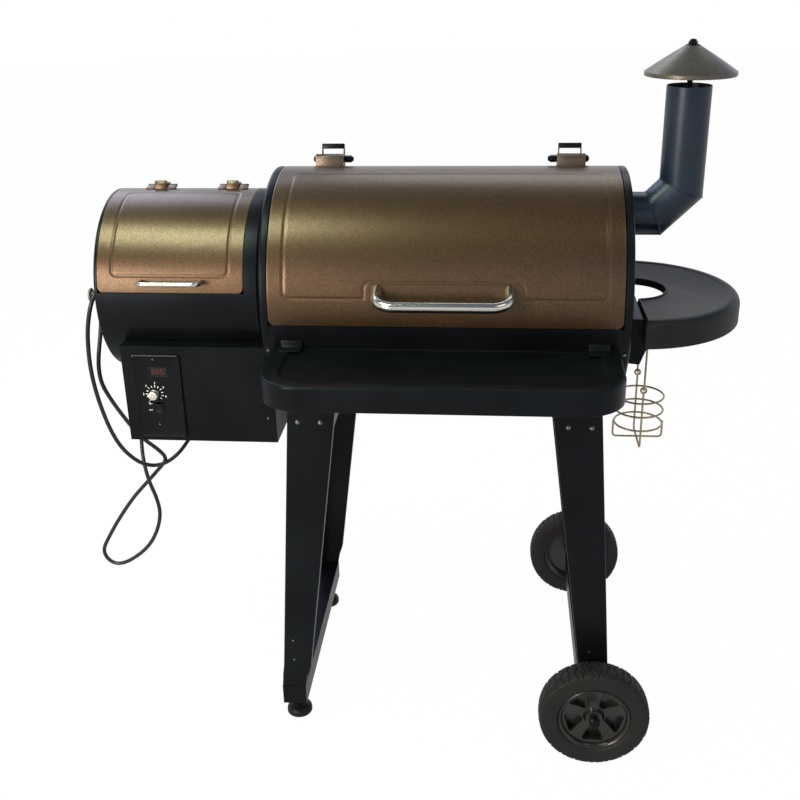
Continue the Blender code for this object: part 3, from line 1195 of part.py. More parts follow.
def control_knob():
    """Turned knob on its spindle with a flat pointer rib across its face."""
    back = -HOUSING_HALF_Y - SEAT_GAP - PANEL_THICKNESS + 0.0012 - 0.0006
    radius = KNOB_RADIUS
    profile = [(0.010, 0.003), (0, 0.003), (0, radius), (-KNOB_LENGTH * 0.35, radius),
               (-KNOB_LENGTH * 0.8, radius * 0.82), (-KNOB_LENGTH, radius * 0.60)]
    knob = turned("control_knob", "Y", (KNOB_X, back, KNOB_Z), profile, sides=20)
    rib = box("rib", (KNOB_X - radius - 0.0015, back - 0.006, KNOB_Z - 0.0009),
              (KNOB_X, back - KNOB_LENGTH - 0.0008, KNOB_Z + 0.0009))
    return finish_piece(unite(knob, rib), stainless())


def rocker_pivot():
    return Vector((ROCKER_X, -HOUSING_HALF_Y - SEAT_GAP - PANEL_THICKNESS + 0.004, ROCKER_Z))


def rocker_switch():
    """Rocker, its lower half pressed in at rest."""
    pivot = rocker_pivot()
    half = ROCKER_HEIGHT / 2 - 0.0008
    tilt = math.radians(ROCKER_TILT)
    outline = [(-0.0062, half), (-0.0042, 0.0), (-0.0062, -half), (-0.0010, -half + 0.0015), (0.0030, -0.003),
               (0.0030, 0.003), (-0.0010, half - 0.0015)]
    turned_outline = [(pivot.y + y * math.cos(tilt) - z * math.sin(tilt),
                       pivot.z + y * math.sin(tilt) + z * math.cos(tilt)) for y, z in outline]
    half_x = ROCKER_WIDTH / 2
    return finish_piece(prism("rocker_switch", "X", turned_outline, ROCKER_X - half_x, ROCKER_X + half_x), black_plastic())


# ---------------------------------------------------------------- shelves

def front_shelf_outline(inset):
    """Straight back, two large rounded front corners."""
    half = SHELF_HALF_X - inset
    front = SHELF_FRONT_Y + inset
    back = 0.078 - LEG_FACE_Y - inset
    radius = max(0.004, SHELF_CORNER - inset)
    points = [(half, back), (-half, back)]
    for centre, start in (((-half + radius, front + radius), math.pi), ((half - radius, front + radius), 1.5 * math.pi)):
        for i in range(8):
            turn = start + math.pi / 2 * i / 7
            points.append((centre[0] + radius * math.cos(turn), centre[1] + radius * math.sin(turn)))
    return points


def front_shelf():
    """Pressed tray with a deep skirt, seated against the barrel, with two bolted tabs and two gussets."""
    top, low, wall = SHELF_TOP_Z, SHELF_TOP_Z - SHELF_SKIRT, SHELF_SHEET
    recess = top - SHELF_RECESS
    levels = [(0.0, low), (0.0, top - 0.004), (0.0012, top - 0.0012), (0.004, top), (SHELF_RIM, top),
              (SHELF_RIM + 0.005, recess)]
    inside = [(wall, low), (wall, top - 0.005), (0.005, top - wall), (SHELF_RIM - 0.001, top - wall),
              (SHELF_RIM + 0.0045, recess - wall)]
    bm = bmesh.new()
    outer = [[bm.verts.new((x, y, z)) for x, y in front_shelf_outline(d)] for d, z in levels]
    inner = [[bm.verts.new((x, y, z)) for x, y in front_shelf_outline(d)] for d, z in inside]
    for rings in (outer, inner):
        bm.faces.new(rings[-1])
        for first, second in zip(rings, rings[1:]):
            bridge(bm, first, second)
    bridge(bm, outer[0], inner[0])
    shelf = add_object("front_shelf", bm)
    cut(shelf, ring_cutter(BARREL_RADIUS + SHELF_BACK_GAP, -2 * SHELF_HALF_X, 2 * SHELF_HALF_X))
    extras = []
    for side in (-1, 1):
        x = side * SHELF_TAB_X
        tab_back = -ring_depth(BARREL_RADIUS + SEAT_GAP, SHELF_TAB_Z)
        half = SHELF_TAB_WIDTH / 2
        extras.append(box("tab", (x - half, tab_back - wall, top - wall / 2), (x + half, tab_back, SHELF_TAB_Z)))
        web = [(SHELF_FRONT_Y + 0.030, recess - wall / 2), (SHELF_FRONT_Y + 0.030, recess - 0.022),
               (0.063 - LEG_FACE_Y, LEG_TOP_Z + 0.012), (0.078 - LEG_FACE_Y, LEG_TOP_Z + 0.012), (0.078 - LEG_FACE_Y, recess - wall / 2)]
        extras.append(prism("gusset", "X", web, x - wall, x))
    unite(shelf, *extras)
    cut(shelf, ring_cutter(BARREL_RADIUS + SEAT_GAP, -2 * SHELF_HALF_X, 2 * SHELF_HALF_X))
    return finish_piece(shelf, black_steel())


def side_shelf_outline(inset):
    """Round edge, straight side towards the barrel and a half-round notch in that side."""
    radius = SIDE_SHELF_RADIUS - inset
    notch = SIDE_NOTCH_RADIUS + inset
    chord = SIDE_SHELF_CHORD_X + inset
    centre = SIDE_SHELF_X
    end = math.asin(min(1.0, math.sqrt(radius ** 2 - (chord - centre) ** 2) / radius))
    points = []
    for i in range(19):
        turn = -end + 2 * end * i / 18
        points.append((centre + radius * math.cos(turn), radius * math.sin(turn)))
    start = math.acos((chord - centre - 0.004) / notch)
    for i in range(9):
        turn = start - 2 * start * i / 8
        points.append((centre + 0.004 + notch * math.cos(turn), notch * math.sin(turn)))
    return points


def side_shelf():
    """Moulded tray: rounded edge, shallow recess inside a rim, hollow below."""
    top, low, wall = SIDE_SHELF_TOP_Z, SIDE_SHELF_TOP_Z - SIDE_SHELF_DEPTH, SIDE_SHELF_WALL
    levels = [(0.0, low), (0.0, top - 0.016), (0.0022, top - 0.0075), (0.0075, top - 0.0022), (0.014, top),
              (0.020, top), (0.023, top - 0.0025)]
    inside = [(wall, low), (wall, top - 0.017), (0.008, top - 0.0022 - wall), (0.0235, top - 0.0025 - wall)]
    bm = bmesh.new()
    outer = [[bm.verts.new((x, y, z)) for x, y in side_shelf_outline(d)] for d, z in levels]
    inner = [[bm.verts.new((x, y, z)) for x, y in side_shelf_outline(d)] for d, z in inside]
    for rings in (outer, inner):
        bm.faces.new(rings[-1])
        for first, second in zip(rings, rings[1:]):
            bridge(bm, first, second)
    bridge(bm, outer[0], inner[0])
    shelf = add_object("side_shelf", bm)
    return finish_piece(shelf, material("charcoal_plastic", (0.03, 0.03, 0.031), 0.55, 0.0))


def side_shelf_bracket():
    """Channel between the right end panel and the side shelf's straight side."""
    start = BARREL_HALF + END_RIM + SEAT_GAP
    end = SIDE_SHELF_CHORD_X - SEAT_GAP
    top, low = SIDE_SHELF_TOP_Z - 0.004, SIDE_SHELF_TOP_Z - SIDE_SHELF_DEPTH - 0.006
    bracket = box("side_shelf_bracket", (start, -BRACKET_HALF_Y, low), (end, BRACKET_HALF_Y, top))
    cut(bracket, box("hollow", (start + SHEET, -BRACKET_HALF_Y + SHEET, low - 0.01),
                     (end - SHEET, BRACKET_HALF_Y - SHEET, top - SHEET)))
    tongue_top = SIDE_SHELF_TOP_Z - SIDE_SHELF_DEPTH - SEAT_GAP
    for side in (-1, 1):
        middle = side * TONGUE_Y
        unite(bracket, box("tongue", (end - SHEET / 2, middle - TONGUE_WIDTH / 2, tongue_top - SHEET),
                           (end + TONGUE_REACH, middle + TONGUE_WIDTH / 2, tongue_top)))
    return finish_piece(bracket, black_steel())


# ---------------------------------------------------------------- legs, crossbars and wheels

def leg_edges(z):
    """Outer and inner edge, in x, of a right-hand leg at height z."""
    drop = LEG_TOP_Z - z
    return LEG_TOP_OUTER + LEG_OUTER_SPLAY * drop, LEG_TOP_INNER + LEG_INNER_SPLAY * drop


def leg(name, side_x, side_y, crossbar_x, crossbar_top):
    """Channel of folded sheet that splays outwards and narrows down to its crossbar."""
    foot = crossbar_top + SEAT_GAP
    knee = foot + LEG_TAPER
    half = CROSSBAR_WIDTH / 2
    outer_top, inner_top = leg_edges(LEG_TOP_Z)
    outer_knee, inner_knee = leg_edges(knee)
    middle = abs(crossbar_x)
    stations = [(LEG_TOP_Z, outer_top, inner_top, 1.0), (knee, outer_knee, inner_knee, 1.0),
                (knee - LEG_TAPER * 0.5, (outer_knee * 0.35 + (middle + half) * 0.65),
                 (inner_knee * 0.35 + (middle - half) * 0.65), 0.8), (foot, middle + half, middle - half, 0.6)]
    bm = bmesh.new()
    rings = []
    for z, outer, inner, share in stations:
        face, back = LEG_FACE_Y, LEG_FACE_Y - SHEET
        section = [(inner, face), (outer, face), (outer, face - LEG_OUTER_FLANGE * share),
                   (outer - SHEET, face - LEG_OUTER_FLANGE * share), (outer - SHEET, back), (inner + SHEET, back),
                   (inner + SHEET, face - LEG_INNER_FLANGE * share), (inner, face - LEG_INNER_FLANGE * share)]
        rings.append([bm.verts.new((side_x * x, side_y * y, z)) for x, y in section])
    bm.faces.new(rings[0])
    bm.faces.new(rings[-1])
    for first, second in zip(rings, rings[1:]):
        bridge(bm, first, second)
    return finish_piece(add_object(name, bm), black_steel(), 25.0)


def saddle(name, side):
    """Cradle under the barrel: its webs follow the barrel and its ends carry two legs."""
    outer, inner = leg_edges(BOLT_Z)
    low_x, high_x = inner + 0.006, outer - 0.006
    end = LEG_FACE_Y - SHEET - SEAT_GAP
    top = BARREL_AXIS_Z - SADDLE_SHARE * BARREL_RADIUS
    cradle = box(name, (side * low_x, -end, SADDLE_BOTTOM_Z), (side * high_x, end, top))
    cut(cradle, box("hollow", (side * (low_x + SHEET), -end + SHEET, SADDLE_BOTTOM_Z - 0.01),
                    (side * (high_x - SHEET), end - SHEET, top + 0.01)))
    cut(cradle, ring_cutter(BARREL_RADIUS + SEAT_GAP, -BARREL_HALF - 0.03, BARREL_HALF + 0.03))
    return finish_piece(cradle, black_steel())


def crossbar(name, centre_x, centre_z, bores):
    """Square tube between a front and a rear leg, closed at its ends; bores are cut through it."""
    half_x, half_z, end = CROSSBAR_WIDTH / 2, CROSSBAR_HEIGHT / 2, CROSSBAR_HALF_Y
    bar = box(name, (centre_x - half_x, -end, centre_z - half_z), (centre_x + half_x, end, centre_z + half_z))
    cut(bar, box("hollow", (centre_x - half_x + SHEET, -end + SHEET, centre_z - half_z + SHEET),
                 (centre_x + half_x - SHEET, end - SHEET, centre_z + half_z - SHEET)))
    cut(bar, *bores)
    return finish_piece(bar, black_steel())


def left_crossbar():
    low = LEFT_CROSSBAR_Z - CROSSBAR_HEIGHT / 2
    bores = [rod("bore", "Z", (LEFT_CROSSBAR_X, side * FOOT_Y, 0), FOOT_STEM_RADIUS + RUNNING_GAP, low - 0.01,
                 low + 0.01, sides=16) for side in (-1, 1)]
    return crossbar("crossbar_left", LEFT_CROSSBAR_X, LEFT_CROSSBAR_Z, bores)


def right_crossbar():
    bore = rod("bore", "Y", (WHEEL_X, 0, WHEEL_RADIUS), AXLE_RADIUS + SEAT_GAP, -CROSSBAR_HALF_Y - 0.01,
               CROSSBAR_HALF_Y + 0.01, sides=16)
    return crossbar("crossbar_right", WHEEL_X, WHEEL_RADIUS, [bore])


def levelling_foot(name, side):
    """Round pad on a threaded stem, screwed into the left crossbar."""
    stem_top = LEFT_CROSSBAR_Z - CROSSBAR_HEIGHT / 2 + 0.024
    nut = 0.0085
    profile = [(0, FOOT_RADIUS - 0.002), (0.002, FOOT_RADIUS), (FOOT_HEIGHT * 0.45, FOOT_RADIUS),
               (FOOT_HEIGHT * 0.8, FOOT_RADIUS * 0.72), (FOOT_HEIGHT, nut + 0.002), (FOOT_HEIGHT, nut),
               (FOOT_HEIGHT + 0.006, nut), (FOOT_HEIGHT + 0.006, FOOT_STEM_RADIUS), (stem_top, FOOT_STEM_RADIUS)]
    foot = turned(name, "Z", (LEFT_CROSSBAR_X, side * FOOT_Y, 0), profile, sides=16)
    return finish_piece(foot, black_plastic())


def axle():
    """Rod through the right crossbar with a cap nut outside each wheel."""
    end = AXLE_END_Y
    nut = AXLE_RADIUS + 0.0045
    seat = WHEEL_Y + TYRE_WIDTH / 2 + RUNNING_GAP + 0.0005
    profile = [(-end, nut - 0.003), (-end + 0.003, nut), (-seat, nut), (-seat, AXLE_RADIUS),
               (seat, AXLE_RADIUS), (seat, nut), (end - 0.003, nut), (end, nut - 0.003)]
    return finish_piece(turned("axle", "Y", (WHEEL_X, 0, WHEEL_RADIUS), profile, sides=16), galvanised())


def tyre(name, side):
    """Solid rubber tyre with rounded shoulders and a bead that grips the rim."""
    half = TYRE_WIDTH / 2
    radius, bead = WHEEL_RADIUS, RIM_RADIUS + SEAT_GAP
    profile = [(-half * 0.80, bead), (-half, bead + 0.012), (-half * 0.96, radius - 0.010),
               (-half * 0.72, radius - 0.0022), (-half * 0.34, radius), (half * 0.34, radius),
               (half * 0.72, radius - 0.0022), (half * 0.96, radius - 0.010), (half, bead + 0.012),
               (half * 0.80, bead)]
    piece = turned(name, "Y", (WHEEL_X, side * WHEEL_Y, WHEEL_RADIUS), profile, sides=WHEEL_SIDES, closed=True)
    return finish_piece(piece, material("tyre_rubber", (0.02, 0.02, 0.02), 0.8, 0.0), 40.0)


def hub(name, side):
    """Moulded hub: rim, dished web with tapered windows, and a boss that runs on the axle."""
    outer = TYRE_WIDTH / 2
    inner = WHEEL_Y - CROSSBAR_HALF_Y - RUNNING_GAP * 2
    bore = AXLE_RADIUS + RUNNING_GAP
    rim, wall = RIM_RADIUS, 0.004
    half = TYRE_WIDTH / 2 * 0.70
    boss = HUB_BOSS_RADIUS
    web_out = half - 0.008
    web_in = web_out - 0.006
    profile = [(-inner, bore), (-inner, boss * 0.8), (web_in, boss), (web_in, rim - wall), (-half, rim - wall),
               (-half, rim), (half, rim), (half, rim - wall), (web_out + 0.001, rim - wall - 0.003),
               (web_out, boss + 0.004), (outer - 0.006, boss), (outer, boss * 0.75), (outer, bore)]
    centre = Vector((WHEEL_X, side * WHEEL_Y, WHEEL_RADIUS))
    piece = turned(name, "Y", centre, [(side * along, r) for along, r in profile], sides=WHEEL_SIDES, closed=True)
    low, high = boss + 0.006, rim - wall - 0.006
    for i in range(HUB_WINDOWS):
        turn = 2 * math.pi * i / HUB_WINDOWS - math.pi / 2 + HUB_PHASE
        half_low, half_high = math.radians(9), math.radians(21)
        outline = [(low, -half_low), (high, -half_high), (high + 0.002, 0), (high, half_high), (low, half_low)]
        points = [(WHEEL_X + r * math.cos(turn + a), WHEEL_RADIUS + r * math.sin(turn + a)) for r, a in outline]
        middle = side * (WHEEL_Y + (web_in + web_out) / 2)
        cut(piece, prism("window", "Y", points, middle - 0.012, middle + 0.012))
    return finish_piece(piece, black_plastic())


# ---------------------------------------------------------------- basket

def ring_points(radius, z, count):
    turns = [2 * math.pi * (i + 0.3) / count for i in range(count)]
    return [(BASKET_X + radius * math.cos(t), radius * math.sin(t), z) for t in turns]


def basket_frame_wire(name, radius, axis, top_z, lower):
    """U of wire round the rings; one that passes under the other lies lower."""
    wire = BASKET_WIRE
    bend = 0.008
    bottom = BASKET_BOTTOM_Z - lower
    points = [(-radius, top_z), (-radius, bottom + bend)]
    points += [(-radius + bend * (1 - math.cos(t)), bottom + bend * (1 - math.sin(t)))
               for t in (math.pi / 6, math.pi / 3, math.pi / 2)]
    points += [(-u, z) for u, z in reversed(points)]
    place = (lambda u, z: (BASKET_X + u, 0, z)) if axis == "X" else (lambda u, z: (BASKET_X, u, z))
    return swept(name, [place(u, z) for u, z in points], wire, sides=4)


def wire_eye(name, y, z, radius):
    """Eye of wire in the X-Z plane, for a pin along Y."""
    points = [(BASKET_X + radius * math.cos(t), y, z + radius * math.sin(t))
              for t in [2 * math.pi * (i + 0.2) / 9 for i in range(9)]]
    return swept(name, points, BASKET_WIRE, sides=4, closed=True)



def basket():
    """Three rings on two crossed wires; the front-and-back wire ends in eyes."""
    wire = BASKET_WIRE
    rings = [swept("ring", ring_points(BASKET_RADIUS, z, 14), wire, sides=4, closed=True) for z in BASKET_RING_Z]
    out = BASKET_RADIUS + wire * 0.9
    across = basket_frame_wire("basket", out, "X", BASKET_RING_Z[0] + wire * 1.5, 0.0)
    eye_z = BASKET_EAR_Z
    along = basket_frame_wire("along", out, "Y", eye_z - EYE_RADIUS + wire * 0.4, wire * 0.7)
    eyes = [wire_eye("eye", side * out, eye_z, EYE_RADIUS) for side in (-1, 1)]
    unite(along, *eyes)
    unite(across, along, *rings)
    return finish_piece(across, stainless(), 60.0)


def bail_pivot_z():
    drop = SPOUT_SLOPE * (BASKET_X - BARREL_HALF - END_RIM)
    return SPOUT_Z - drop + SPOUT_DEPTH + BASKET_WIRE + SEAT_GAP


def basket_bail():
    """Wire arch over the spout whose ends hook into the basket's eyes."""
    wire = BASKET_WIRE
    out = BASKET_RADIUS + wire * 0.9
    top = bail_pivot_z()
    bend = 0.008
    low = BASKET_EAR_Z + BAIL_PIN_RISE
    side_y = out + 0.0045
    points = [(out - 0.0045, low), (side_y - 0.002, low), (side_y, low + 0.002), (side_y, top - bend)]
    points += [(side_y - bend * (1 - math.cos(t)), top - bend * (1 - math.sin(t)))
               for t in (math.pi / 6, math.pi / 3, math.pi / 2)]
    full = [(BASKET_X, -y, z) for y, z in points] + [(BASKET_X, y, z) for y, z in reversed(points)]
    return finish_piece(swept("basket_bail", full, wire, sides=6), stainless(), 60.0)


# ---------------------------------------------------------------- cord

def cord_peg():
    """Peg on the hopper's left end disc that the spare cord hangs on."""
    face = HOPPER_LEFT_X - SEAT_GAP
    end = face - PEG_LENGTH
    profile = [(face, 0.011), (face - 0.003, 0.011), (face - 0.005, PEG_RADIUS), (end + 0.006, PEG_RADIUS),
               (end + 0.004, PEG_HEAD_RADIUS), (end + 0.0015, PEG_HEAD_RADIUS), (end, PEG_HEAD_RADIUS - 0.003)]
    peg = turned("cord_peg", "X", (0, PEG_Y, PEG_Z), profile, sides=16)
    return finish_piece(peg, material("grey_plastic", (0.09, 0.09, 0.095), 0.5, 0.0))


def gland_exit():
    return Vector((GLAND_X, HOUSING_HALF_Y + 0.036, GLAND_Z))


def cord_gland():
    """Screwed gland in the housing's rear wall with a tapered strain relief."""
    wall = HOUSING_HALF_Y
    end = gland_exit().y
    bore = CORD_RADIUS + 0.0009
    profile = [(wall - 0.010, bore), (wall - 0.010, 0.0115), (wall - SHEET - SEAT_GAP, 0.0115),
               (wall - SHEET - SEAT_GAP, 0.007), (wall + SEAT_GAP, 0.007), (wall + SEAT_GAP, 0.0125),
               (wall + 0.009, 0.0125), (wall + 0.012, 0.0095), (end, bore + 0.0012), (end, bore)]
    gland = turned("cord_gland", "Y", (GLAND_X, 0, GLAND_Z), profile, sides=16, closed=True)
    return finish_piece(gland, black_plastic())


def cord_route():
    """The route's points, moved along with the hopper's left face."""
    return [(x + HOPPER_LEFT_X - CORD_BASE_X, y, z) for x, y, z in CORD_ROUTE]


def smooth_route(route, count):
    """Points along a curve through the route's own points, closer together where it bends."""
    knots = [Vector(p) for p in route]
    dense = []
    for i in range(len(knots) - 1):
        before = knots[i - 1] if i else knots[i] * 2 - knots[i + 1]
        after = knots[i + 2] if i + 2 < len(knots) else knots[i + 1] * 2 - knots[i]
        start, end = knots[i], knots[i + 1]
        span = (end - start).length
        tangent_in = (end - before) * (span / max(1e-6, (end - before).length))
        tangent_out = (after - start) * (span / max(1e-6, (after - start).length))
        for k in range(20):
            t = k / 20
            t2, t3 = t * t, t * t * t
            dense.append(start * (2 * t3 - 3 * t2 + 1) + tangent_in * (t3 - 2 * t2 + t)
                         + end * (3 * t2 - 2 * t3) + tangent_out * (t3 - t2))
    dense.append(knots[-1])
    lengths = [0.0]
    for i in range(1, len(dense)):
        step = dense[i] - dense[i - 1]
        onward = dense[min(i + 1, len(dense) - 1)] - dense[i]
        bend = step.angle(onward) if onward.length > 0 else 0.0
        lengths.append(lengths[-1] + step.length + CORD_BEND_WEIGHT * bend)
    points = []
    j = 0
    for k in range(count):
        target = lengths[-1] * k / (count - 1)
        while j < len(lengths) - 2 and lengths[j + 1] < target:
            j += 1
        share = (target - lengths[j]) / max(1e-9, lengths[j + 1] - lengths[j])
        points.append(dense[j].lerp(dense[j + 1], share))
    return points


def power_cord():
    curve = bpy.data.curves.new("power_cord", "CURVE")
    curve.dimensions = "3D"
    curve.bevel_depth = CORD_RADIUS
    curve.bevel_resolution = 2
    curve.use_fill_caps = True
    points = smooth_route(cord_route(), CORD_POINTS)
    spline = curve.splines.new("POLY")
    spline.points.add(len(points) - 1)
    for slot, point in zip(spline.points, points):
        slot.co = (*point, 1.0)
    cord = bpy.data.objects.new("power_cord", curve)
    bpy.context.collection.objects.link(cord)
    curve.materials.append(material("black_cord", (0.018, 0.018, 0.022), 0.45, 0.0))
    return cord


def plug():
    """Moulded mains plug at the cord's far end, with a tapered strain relief and two blades."""
    end = Vector(cord_route()[-1])
    start_x = end.x + 2 * SEAT_GAP
    radius = PLUG_RADIUS
    neck = CORD_RADIUS + 0.0006
    profile = [(0, neck), (0.022, neck + 0.0025), (0.024, radius * 0.72), (0.030, radius * 0.86),
               (0.024 + PLUG_LENGTH, radius), (0.026 + PLUG_LENGTH, radius * 0.92)]
    body = turned("plug", "X", (start_x, end.y, end.z), profile, sides=20)
    face = start_x + 0.026 + PLUG_LENGTH
    for side in (-1, 1):
        blade = box("blade", (face - 0.002, end.y - 0.0032, end.z + side * 0.0063 - 0.0008),
                    (face + 0.016, end.y + 0.0032, end.z + side * 0.0063 + 0.0008))
        unite(body, blade)
    return finish_piece(body, black_plastic())


# ---------------------------------------------------------------- assembly

def empty(name, location, parent=None):
    made = bpy.data.objects.new(name, None)
    made.location = location
    made.parent = parent
    bpy.context.collection.objects.link(made)
    return made


def hang(piece, pivot):
    """Parent a piece modelled in the barrel's frame to an empty, keeping its place."""
    origin = Vector(pivot.location)
    if piece.type == "MESH":
        piece.data.transform(Matrix.Translation(-origin))
    piece.parent = pivot


def build():
    clear_scene()
    frame = empty("grill_frame", (FRAME_SHIFT_X, FRAME_SHIFT_Y, 0))
    fixed = [barrel_shell(), end_panel("end_panel_left", -1), end_panel("end_panel_right", 1),
             saddle("saddle_left", -1), saddle("saddle_right", 1), left_crossbar(), right_crossbar(), axle(),
             front_shelf(), side_shelf(), side_shelf_bracket(), chimney_pipe(), chimney_rod(), grease_spout(),
             cooking_grate(), drip_tray(), heat_baffle(), fire_pot(), igniter(), auger_tube(), auger_motor(),
             blower_housing(), temperature_probe(), hopper_shell(), hopper_bin(), hopper_guard(),
             controller_housing(), control_panel(), display_window(), cord_peg(), cord_gland(), power_cord(), plug(),
             lid_stop("lid_stop_left", -HINGE_X, -1), lid_stop("lid_stop_right", HINGE_X, 1)]
    left_top = LEFT_CROSSBAR_Z + CROSSBAR_HEIGHT / 2
    right_top = WHEEL_RADIUS + CROSSBAR_HEIGHT / 2
    for place, side_y in (("front", -1), ("rear", 1)):
        fixed.append(leg("leg_" + place + "_left", -1, side_y, LEFT_CROSSBAR_X, left_top))
        fixed.append(leg("leg_" + place + "_right", 1, side_y, WHEEL_X, right_top))
    for piece in fixed:
        piece.parent = frame

    lid_y, lid_z = on_ring(BARREL_RADIUS, HINGE_PIVOT_ANGLE, HINGE_PIVOT_RISE)
    handle = bent_handle("lid_handle", BARREL_RADIUS, HANDLE_ANGLE, HANDLE_HALF, HANDLE_RADIUS, HANDLE_REACH, HANDLE_BEND,
                         HANDLE_DIP)
    hopper_y, hopper_z = on_ring(HOPPER_RADIUS, HOPPER_PIVOT_ANGLE, HOPPER_PIVOT_RISE)
    hopper_handle = bent_handle("hopper_lid_handle", HOPPER_RADIUS, HOPPER_HANDLE_ANGLE, HOPPER_HANDLE_HALF,
                                HOPPER_HANDLE_RADIUS, HOPPER_HANDLE_REACH, 0.008, HOPPER_HANDLE_DIP,
                                HOPPER_HANDLE_X, 8)
    rocker = rocker_pivot()
    moving = [
        ("main_lid_pivot", (0, lid_y, lid_z), [main_lid(), handle, lid_hinge("lid_hinge_left", -HINGE_X),
                                               lid_hinge("lid_hinge_right", HINGE_X)]),
        ("hopper_lid_pivot", (0, hopper_y, hopper_z),
         [hopper_lid(), hopper_handle, hopper_hinge("hopper_hinge_left", HOPPER_HINGE_X[0]),
          hopper_hinge("hopper_hinge_right", HOPPER_HINGE_X[1])]),
        ("knob_axis", (KNOB_X, -HOUSING_HALF_Y, KNOB_Z), [control_knob()]),
        ("rocker_axis", tuple(rocker), [rocker_switch()]),
        ("auger_axis", (0, 0, AUGER_Z), [auger()]),
        ("impeller_axis", (BLOWER_X, BLOWER_Y, BLOWER_Z), [blower_impeller()]),
        ("cap_axis", (CHIMNEY_X, 0, CAP_RIM_Z), [chimney_cap()]),
        ("bail_axis", (BASKET_X, 0, bail_pivot_z()), [basket_bail()]),
        ("basket_axis", (BASKET_X, 0, BASKET_EAR_Z + BAIL_PIN_RISE), [basket()]),
        ("foot_front_axis", (LEFT_CROSSBAR_X, -FOOT_Y, 0), [levelling_foot("foot_front", -1)]),
        ("foot_rear_axis", (LEFT_CROSSBAR_X, FOOT_Y, 0), [levelling_foot("foot_rear", 1)]),
        ("wheel_front_axis", (WHEEL_X, -WHEEL_Y, WHEEL_RADIUS), [tyre("tyre_front", -1), hub("hub_front", -1)]),
        ("wheel_rear_axis", (WHEEL_X, WHEEL_Y, WHEEL_RADIUS), [tyre("tyre_rear", 1), hub("hub_rear", 1)]),
    ]
    for name, location, pieces in moving:
        pivot = empty(name, location, frame)
        for piece in pieces:
            hang(piece, pivot)


build()
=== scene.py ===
"""Pellet smoker grill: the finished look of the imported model, in metres, in the model's own frame."""
import json
import math

import bmesh
import bpy
from mathutils import Matrix, Vector

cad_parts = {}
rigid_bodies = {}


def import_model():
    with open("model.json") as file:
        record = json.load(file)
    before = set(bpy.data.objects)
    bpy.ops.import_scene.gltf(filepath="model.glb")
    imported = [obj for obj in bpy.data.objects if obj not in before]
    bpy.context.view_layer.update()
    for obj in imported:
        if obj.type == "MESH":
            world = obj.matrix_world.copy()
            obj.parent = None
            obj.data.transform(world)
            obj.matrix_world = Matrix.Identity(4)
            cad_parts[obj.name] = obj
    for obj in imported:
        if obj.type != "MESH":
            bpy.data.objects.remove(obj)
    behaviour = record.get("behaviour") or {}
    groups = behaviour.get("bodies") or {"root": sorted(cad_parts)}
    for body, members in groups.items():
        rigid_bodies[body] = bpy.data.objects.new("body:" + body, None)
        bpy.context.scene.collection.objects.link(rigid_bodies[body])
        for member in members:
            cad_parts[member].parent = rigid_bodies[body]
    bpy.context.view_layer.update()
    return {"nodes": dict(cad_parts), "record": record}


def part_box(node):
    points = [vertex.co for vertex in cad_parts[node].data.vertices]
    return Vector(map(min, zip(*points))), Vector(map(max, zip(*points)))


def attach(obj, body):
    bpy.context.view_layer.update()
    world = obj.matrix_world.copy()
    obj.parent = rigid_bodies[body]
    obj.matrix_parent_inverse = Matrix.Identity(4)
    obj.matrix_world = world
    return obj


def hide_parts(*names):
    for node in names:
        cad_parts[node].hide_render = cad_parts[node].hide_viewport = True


for leftover in list(bpy.data.objects):
    bpy.data.objects.remove(leftover, do_unlink=True)
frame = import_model()
NODES = frame["nodes"]


# ---------------------------------------------------------------- where the grill stands

BARREL_LOW, BARREL_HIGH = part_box("barrel_shell")
SHIFT = Vector(((BARREL_LOW.x + BARREL_HIGH.x) / 2, 0.0310, 0.0))   # from the barrel's frame to the model's
BARREL_AXIS_Z = 0.850
BARREL_RADIUS = 0.206
BARREL_HALF = (BARREL_HIGH.x - BARREL_LOW.x) / 2


def span(name, axis):
    """Lowest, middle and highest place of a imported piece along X, Y or Z, in the barrel's frame."""
    index = "XYZ".index(axis)
    low, high = (corner[index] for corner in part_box(name))
    return low - SHIFT[index], (low + high) / 2 - SHIFT[index], high - SHIFT[index]


# ---------------------------------------------------------------- material tools

def linear(hex_colour):
    """Linear RGBA of a written sRGB colour such as '#2a2b2c'."""
    channels = [int(hex_colour[i:i + 2], 16) / 255 for i in (1, 3, 5)]
    return tuple(c / 12.92 if c <= 0.04045 else ((c + 0.055) / 1.055) ** 2.4 for c in channels) + (1.0,)


def add_node(tree, kind, **settings):
    """Node of a tree: names of properties set them, names of sockets (spaces as __) set or link inputs."""
    node = tree.nodes.new(kind)
    for key, value in settings.items():
        name = key.replace("__", " ")
        if name not in node.inputs and hasattr(node, key):
            setattr(node, key, value)
            continue
        index = int(name[2:]) if name.startswith("in") and name[2:].isdigit() else name
        if isinstance(value, bpy.types.NodeSocket):
            tree.links.new(value, node.inputs[index])
        else:
            node.inputs[index].default_value = value
    return node


def new_finish(name, colour, roughness, metallic=0.0, **sockets):
    """Principled material with constant sockets; returns (material, tree, shader)."""
    made = bpy.data.materials.new(name)
    made.use_nodes = True
    shader = made.node_tree.nodes["Principled BSDF"]
    shader.inputs["Base Color"].default_value = linear(colour)
    shader.inputs["Roughness"].default_value = roughness
    shader.inputs["Metallic"].default_value = metallic
    for key, value in sockets.items():
        shader.inputs[key.replace("__", " ")].default_value = value
    return made, made.node_tree, shader


def place_of(tree):
    """Place on the piece itself, in metres."""
    return add_node(tree, "ShaderNodeTexCoord").outputs["Object"]


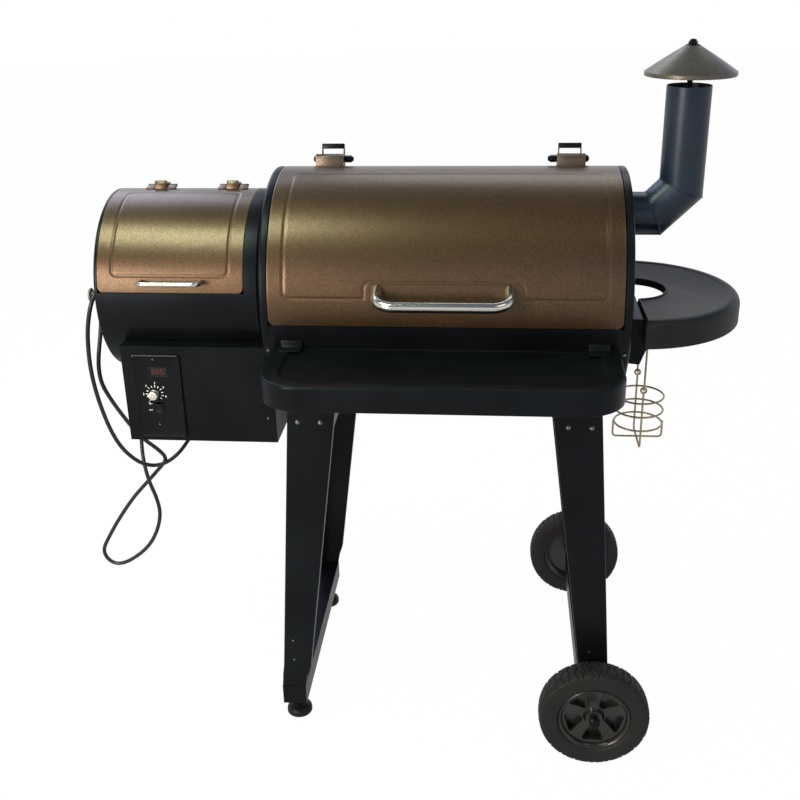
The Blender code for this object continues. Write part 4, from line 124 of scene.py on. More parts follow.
def noise_of(tree, place, per_metre, detail=3.0, roughness=0.55, stretch=None):
    """Noise whose grains are about 1/per_metre metres wide; stretch scales the place per axis."""
    if stretch:
        place = add_node(tree, "ShaderNodeMapping", Vector=place, Scale=stretch).outputs["Vector"]
    return add_node(tree, "ShaderNodeTexNoise", Vector=place, Scale=per_metre, Detail=detail,
                    Roughness=roughness).outputs["Fac"]


def ramp_of(tree, factor, stops):
    """Colour ramp through (position, colour or grey value) stops."""
    node = add_node(tree, "ShaderNodeValToRGB", Fac=factor)
    ramp = node.color_ramp
    while len(ramp.elements) < len(stops):
        ramp.elements.new(0.5)
    for element, (position, value) in zip(ramp.elements, stops):
        element.position = position
        element.color = linear(value) if isinstance(value, str) else (value, value, value, 1.0)
    return node.outputs["Color"]


def bump_of(tree, height, distance, strength):
    """Normal of a surface raised by a height, in metres at full strength."""
    return add_node(tree, "ShaderNodeBump", Height=height, Distance=distance,
                    Strength=strength).outputs["Normal"]


def coated_black(name="satin_black_coat", dark="#090b0d", pale="#0f1215", sheen=0.14):
    """Satin powder coat: near-black with a cool tone, reflections tinted blue as painted cool light, orange peel a
    millimetre wide and softly uneven gloss.
    """
    # the blue Specular Tint colours every reflection: painted cool light from the left
    made, tree, shader = new_finish(name, dark, 0.4, Specular__IOR__Level=sheen,
                                    Specular__Tint=linear("#d6e2f4"))
    place = place_of(tree)
    cloud = noise_of(tree, place, 9.0)
    tree.links.new(ramp_of(tree, cloud, [(0.3, dark), (0.7, pale)]), shader.inputs["Base Color"])
    tree.links.new(ramp_of(tree, cloud, [(0.3, 0.30), (0.7, 0.38)]), shader.inputs["Roughness"])
    peel = noise_of(tree, place, 900.0, 2.0)
    tree.links.new(bump_of(tree, peel, 0.00006, 0.5), shader.inputs["Normal"])
    return made


def coated_bronze(name="bronze_coat", dark="#44321c", pale="#4c3822"):
    """Metallic bronze powder coat: fine bright and dark flakes in a brown ground under a clear coat."""
    made, tree, shader = new_finish(name, dark, 0.38, 0.7, Coat__Weight=0.3, Coat__Roughness=0.28)
    place = place_of(tree)
    flakes = add_node(tree, "ShaderNodeTexVoronoi", Vector=place, Scale=950.0).outputs["Color"]
    tone = add_node(tree, "ShaderNodeSeparateColor", Color=flakes).outputs["Red"]
    cloud = noise_of(tree, place, 6.0)
    ground = ramp_of(tree, cloud, [(0.3, dark), (0.7, pale)])
    fleck = ramp_of(tree, tone, [(0.0, 0.5), (0.5, 1.0), (1.0, 1.6)])
    mixed = add_node(tree, "ShaderNodeMix", data_type="RGBA", blend_type="MULTIPLY")
    mixed.inputs["Factor"].default_value = 1.0
    tree.links.new(ground, mixed.inputs[6])
    tree.links.new(fleck, mixed.inputs[7])
    tree.links.new(mixed.outputs[2], shader.inputs["Base Color"])
    tree.links.new(ramp_of(tree, tone, [(0.0, 0.44), (1.0, 0.33)]), shader.inputs["Roughness"])
    tree.links.new(bump_of(tree, noise_of(tree, place, 1400.0, 2.0), 0.00004, 0.4), shader.inputs["Normal"])
    return made


def brushed_stainless(name="brushed_stainless", colour="#c9c4ba", roughness=0.2, along=(1.0, 40.0, 40.0)):
    """Bright stainless with fine lines along the bar."""
    made, tree, shader = new_finish(name, colour, roughness, 1.0)
    place = place_of(tree)
    lines = noise_of(tree, place, 60.0, 4.0, 0.6, along)
    tree.links.new(ramp_of(tree, lines, [(0.2, roughness * 0.75), (0.8, roughness * 1.3)]),
                   shader.inputs["Roughness"])
    tree.links.new(bump_of(tree, lines, 0.00002, 0.4), shader.inputs["Normal"])
    return made


def moulded(name, dark, pale, roughness, grain_mm=0.8, depth=0.00006, sheen=0.5):
    """Moulded plastic: fine pebble grain and slightly uneven tone."""
    made, tree, shader = new_finish(name, dark, roughness, Specular__IOR__Level=sheen)
    place = place_of(tree)
    tree.links.new(ramp_of(tree, noise_of(tree, place, 14.0), [(0.3, dark), (0.7, pale)]),
                   shader.inputs["Base Color"])
    grain = noise_of(tree, place, 1000.0 / grain_mm, 2.0)
    tree.links.new(ramp_of(tree, grain, [(0.3, roughness - 0.06), (0.7, roughness + 0.06)]),
                   shader.inputs["Roughness"])
    tree.links.new(bump_of(tree, grain, depth, 0.6), shader.inputs["Normal"])
    return made


def red_figures():
    """Dim red light, a little uneven."""
    made, tree, shader = new_finish("red_figures", "#3a0508", 0.3, Emission__Strength=0.34)
    glow = noise_of(tree, place_of(tree), 400.0, 1.0)
    tree.links.new(ramp_of(tree, glow, [(0.3, "#b01018"), (0.7, "#e0202a")]), shader.inputs["Emission Color"])
    return made


def white_print():
    """Printed white with fine specks."""
    made, tree, shader = new_finish("white_print", "#f2f2ef", 0.5)
    specks = noise_of(tree, place_of(tree), 1800.0, 2.0)
    tree.links.new(ramp_of(tree, specks, [(0.3, "#dddedb"), (0.6, "#f8f8f6")]), shader.inputs["Base Color"])
    return made


FINISHES = {
    "black_steel": coated_black(),
    "bronze_steel": coated_bronze(),
    "stainless": brushed_stainless(),
    "black_plastic": moulded("black_plastic", "#0d0d0e", "#131314", 0.42, sheen=0.2),
    "charcoal_plastic": moulded("charcoal_plastic", "#121415", "#191b1c", 0.45, 1.0, sheen=0.2),
    "grey_plastic": moulded("grey_plastic", "#6e706d", "#7c7e7a", 0.45),
    # bluer copy of the black coat for the chimney and its flange bolts: its blue is a painted reflection of cool
    # window light
    "blued_black": coated_black("blued_black_coat", "#0f1824", "#15202e", 0.5),
    "enamel": moulded("porcelain_enamel", "#0f1011", "#17181a", 0.22, 2.5, 0.00004),
    "galvanised": brushed_stainless("galvanised_sheet", "#85898c", 0.5, (1.0, 1.0, 1.0)),
    "cord_sheath": moulded("cord_sheath", "#101012", "#17171a", 0.38, 0.6, 0.00004),
    "tyre_rubber": moulded("tyre_rubber", "#131413", "#1b1c1b", 0.6, 0.6, 0.0001, 0.25),
    "bolt_steel": brushed_stainless("plated_bolts", "#77797c", 0.22, (1.0, 1.0, 1.0)),
    "bronze_wire": brushed_stainless("bronze_wire", "#a8997c", 0.3, (1.0, 1.0, 1.0)),
    "hinge_bronze": coated_bronze("hinge_bronze_coat", "#4a3d33", "#52463c"),
    # greyer copy of the bronze coat for the rain cap: a painted grey sheen of the light above
    "aged_bronze": coated_bronze("aged_bronze_coat", "#4d4840", "#56514a"),
    "hub_plastic": moulded("hub_plastic", "#141513", "#1b1c19", 0.27, 1.2, sheen=0.5),
    "turned_silver": brushed_stainless("turned_silver", "#efece2", 0.3, (1.0, 1.0, 1.0)),
    # pale metal strip on the controller plate's top edge: a painted glint
    "rubbed_edge": brushed_stainless("rubbed_edge", "#83868a", 0.3, (30.0, 1.0, 1.0)),
    "display": moulded("smoked_window", "#0a0a0c", "#101013", 0.1, 3.0, 0.00001),
    "red_figures": red_figures(),
    "white_print": white_print(),
}


# ---------------------------------------------------------------- camera, floor and light

CEILING = 0.22             # brightness of the surround straight above, in reflections
FLOOR_MIRRORED = 0.68      # brightness of the floor in reflections
LENS_MM = 47.25
LENS_SHIFT = (-0.0016, -0.0170)
YAW, PITCH, ROLL = 0.0940, 0.3957, -0.0196
EYE = Vector((0.0842, -1.8716, 1.4181))


def mesh_object(name, bm):
    """Object made of a bmesh, which is then freed."""
    mesh = bpy.data.meshes.new(name)
    bm.to_mesh(mesh)
    bm.free()
    obj = bpy.data.objects.new(name, mesh)
    bpy.context.collection.objects.link(obj)
    return obj


def seen_as_backdrop(tree):
    """1 for rays that come straight from the camera, from a glossy surface or through glass, else 0."""
    path = add_node(tree, "ShaderNodeLightPath")
    both = add_node(tree, "ShaderNodeMath", operation="MAXIMUM", in0=path.outputs["Is Camera Ray"],
                    in1=path.outputs["Is Glossy Ray"])
    return add_node(tree, "ShaderNodeMath", operation="MAXIMUM", in0=both.outputs[0],
                    in1=path.outputs["Is Transmission Ray"]).outputs[0]


def standing_view():
    """Camera at standing height, a little right of the barrel's middle and turned slightly left."""
    lens = bpy.data.cameras.new("standing_view")
    lens.sensor_width = 36.0
    lens.lens = LENS_MM
    lens.shift_x, lens.shift_y = LENS_SHIFT
    camera = bpy.data.objects.new("standing_view", lens)
    bpy.context.collection.objects.link(camera)
    ahead = Vector((-math.sin(YAW) * math.cos(PITCH), math.cos(YAW) * math.cos(PITCH), -math.sin(PITCH)))
    right = Vector((math.cos(YAW), math.sin(YAW), 0.0))
    up = right.cross(ahead)
    turn = Matrix.Rotation(-ROLL, 3, ahead)
    pose = Matrix((turn @ right, turn @ up, -ahead)).transposed().to_4x4()
    pose.translation = EYE + SHIFT
    camera.matrix_world = pose
    bpy.context.scene.camera = camera


def pale_floor():
    """Plain pale floor that reads as white, and is dimmer where it is mirrored."""
    bm = bmesh.new()
    bmesh.ops.create_circle(bm, cap_ends=True, radius=14.0, segments=64)
    floor = mesh_object("floor", bm)
    made, tree, shader = new_finish("pale_floor", "#f4f4f4", 0.9, Specular__IOR__Level=0.1)
    tree.links.new(ramp_of(tree, noise_of(tree, place_of(tree), 3.0), [(0.0, "#f2f2f2"), (1.0, "#f6f6f6")]),
                   shader.inputs["Base Color"])
    path = add_node(tree, "ShaderNodeLightPath")
    level = add_node(tree, "ShaderNodeMapRange", Value=path.outputs["Is Glossy Ray"])
    level.inputs["To Min"].default_value, level.inputs["To Max"].default_value = 1.0, FLOOR_MIRRORED
    glow = add_node(tree, "ShaderNodeEmission", Color=(1, 1, 1, 1), Strength=level.outputs[0])
    share = add_node(tree, "ShaderNodeMath", operation="MULTIPLY", in0=seen_as_backdrop(tree), in1=0.985)
    blend = add_node(tree, "ShaderNodeMixShader", in0=share.outputs[0], in1=shader.outputs[0],
                     in2=glow.outputs[0])
    tree.links.new(blend.outputs[0], tree.nodes["Material Output"].inputs["Surface"])
    floor.data.materials.append(made)


def light(name, place, aim, size, power, colour):
    """Rectangular lamp at a place, turned to an aim."""
    lamp = bpy.data.lights.new(name, "AREA")
    lamp.shape = "RECTANGLE"
    lamp.size, lamp.size_y = size
    lamp.energy = power
    lamp.color = linear(colour)[:3]
    obj = bpy.data.objects.new(name, lamp)
    bpy.context.collection.objects.link(obj)
    obj.location = place
    obj.rotation_euler = (Vector(aim) - Vector(place)).to_track_quat("-Z", "Y").to_euler()


def surround():
    """Surround: seen as white, mirrored as white walls under a dim ceiling, and a soft grey as light."""
    world = bpy.data.worlds.new("studio")
    bpy.context.scene.world = world
    world.use_nodes = True
    tree = world.node_tree
    back = tree.nodes["Background"]
    way = add_node(tree, "ShaderNodeTexCoord").outputs["Generated"]
    height = add_node(tree, "ShaderNodeSeparateXYZ", Vector=way).outputs["Z"]
    wall = add_node(tree, "ShaderNodeMapRange", Value=height, interpolation_type="SMOOTHSTEP")
    for socket, value in (("From Min", 0.30), ("From Max", 0.75), ("To Min", 1.0), ("To Max", CEILING)):
        wall.inputs[socket].default_value = value
    white = add_node(tree, "ShaderNodeBackground", Color=(1, 1, 1, 1), Strength=1.0)
    cool = add_node(tree, "ShaderNodeMapRange", Value=height, interpolation_type="SMOOTHSTEP")
    cool.inputs["From Min"].default_value, cool.inputs["From Max"].default_value = 0.22, 0.45
    tint = ramp_of(tree, cool.outputs[0], [(0.0, "#ffffff"), (1.0, "#c4d2f4")])
    mirrored = add_node(tree, "ShaderNodeBackground", Color=tint, Strength=wall.outputs[0])
    back.inputs["Color"].default_value = linear("#eef0f2")
    back.inputs["Strength"].default_value = 0.5
    path = add_node(tree, "ShaderNodeLightPath")
    glossy = add_node(tree, "ShaderNodeMixShader", in0=path.outputs["Is Glossy Ray"], in1=back.outputs[0],
                      in2=mirrored.outputs[0])
    direct = add_node(tree, "ShaderNodeMath", operation="MAXIMUM", in0=path.outputs["Is Camera Ray"],
                      in1=path.outputs["Is Transmission Ray"])
    mixed = add_node(tree, "ShaderNodeMixShader", in0=direct.outputs[0], in1=glossy.outputs[0],
                     in2=white.outputs[0])
    tree.links.new(mixed.outputs[0], tree.nodes["World Output"].inputs["Surface"])


standing_view()
pale_floor()
surround()
bpy.context.scene.view_settings.view_transform = "Standard"
light("left_overhead", (-1.12, -0.85, 3.0), (-0.5, 0.0, 0.9), (1.0, 0.8), 50, "#ebffdf")
light("left_behind", (-1.6, 1.6, 2.6), (-0.4, 0.0, 0.95), (1.6, 1.4), 26, "#dfe8ff")
light("left_window", (-1.75, -2.5, 1.45), (-0.5, 0.0, 0.85), (0.9, 1.3), 78, "#ffe9d6")
light("right_fill", (1.5, -1.1, 3.0), (0.2, 0.0, 0.9), (1.4, 1.2), 9, "#fff8e8")
light("behind_overhead", (0.5, 1.9, 2.9), (0.1, 0.0, 1.0), (2.2, 1.0), 19, "#eef2f2")


# ---------------------------------------------------------------- tools for finished pieces

def add_piece(name, bm, slot, body="grill_body", stands_for=(), smooth=32.0, soften=0.0, finish=None):
    """Give a bmesh made in the barrel's frame its finish and its body; soften rounds its edges in metres."""
    bmesh.ops.remove_doubles(bm, verts=bm.verts[:], dist=1e-6)
    obj = placed_object(name, bm)
    if soften:
        soften_edges(obj, soften)
    wear(obj, FINISHES[finish or slot])
    smooth_below(obj, smooth)
    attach(obj, body)
    if stands_for:
        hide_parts(*stands_for)
    return obj


def placed_object(name, bm):
    """Object of a bmesh made in the barrel's frame, with its faces turned outward."""
    bmesh.ops.recalc_face_normals(bm, faces=bm.faces[:])
    bmesh.ops.translate(bm, verts=bm.verts[:], vec=SHIFT)
    return mesh_object(name, bm)


def wear(obj, finish):
    """Give an object one material in place of those it has."""
    obj.data.materials.clear()
    obj.data.materials.append(finish)


def smooth_below(obj, degrees):
    """Smooth shading, with a sharp edge where faces turn by more than the angle."""
    obj.data.shade_smooth()
    obj.data.set_sharp_from_angle(angle=math.radians(degrees))


def bake(obj):
    """Turn an object's modifiers into its own plain mesh."""
    bpy.context.view_layer.update()
    evaluated = obj.evaluated_get(bpy.context.evaluated_depsgraph_get())
    old = obj.data
    obj.data = bpy.data.meshes.new_from_object(evaluated)
    obj.modifiers.clear()
    bpy.data.meshes.remove(old)


def soften_edges(obj, width, mitre="MITER_ARC"):
    """Round the edges that turn by more than 38 degrees."""
    edge = obj.modifiers.new("soft_edges", "BEVEL")
    edge.width = width
    edge.segments = 2
    edge.limit_method = "ANGLE"
    edge.angle_limit = math.radians(38)
    edge.miter_outer = mitre
    bake(obj)


def carve(obj, cutters, operation="DIFFERENCE"):
    """Cut bmesh bodies made in the barrel's frame from a finished piece, or join them to it."""
    finish = obj.data.materials[0]
    bodies = [placed_object("cutter", bm) for bm in cutters]
    for cutter in bodies:
        step = obj.modifiers.new("carve", "BOOLEAN")
        step.operation = operation
        step.solver = "EXACT"
        step.object = cutter
    bake(obj)
    for cutter in bodies:
        bpy.data.objects.remove(cutter, do_unlink=True)
    wear(obj, finish)
    smooth_below(obj, 32)


# ---------------------------------------------------------------- sheet, bar and turned-part tools

def turns(count, start=0.0):
    """Angles of a full turn in even steps; start is in steps."""
    return [2 * math.pi * (k + start) / count for k in range(count)]


def quarter(steps, first=0):
    """Angles from 0 to a right angle in even steps, from the first step on."""
    return [math.radians(90 * k / steps) for k in range(first, steps + 1)]


def hexagon(middle, radius, degrees=0.0):
    """Six corners about a flat point, turned by some degrees."""
    return [(middle[0] + radius * math.cos(math.radians(60 * k + degrees)),
             middle[1] + radius * math.sin(math.radians(60 * k + degrees))) for k in range(6)]


def bridge(bm, first, second, closed=True):
    """Faces between two rows of points."""
    count = len(first)
    for i in range(count if closed else count - 1):
        j = (i + 1) % count
        bm.faces.new((first[i], first[j], second[j], second[i]))


def skin(bm, rings, closed=False):
    """Faces through rings of points, with a cap at each end or closed into a loop."""
    if not closed:
        bm.faces.new(rings[0])
        bm.faces.new(rings[-1])
    for first, second in zip(rings, rings[1:] + (rings[:1] if closed else [])):
        bridge(bm, first, second)


def frame_of(axis):
    """Unit vectors (u, v, w) with w along the axis X, Y or Z."""
    if axis == "X":
        return Vector((0, -1, 0)), Vector((0, 0, 1)), Vector((1, 0, 0))
    if axis == "Y":
        return Vector((1, 0, 0)), Vector((0, 0, 1)), Vector((0, 1, 0))
    return Vector((1, 0, 0)), Vector((0, 1, 0)), Vector((0, 0, 1))


def turn_profile(bm, axis, centre, profile, sides, closed=False):
    """Revolve (along, radius) points; radius 0 makes a pole."""
    u, v, w = frame_of(axis)
    centre = Vector(centre)
    rings = []
    for along, radius in profile:
        if radius < 1e-7:
            rings.append(bm.verts.new(centre + w * along))
            continue
        rings.append([bm.verts.new(centre + w * along + (u * math.cos(t) + v * math.sin(t)) * radius)
                      for t in turns(sides)])
    pairs = list(zip(rings, rings[1:])) + ([(rings[-1], rings[0])] if closed else [])
    for first, second in pairs:
        if isinstance(first, list) and isinstance(second, list):
            bridge(bm, first, second)
        elif isinstance(first, list) or isinstance(second, list):
            pole, ring = (second, first) if isinstance(first, list) else (first, second)
            for i in range(sides):
                bm.faces.new((pole, ring[i], ring[(i + 1) % sides]))
    if not closed:
        for ring in (rings[0], rings[-1]):
            if isinstance(ring, list):
                bm.faces.new(ring)
    return bm


def rounded(points, radius, steps):
    """Flat outline with each corner turned into an arc; radius is one value or one per corner."""
    count = len(points)
    radii = radius if isinstance(radius, (list, tuple)) else [radius] * count
    made = []
    for i, point in enumerate(points):
        here = Vector(point)
        if radii[i] <= 0:
            made.append(tuple(here))
            continue
        before, after = Vector(points[i - 1]) - here, Vector(points[(i + 1) % count]) - here
        half_turn = before.angle(after) / 2
        reach = min(radii[i] / max(1e-6, math.tan(half_turn)), before.length * 0.49, after.length * 0.49)
        r = reach * math.tan(half_turn)
        a, b = here + before.normalized() * reach, here + after.normalized() * reach
        middle = here + (before.normalized() + after.normalized()).normalized() * (r / math.sin(half_turn))
        start, end = a - middle, b - middle
        swing = math.atan2(start.x * end.y - start.y * end.x, start.dot(end))
        for k in range(steps + 1):
            t = swing * k / steps
            made.append((middle.x + start.x * math.cos(t) - start.y * math.sin(t),
                         middle.y + start.x * math.sin(t) + start.y * math.cos(t)))
    return made


def extrude(bm, axis, outline, start, end):
    """Prism of a flat outline: X takes (y, z), Y takes (x, z), Z takes (x, y)."""
    place = {"X": lambda p, w: (w, p[0], p[1]),
             "Y": lambda p, w: (p[0], w, p[1]),
             "Z": lambda p, w: (p[0], p[1], w)}[axis]
    skin(bm, [[bm.verts.new(place(p, w)) for p in outline] for w in (start, end)])
    return bm


def add_block(bm, low, high):
    """Box between two corners."""
    return extrude(bm, "Z", [(low[0], low[1]), (high[0], low[1]), (high[0], high[1]), (low[0], high[1])],
                   low[2], high[2])


def sweep(bm, points, radius, sides, closed=False):
    """Round bar along points."""
    points = [Vector(p) for p in points]
    count = len(points)
    rings, side = [], None
    for i, point in enumerate(points):
        before = points[i - 1] if closed or i else point
        after = points[(i + 1) % count] if closed or i < count - 1 else point
        along = (after - before).normalized()
        if side is None:
            side = along.orthogonal().normalized()
        side = (side - along * side.dot(along)).normalized()
        cross = along.cross(side)
        rings.append([bm.verts.new(point + (side * math.cos(t) + cross * math.sin(t)) * radius)
                      for t in turns(sides)])
    if closed:
        nearest = min(range(sides), key=lambda k: (rings[0][k].co - rings[-1][0].co).length)
        rings.append(rings[0][nearest:] + rings[0][:nearest])
        for first, second in zip(rings, rings[1:]):
            bridge(bm, first, second)
    else:
        skin(bm, rings)
    return bm


def tray(outline, outside, inside):
    """Upturned tray of sheet: two skins through (inset, z) levels; outline(inset) gives (x, y) points."""
    bm = bmesh.new()
    mouths = []
    for levels in (outside, inside):
        rings = [[bm.verts.new((x, y, z)) for x, y in outline(inset)] for inset, z in levels]
        bm.faces.new(rings[-1])
        for first, second in zip(rings, rings[1:]):
            bridge(bm, first, second)
        mouths.append(rings[0])
    bridge(bm, *mouths)
    return bm


def on_ring(radius, angle, rise=0.0):
    """(y, z) on the barrel's or hopper's round skin; angle 0 faces the front, 90 is the top."""
    turn = math.radians(angle)
    return -(radius + rise) * math.cos(turn), BARREL_AXIS_Z + (radius + rise) * math.sin(turn)


def out_of(angle):
    """Way out of the round skin at an angle."""
    turn = math.radians(angle)
    return Vector((0.0, -math.cos(turn), math.sin(turn)))


def about_pivot(pivot, angle, points):
    """Place (across, out) points, out along the ring's normal at the pivot, in (y, z)."""
    turn = math.radians(angle)
    out, ahead = Vector((-math.cos(turn), math.sin(turn))), Vector((-math.sin(turn), -math.cos(turn)))
    return [tuple(Vector(pivot) + ahead * p[0] + out * p[1]) for p in points]


def bar(axis, centre, radius, start, end, sides=48):
    """Plain round body, to cut with."""
    return turn_profile(bmesh.new(), axis, centre, [(start, radius), (end, radius)], sides)


def round_body(radius, start=-0.6, end=0.6):
    """Fine round body about the barrel's axis, to fit a piece to its skin."""
    return bar("X", (0, 0, BARREL_AXIS_Z), radius, start, end, 256)


def dome(bm, base, out, radius, height):
    """Low rivet head on a surface point, rising along its normal."""
    sides, u = 20, out.orthogonal().normalized()
    v = out.cross(u)
    rings = [[bm.verts.new(base + out * height * math.sin(t)
                           + (u * math.cos(a) + v * math.sin(a)) * radius * math.cos(t)) for a in turns(sides)]
             for t in (math.pi / 2 * k / 5 for k in range(5))]
    bm.faces.new(rings[0])
    for first, second in zip(rings, rings[1:]):
        bridge(bm, first, second)
    tip = bm.verts.new(base + out * height)
    for i in range(sides):
        bm.faces.new((rings[-1][i], rings[-1][(i + 1) % sides], tip))


def smooth_step(value, start, end):
    """0 before the start, 1 after the end and a smooth rise between."""
    t = min(1.0, max(0.0, (value - start) / (end - start)))
    return t * t * (3 - 2 * t)


# ---------------------------------------------------------------- barrel and lids

SHEET = 0.002
FACET = math.cos(math.pi / 32)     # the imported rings' flats lie this much nearer the axis than their corners
BARREL_SKIN = BARREL_RADIUS * (1 + FACET) / 2
HOPPER_SKIN = 0.166 * (1 + FACET) / 2
LID_LOW_ANGLE, LID_HIGH_ANGLE = -6.5, 101.0
LID_HALF = BARREL_HALF - 0.001
GROOVE_HALF, GROOVE_DEPTH = 0.0030, 0.0011
HEM = 0.0006                       # the sheet's cut edges roll in over this much
END_FACE = BARREL_HALF + 0.014
HOPPER_LEFT, _, HOPPER_RIGHT = span("hopper_shell", "X")
HOPPER_LID_LOW, HOPPER_LID_HIGH = 6.9, 97.0
HOPPER_HINGE_XS = (HOPPER_LEFT + 0.083, HOPPER_LEFT + 0.218)
HOPPER_HINGE_ANGLE = 99.5
HOPPER_PIVOT = on_ring(HOPPER_SKIN, HOPPER_HINGE_ANGLE, 0.006)
STUB_Z = 0.9745
PIPE_RADIUS, PIPE_BORE = 0.038, 0.0365
SPOUT_Z = 0.692


def pressed_lid(radius, left, right, low, high, groove, columns, rows):
    """Sheet rolled to the ring with rounded front corners and hemmed edges; groove(x, arc) gives its depth."""
    bm = bmesh.new()
    middle, half, corner = (left + right) / 2, (right - left) / 2, 0.012
    arc = math.radians(high - low) * radius
    lines = [arc * j / rows for j in range(rows + 1)] + [corner * k / 8 for k in range(1, 8)]
    lines = sorted(set(lines + [HEM, arc - HEM]))
    across = [-1 + 2 * i / columns for i in range(columns + 1)]
    across = sorted(set(across + [-1 + HEM / half, 1 - HEM / half]))
    outer, inner = [], []
    for s in lines:
        drawn = corner - math.sqrt(max(0.0, corner ** 2 - (corner - min(s, corner)) ** 2))
        angle = low + math.degrees(s / radius)
        top, under = [], []
        for u in across:
            x = middle + (half - drawn) * u
            edge = min(s, arc - s, (1 - abs(u)) * half)
            roll = HEM * (1 - min(1.0, edge / HEM))
            depth = groove(x, s) if edge > 0.004 else 0.0
            y, z = on_ring(radius, angle, -depth - roll)
            top.append(bm.verts.new((x, y, z)))
            y, z = on_ring(radius - SHEET, angle, -depth * 0.9 + roll * 0.5)
            under.append(bm.verts.new((x, y, z)))
        outer.append(top)
        inner.append(under)
    for grid in (outer, inner):
        for first, second in zip(grid, grid[1:]):
            bridge(bm, first, second, closed=False)
    for last in (0, -1):
        bridge(bm, outer[last], inner[last], closed=False)
        bridge(bm, [row[last] for row in outer], [row[last] for row in inner], closed=False)
    return bm


def groove_round(left, right, low, high, notch=None):
    """Depth of a groove round a panel with rounded corners, drawn up by a notch (half width, height) below."""
    def from_box(x, s, half_x, half_s, middle_x, middle_s, r):
        dx, ds = abs(x - middle_x) - half_x + r, abs(s - middle_s) - half_s + r
        outside = math.hypot(max(dx, 0.0), max(ds, 0.0))
        return outside + min(max(dx, ds), 0.0) - r

    middle_x, middle_s, corner = (left + right) / 2, (low + high) / 2, 0.010

    def depth(x, s):
        gap = from_box(x, s, (right - left) / 2, (high - low) / 2, middle_x, middle_s, corner)
        if notch:
            half, height = notch
            gap = max(gap, -from_box(x, s, half, height, 0.0, low, corner))
        t = min(1.0, abs(gap) / GROOVE_HALF)
        return GROOVE_DEPTH * (1 + math.cos(math.pi * t)) / 2

    return depth


def make_main_lid():
    """Lid with a groove round its panel, which steps up over the handle."""
    degree, margin = math.radians(1) * BARREL_SKIN, 0.028
    groove = groove_round(-LID_HALF + margin, LID_HALF - margin, 13.7 * degree, 86.0 * degree,
                          notch=(0.134, 7.8 * degree))
    bm = pressed_lid(BARREL_SKIN, -LID_HALF, LID_HALF, LID_LOW_ANGLE, LID_HIGH_ANGLE, groove,
                     columns=244, rows=180)
    add_piece("main_lid_skin", bm, "bronze_steel", "main_lid", ["main_lid"], 50.0)


def make_hopper_lid():
    """Smaller lid with a groove round its panel."""
    left, right = HOPPER_LEFT + 0.006, HOPPER_RIGHT - 0.025
    degree, margin = math.radians(1) * HOPPER_SKIN, 0.027
    groove = groove_round(left + margin, right - margin, 10.4 * degree, 77.1 * degree)
    bm = pressed_lid(HOPPER_SKIN, left, right, HOPPER_LID_LOW, HOPPER_LID_HIGH, groove,
                     columns=130, rows=120)
    add_piece("hopper_lid_skin", bm, "bronze_steel", "hopper_lid", ["hopper_lid"], 50.0)


def make_barrel_shell():
    """Lower sheet of the barrel with its inward lips under the lid's edges."""
    bm = bmesh.new()
    start, end = LID_HIGH_ANGLE + 0.1, 360 + LID_LOW_ANGLE - 0.1
    inner, lip = BARREL_SKIN - SHEET, BARREL_RADIUS - 0.012
    hem = math.degrees(SHEET / BARREL_SKIN)
    steps = 120
    angles = [start + (end - start) * k / steps for k in range(steps + 1)]
    outline = [on_ring(BARREL_SKIN - 0.0004, start)] + [on_ring(BARREL_SKIN, a) for a in angles[1:-1]]
    outline += [on_ring(BARREL_SKIN - 0.0004, end), on_ring(lip, end), on_ring(lip, end - hem)]
    outline += [on_ring(inner, a) for a in reversed([start + hem] + angles[1:-1] + [end - hem])]
    outline += [on_ring(lip, start + hem), on_ring(lip, start)]
    extrude(bm, "X", outline, -BARREL_HALF, BARREL_HALF)
    add_piece("barrel_sheet", bm, "black_steel", "grill_body", ["barrel_shell"], 30.0)


def make_end_panel(name, side):
    """Pressed disc: flat face, shallow raised ring and a rounded rim that meets the barrel's sheet."""
    edge, rim = 0.006, BARREL_SKIN
    face, dish = END_FACE, END_FACE - 0.0012
    profile = [(BARREL_HALF + 0.0006, rim - SHEET), (BARREL_HALF + 0.0003, rim - 0.0004)]
    profile += [(face - edge + edge * math.sin(t), rim - edge + edge * math.cos(t)) for t in quarter(8)]
    profile += [(face, 0.172), (dish, 0.168), (dish, 0.0), (dish - SHEET, 0.0), (dish - SHEET, 0.169),
                (face - SHEET, 0.173), (face - SHEET, rim - edge)]
    profile += [(face - edge + (edge - SHEET) * math.sin(t), rim - edge + (edge - SHEET) * math.cos(t))
                for t in reversed(quarter(4)[:-1])]
    bm = turn_profile(bmesh.new(), "X", (0, 0, BARREL_AXIS_Z), [(side * x, r) for x, r in profile], 160,
                      closed=True)
    panel = add_piece("end_disc_" + name, bm, "black_steel", "grill_body", ["end_panel_" + name], 30.0)
    through = (side * face - 0.01, side * face + 0.01)
    if side > 0:
        trough = [(-0.0265, 0.7425), (-0.0065, 0.6915), (0.0065, 0.6915), (0.0265, 0.7425)]
        carve(panel, [bar("X", (0, 0, STUB_Z), PIPE_BORE, *through),
                      extrude(bmesh.new(), "X", trough, *through)])
    else:
        carve(panel, [bar("X", (0, 0, 0.690), 0.0243, *through),
                      bar("X", (0, 0.060, 0.672), 0.0115, *through, 32)])
    rail_z, rail_half, wall = 0.8097, 0.153, side * (face - 0.002)
    rail = bmesh.new()
    for inward, low, high in ((0.018, rail_z - SHEET, rail_z), (0.006, rail_z - 0.020, rail_z - 0.001)):
        start, end = sorted((wall, side * (face - inward)))
        add_block(rail, (start, -rail_half, low), (end, rail_half, high))
    add_piece("grate_rail_" + name, rail, "black_steel", soften=0.0004)


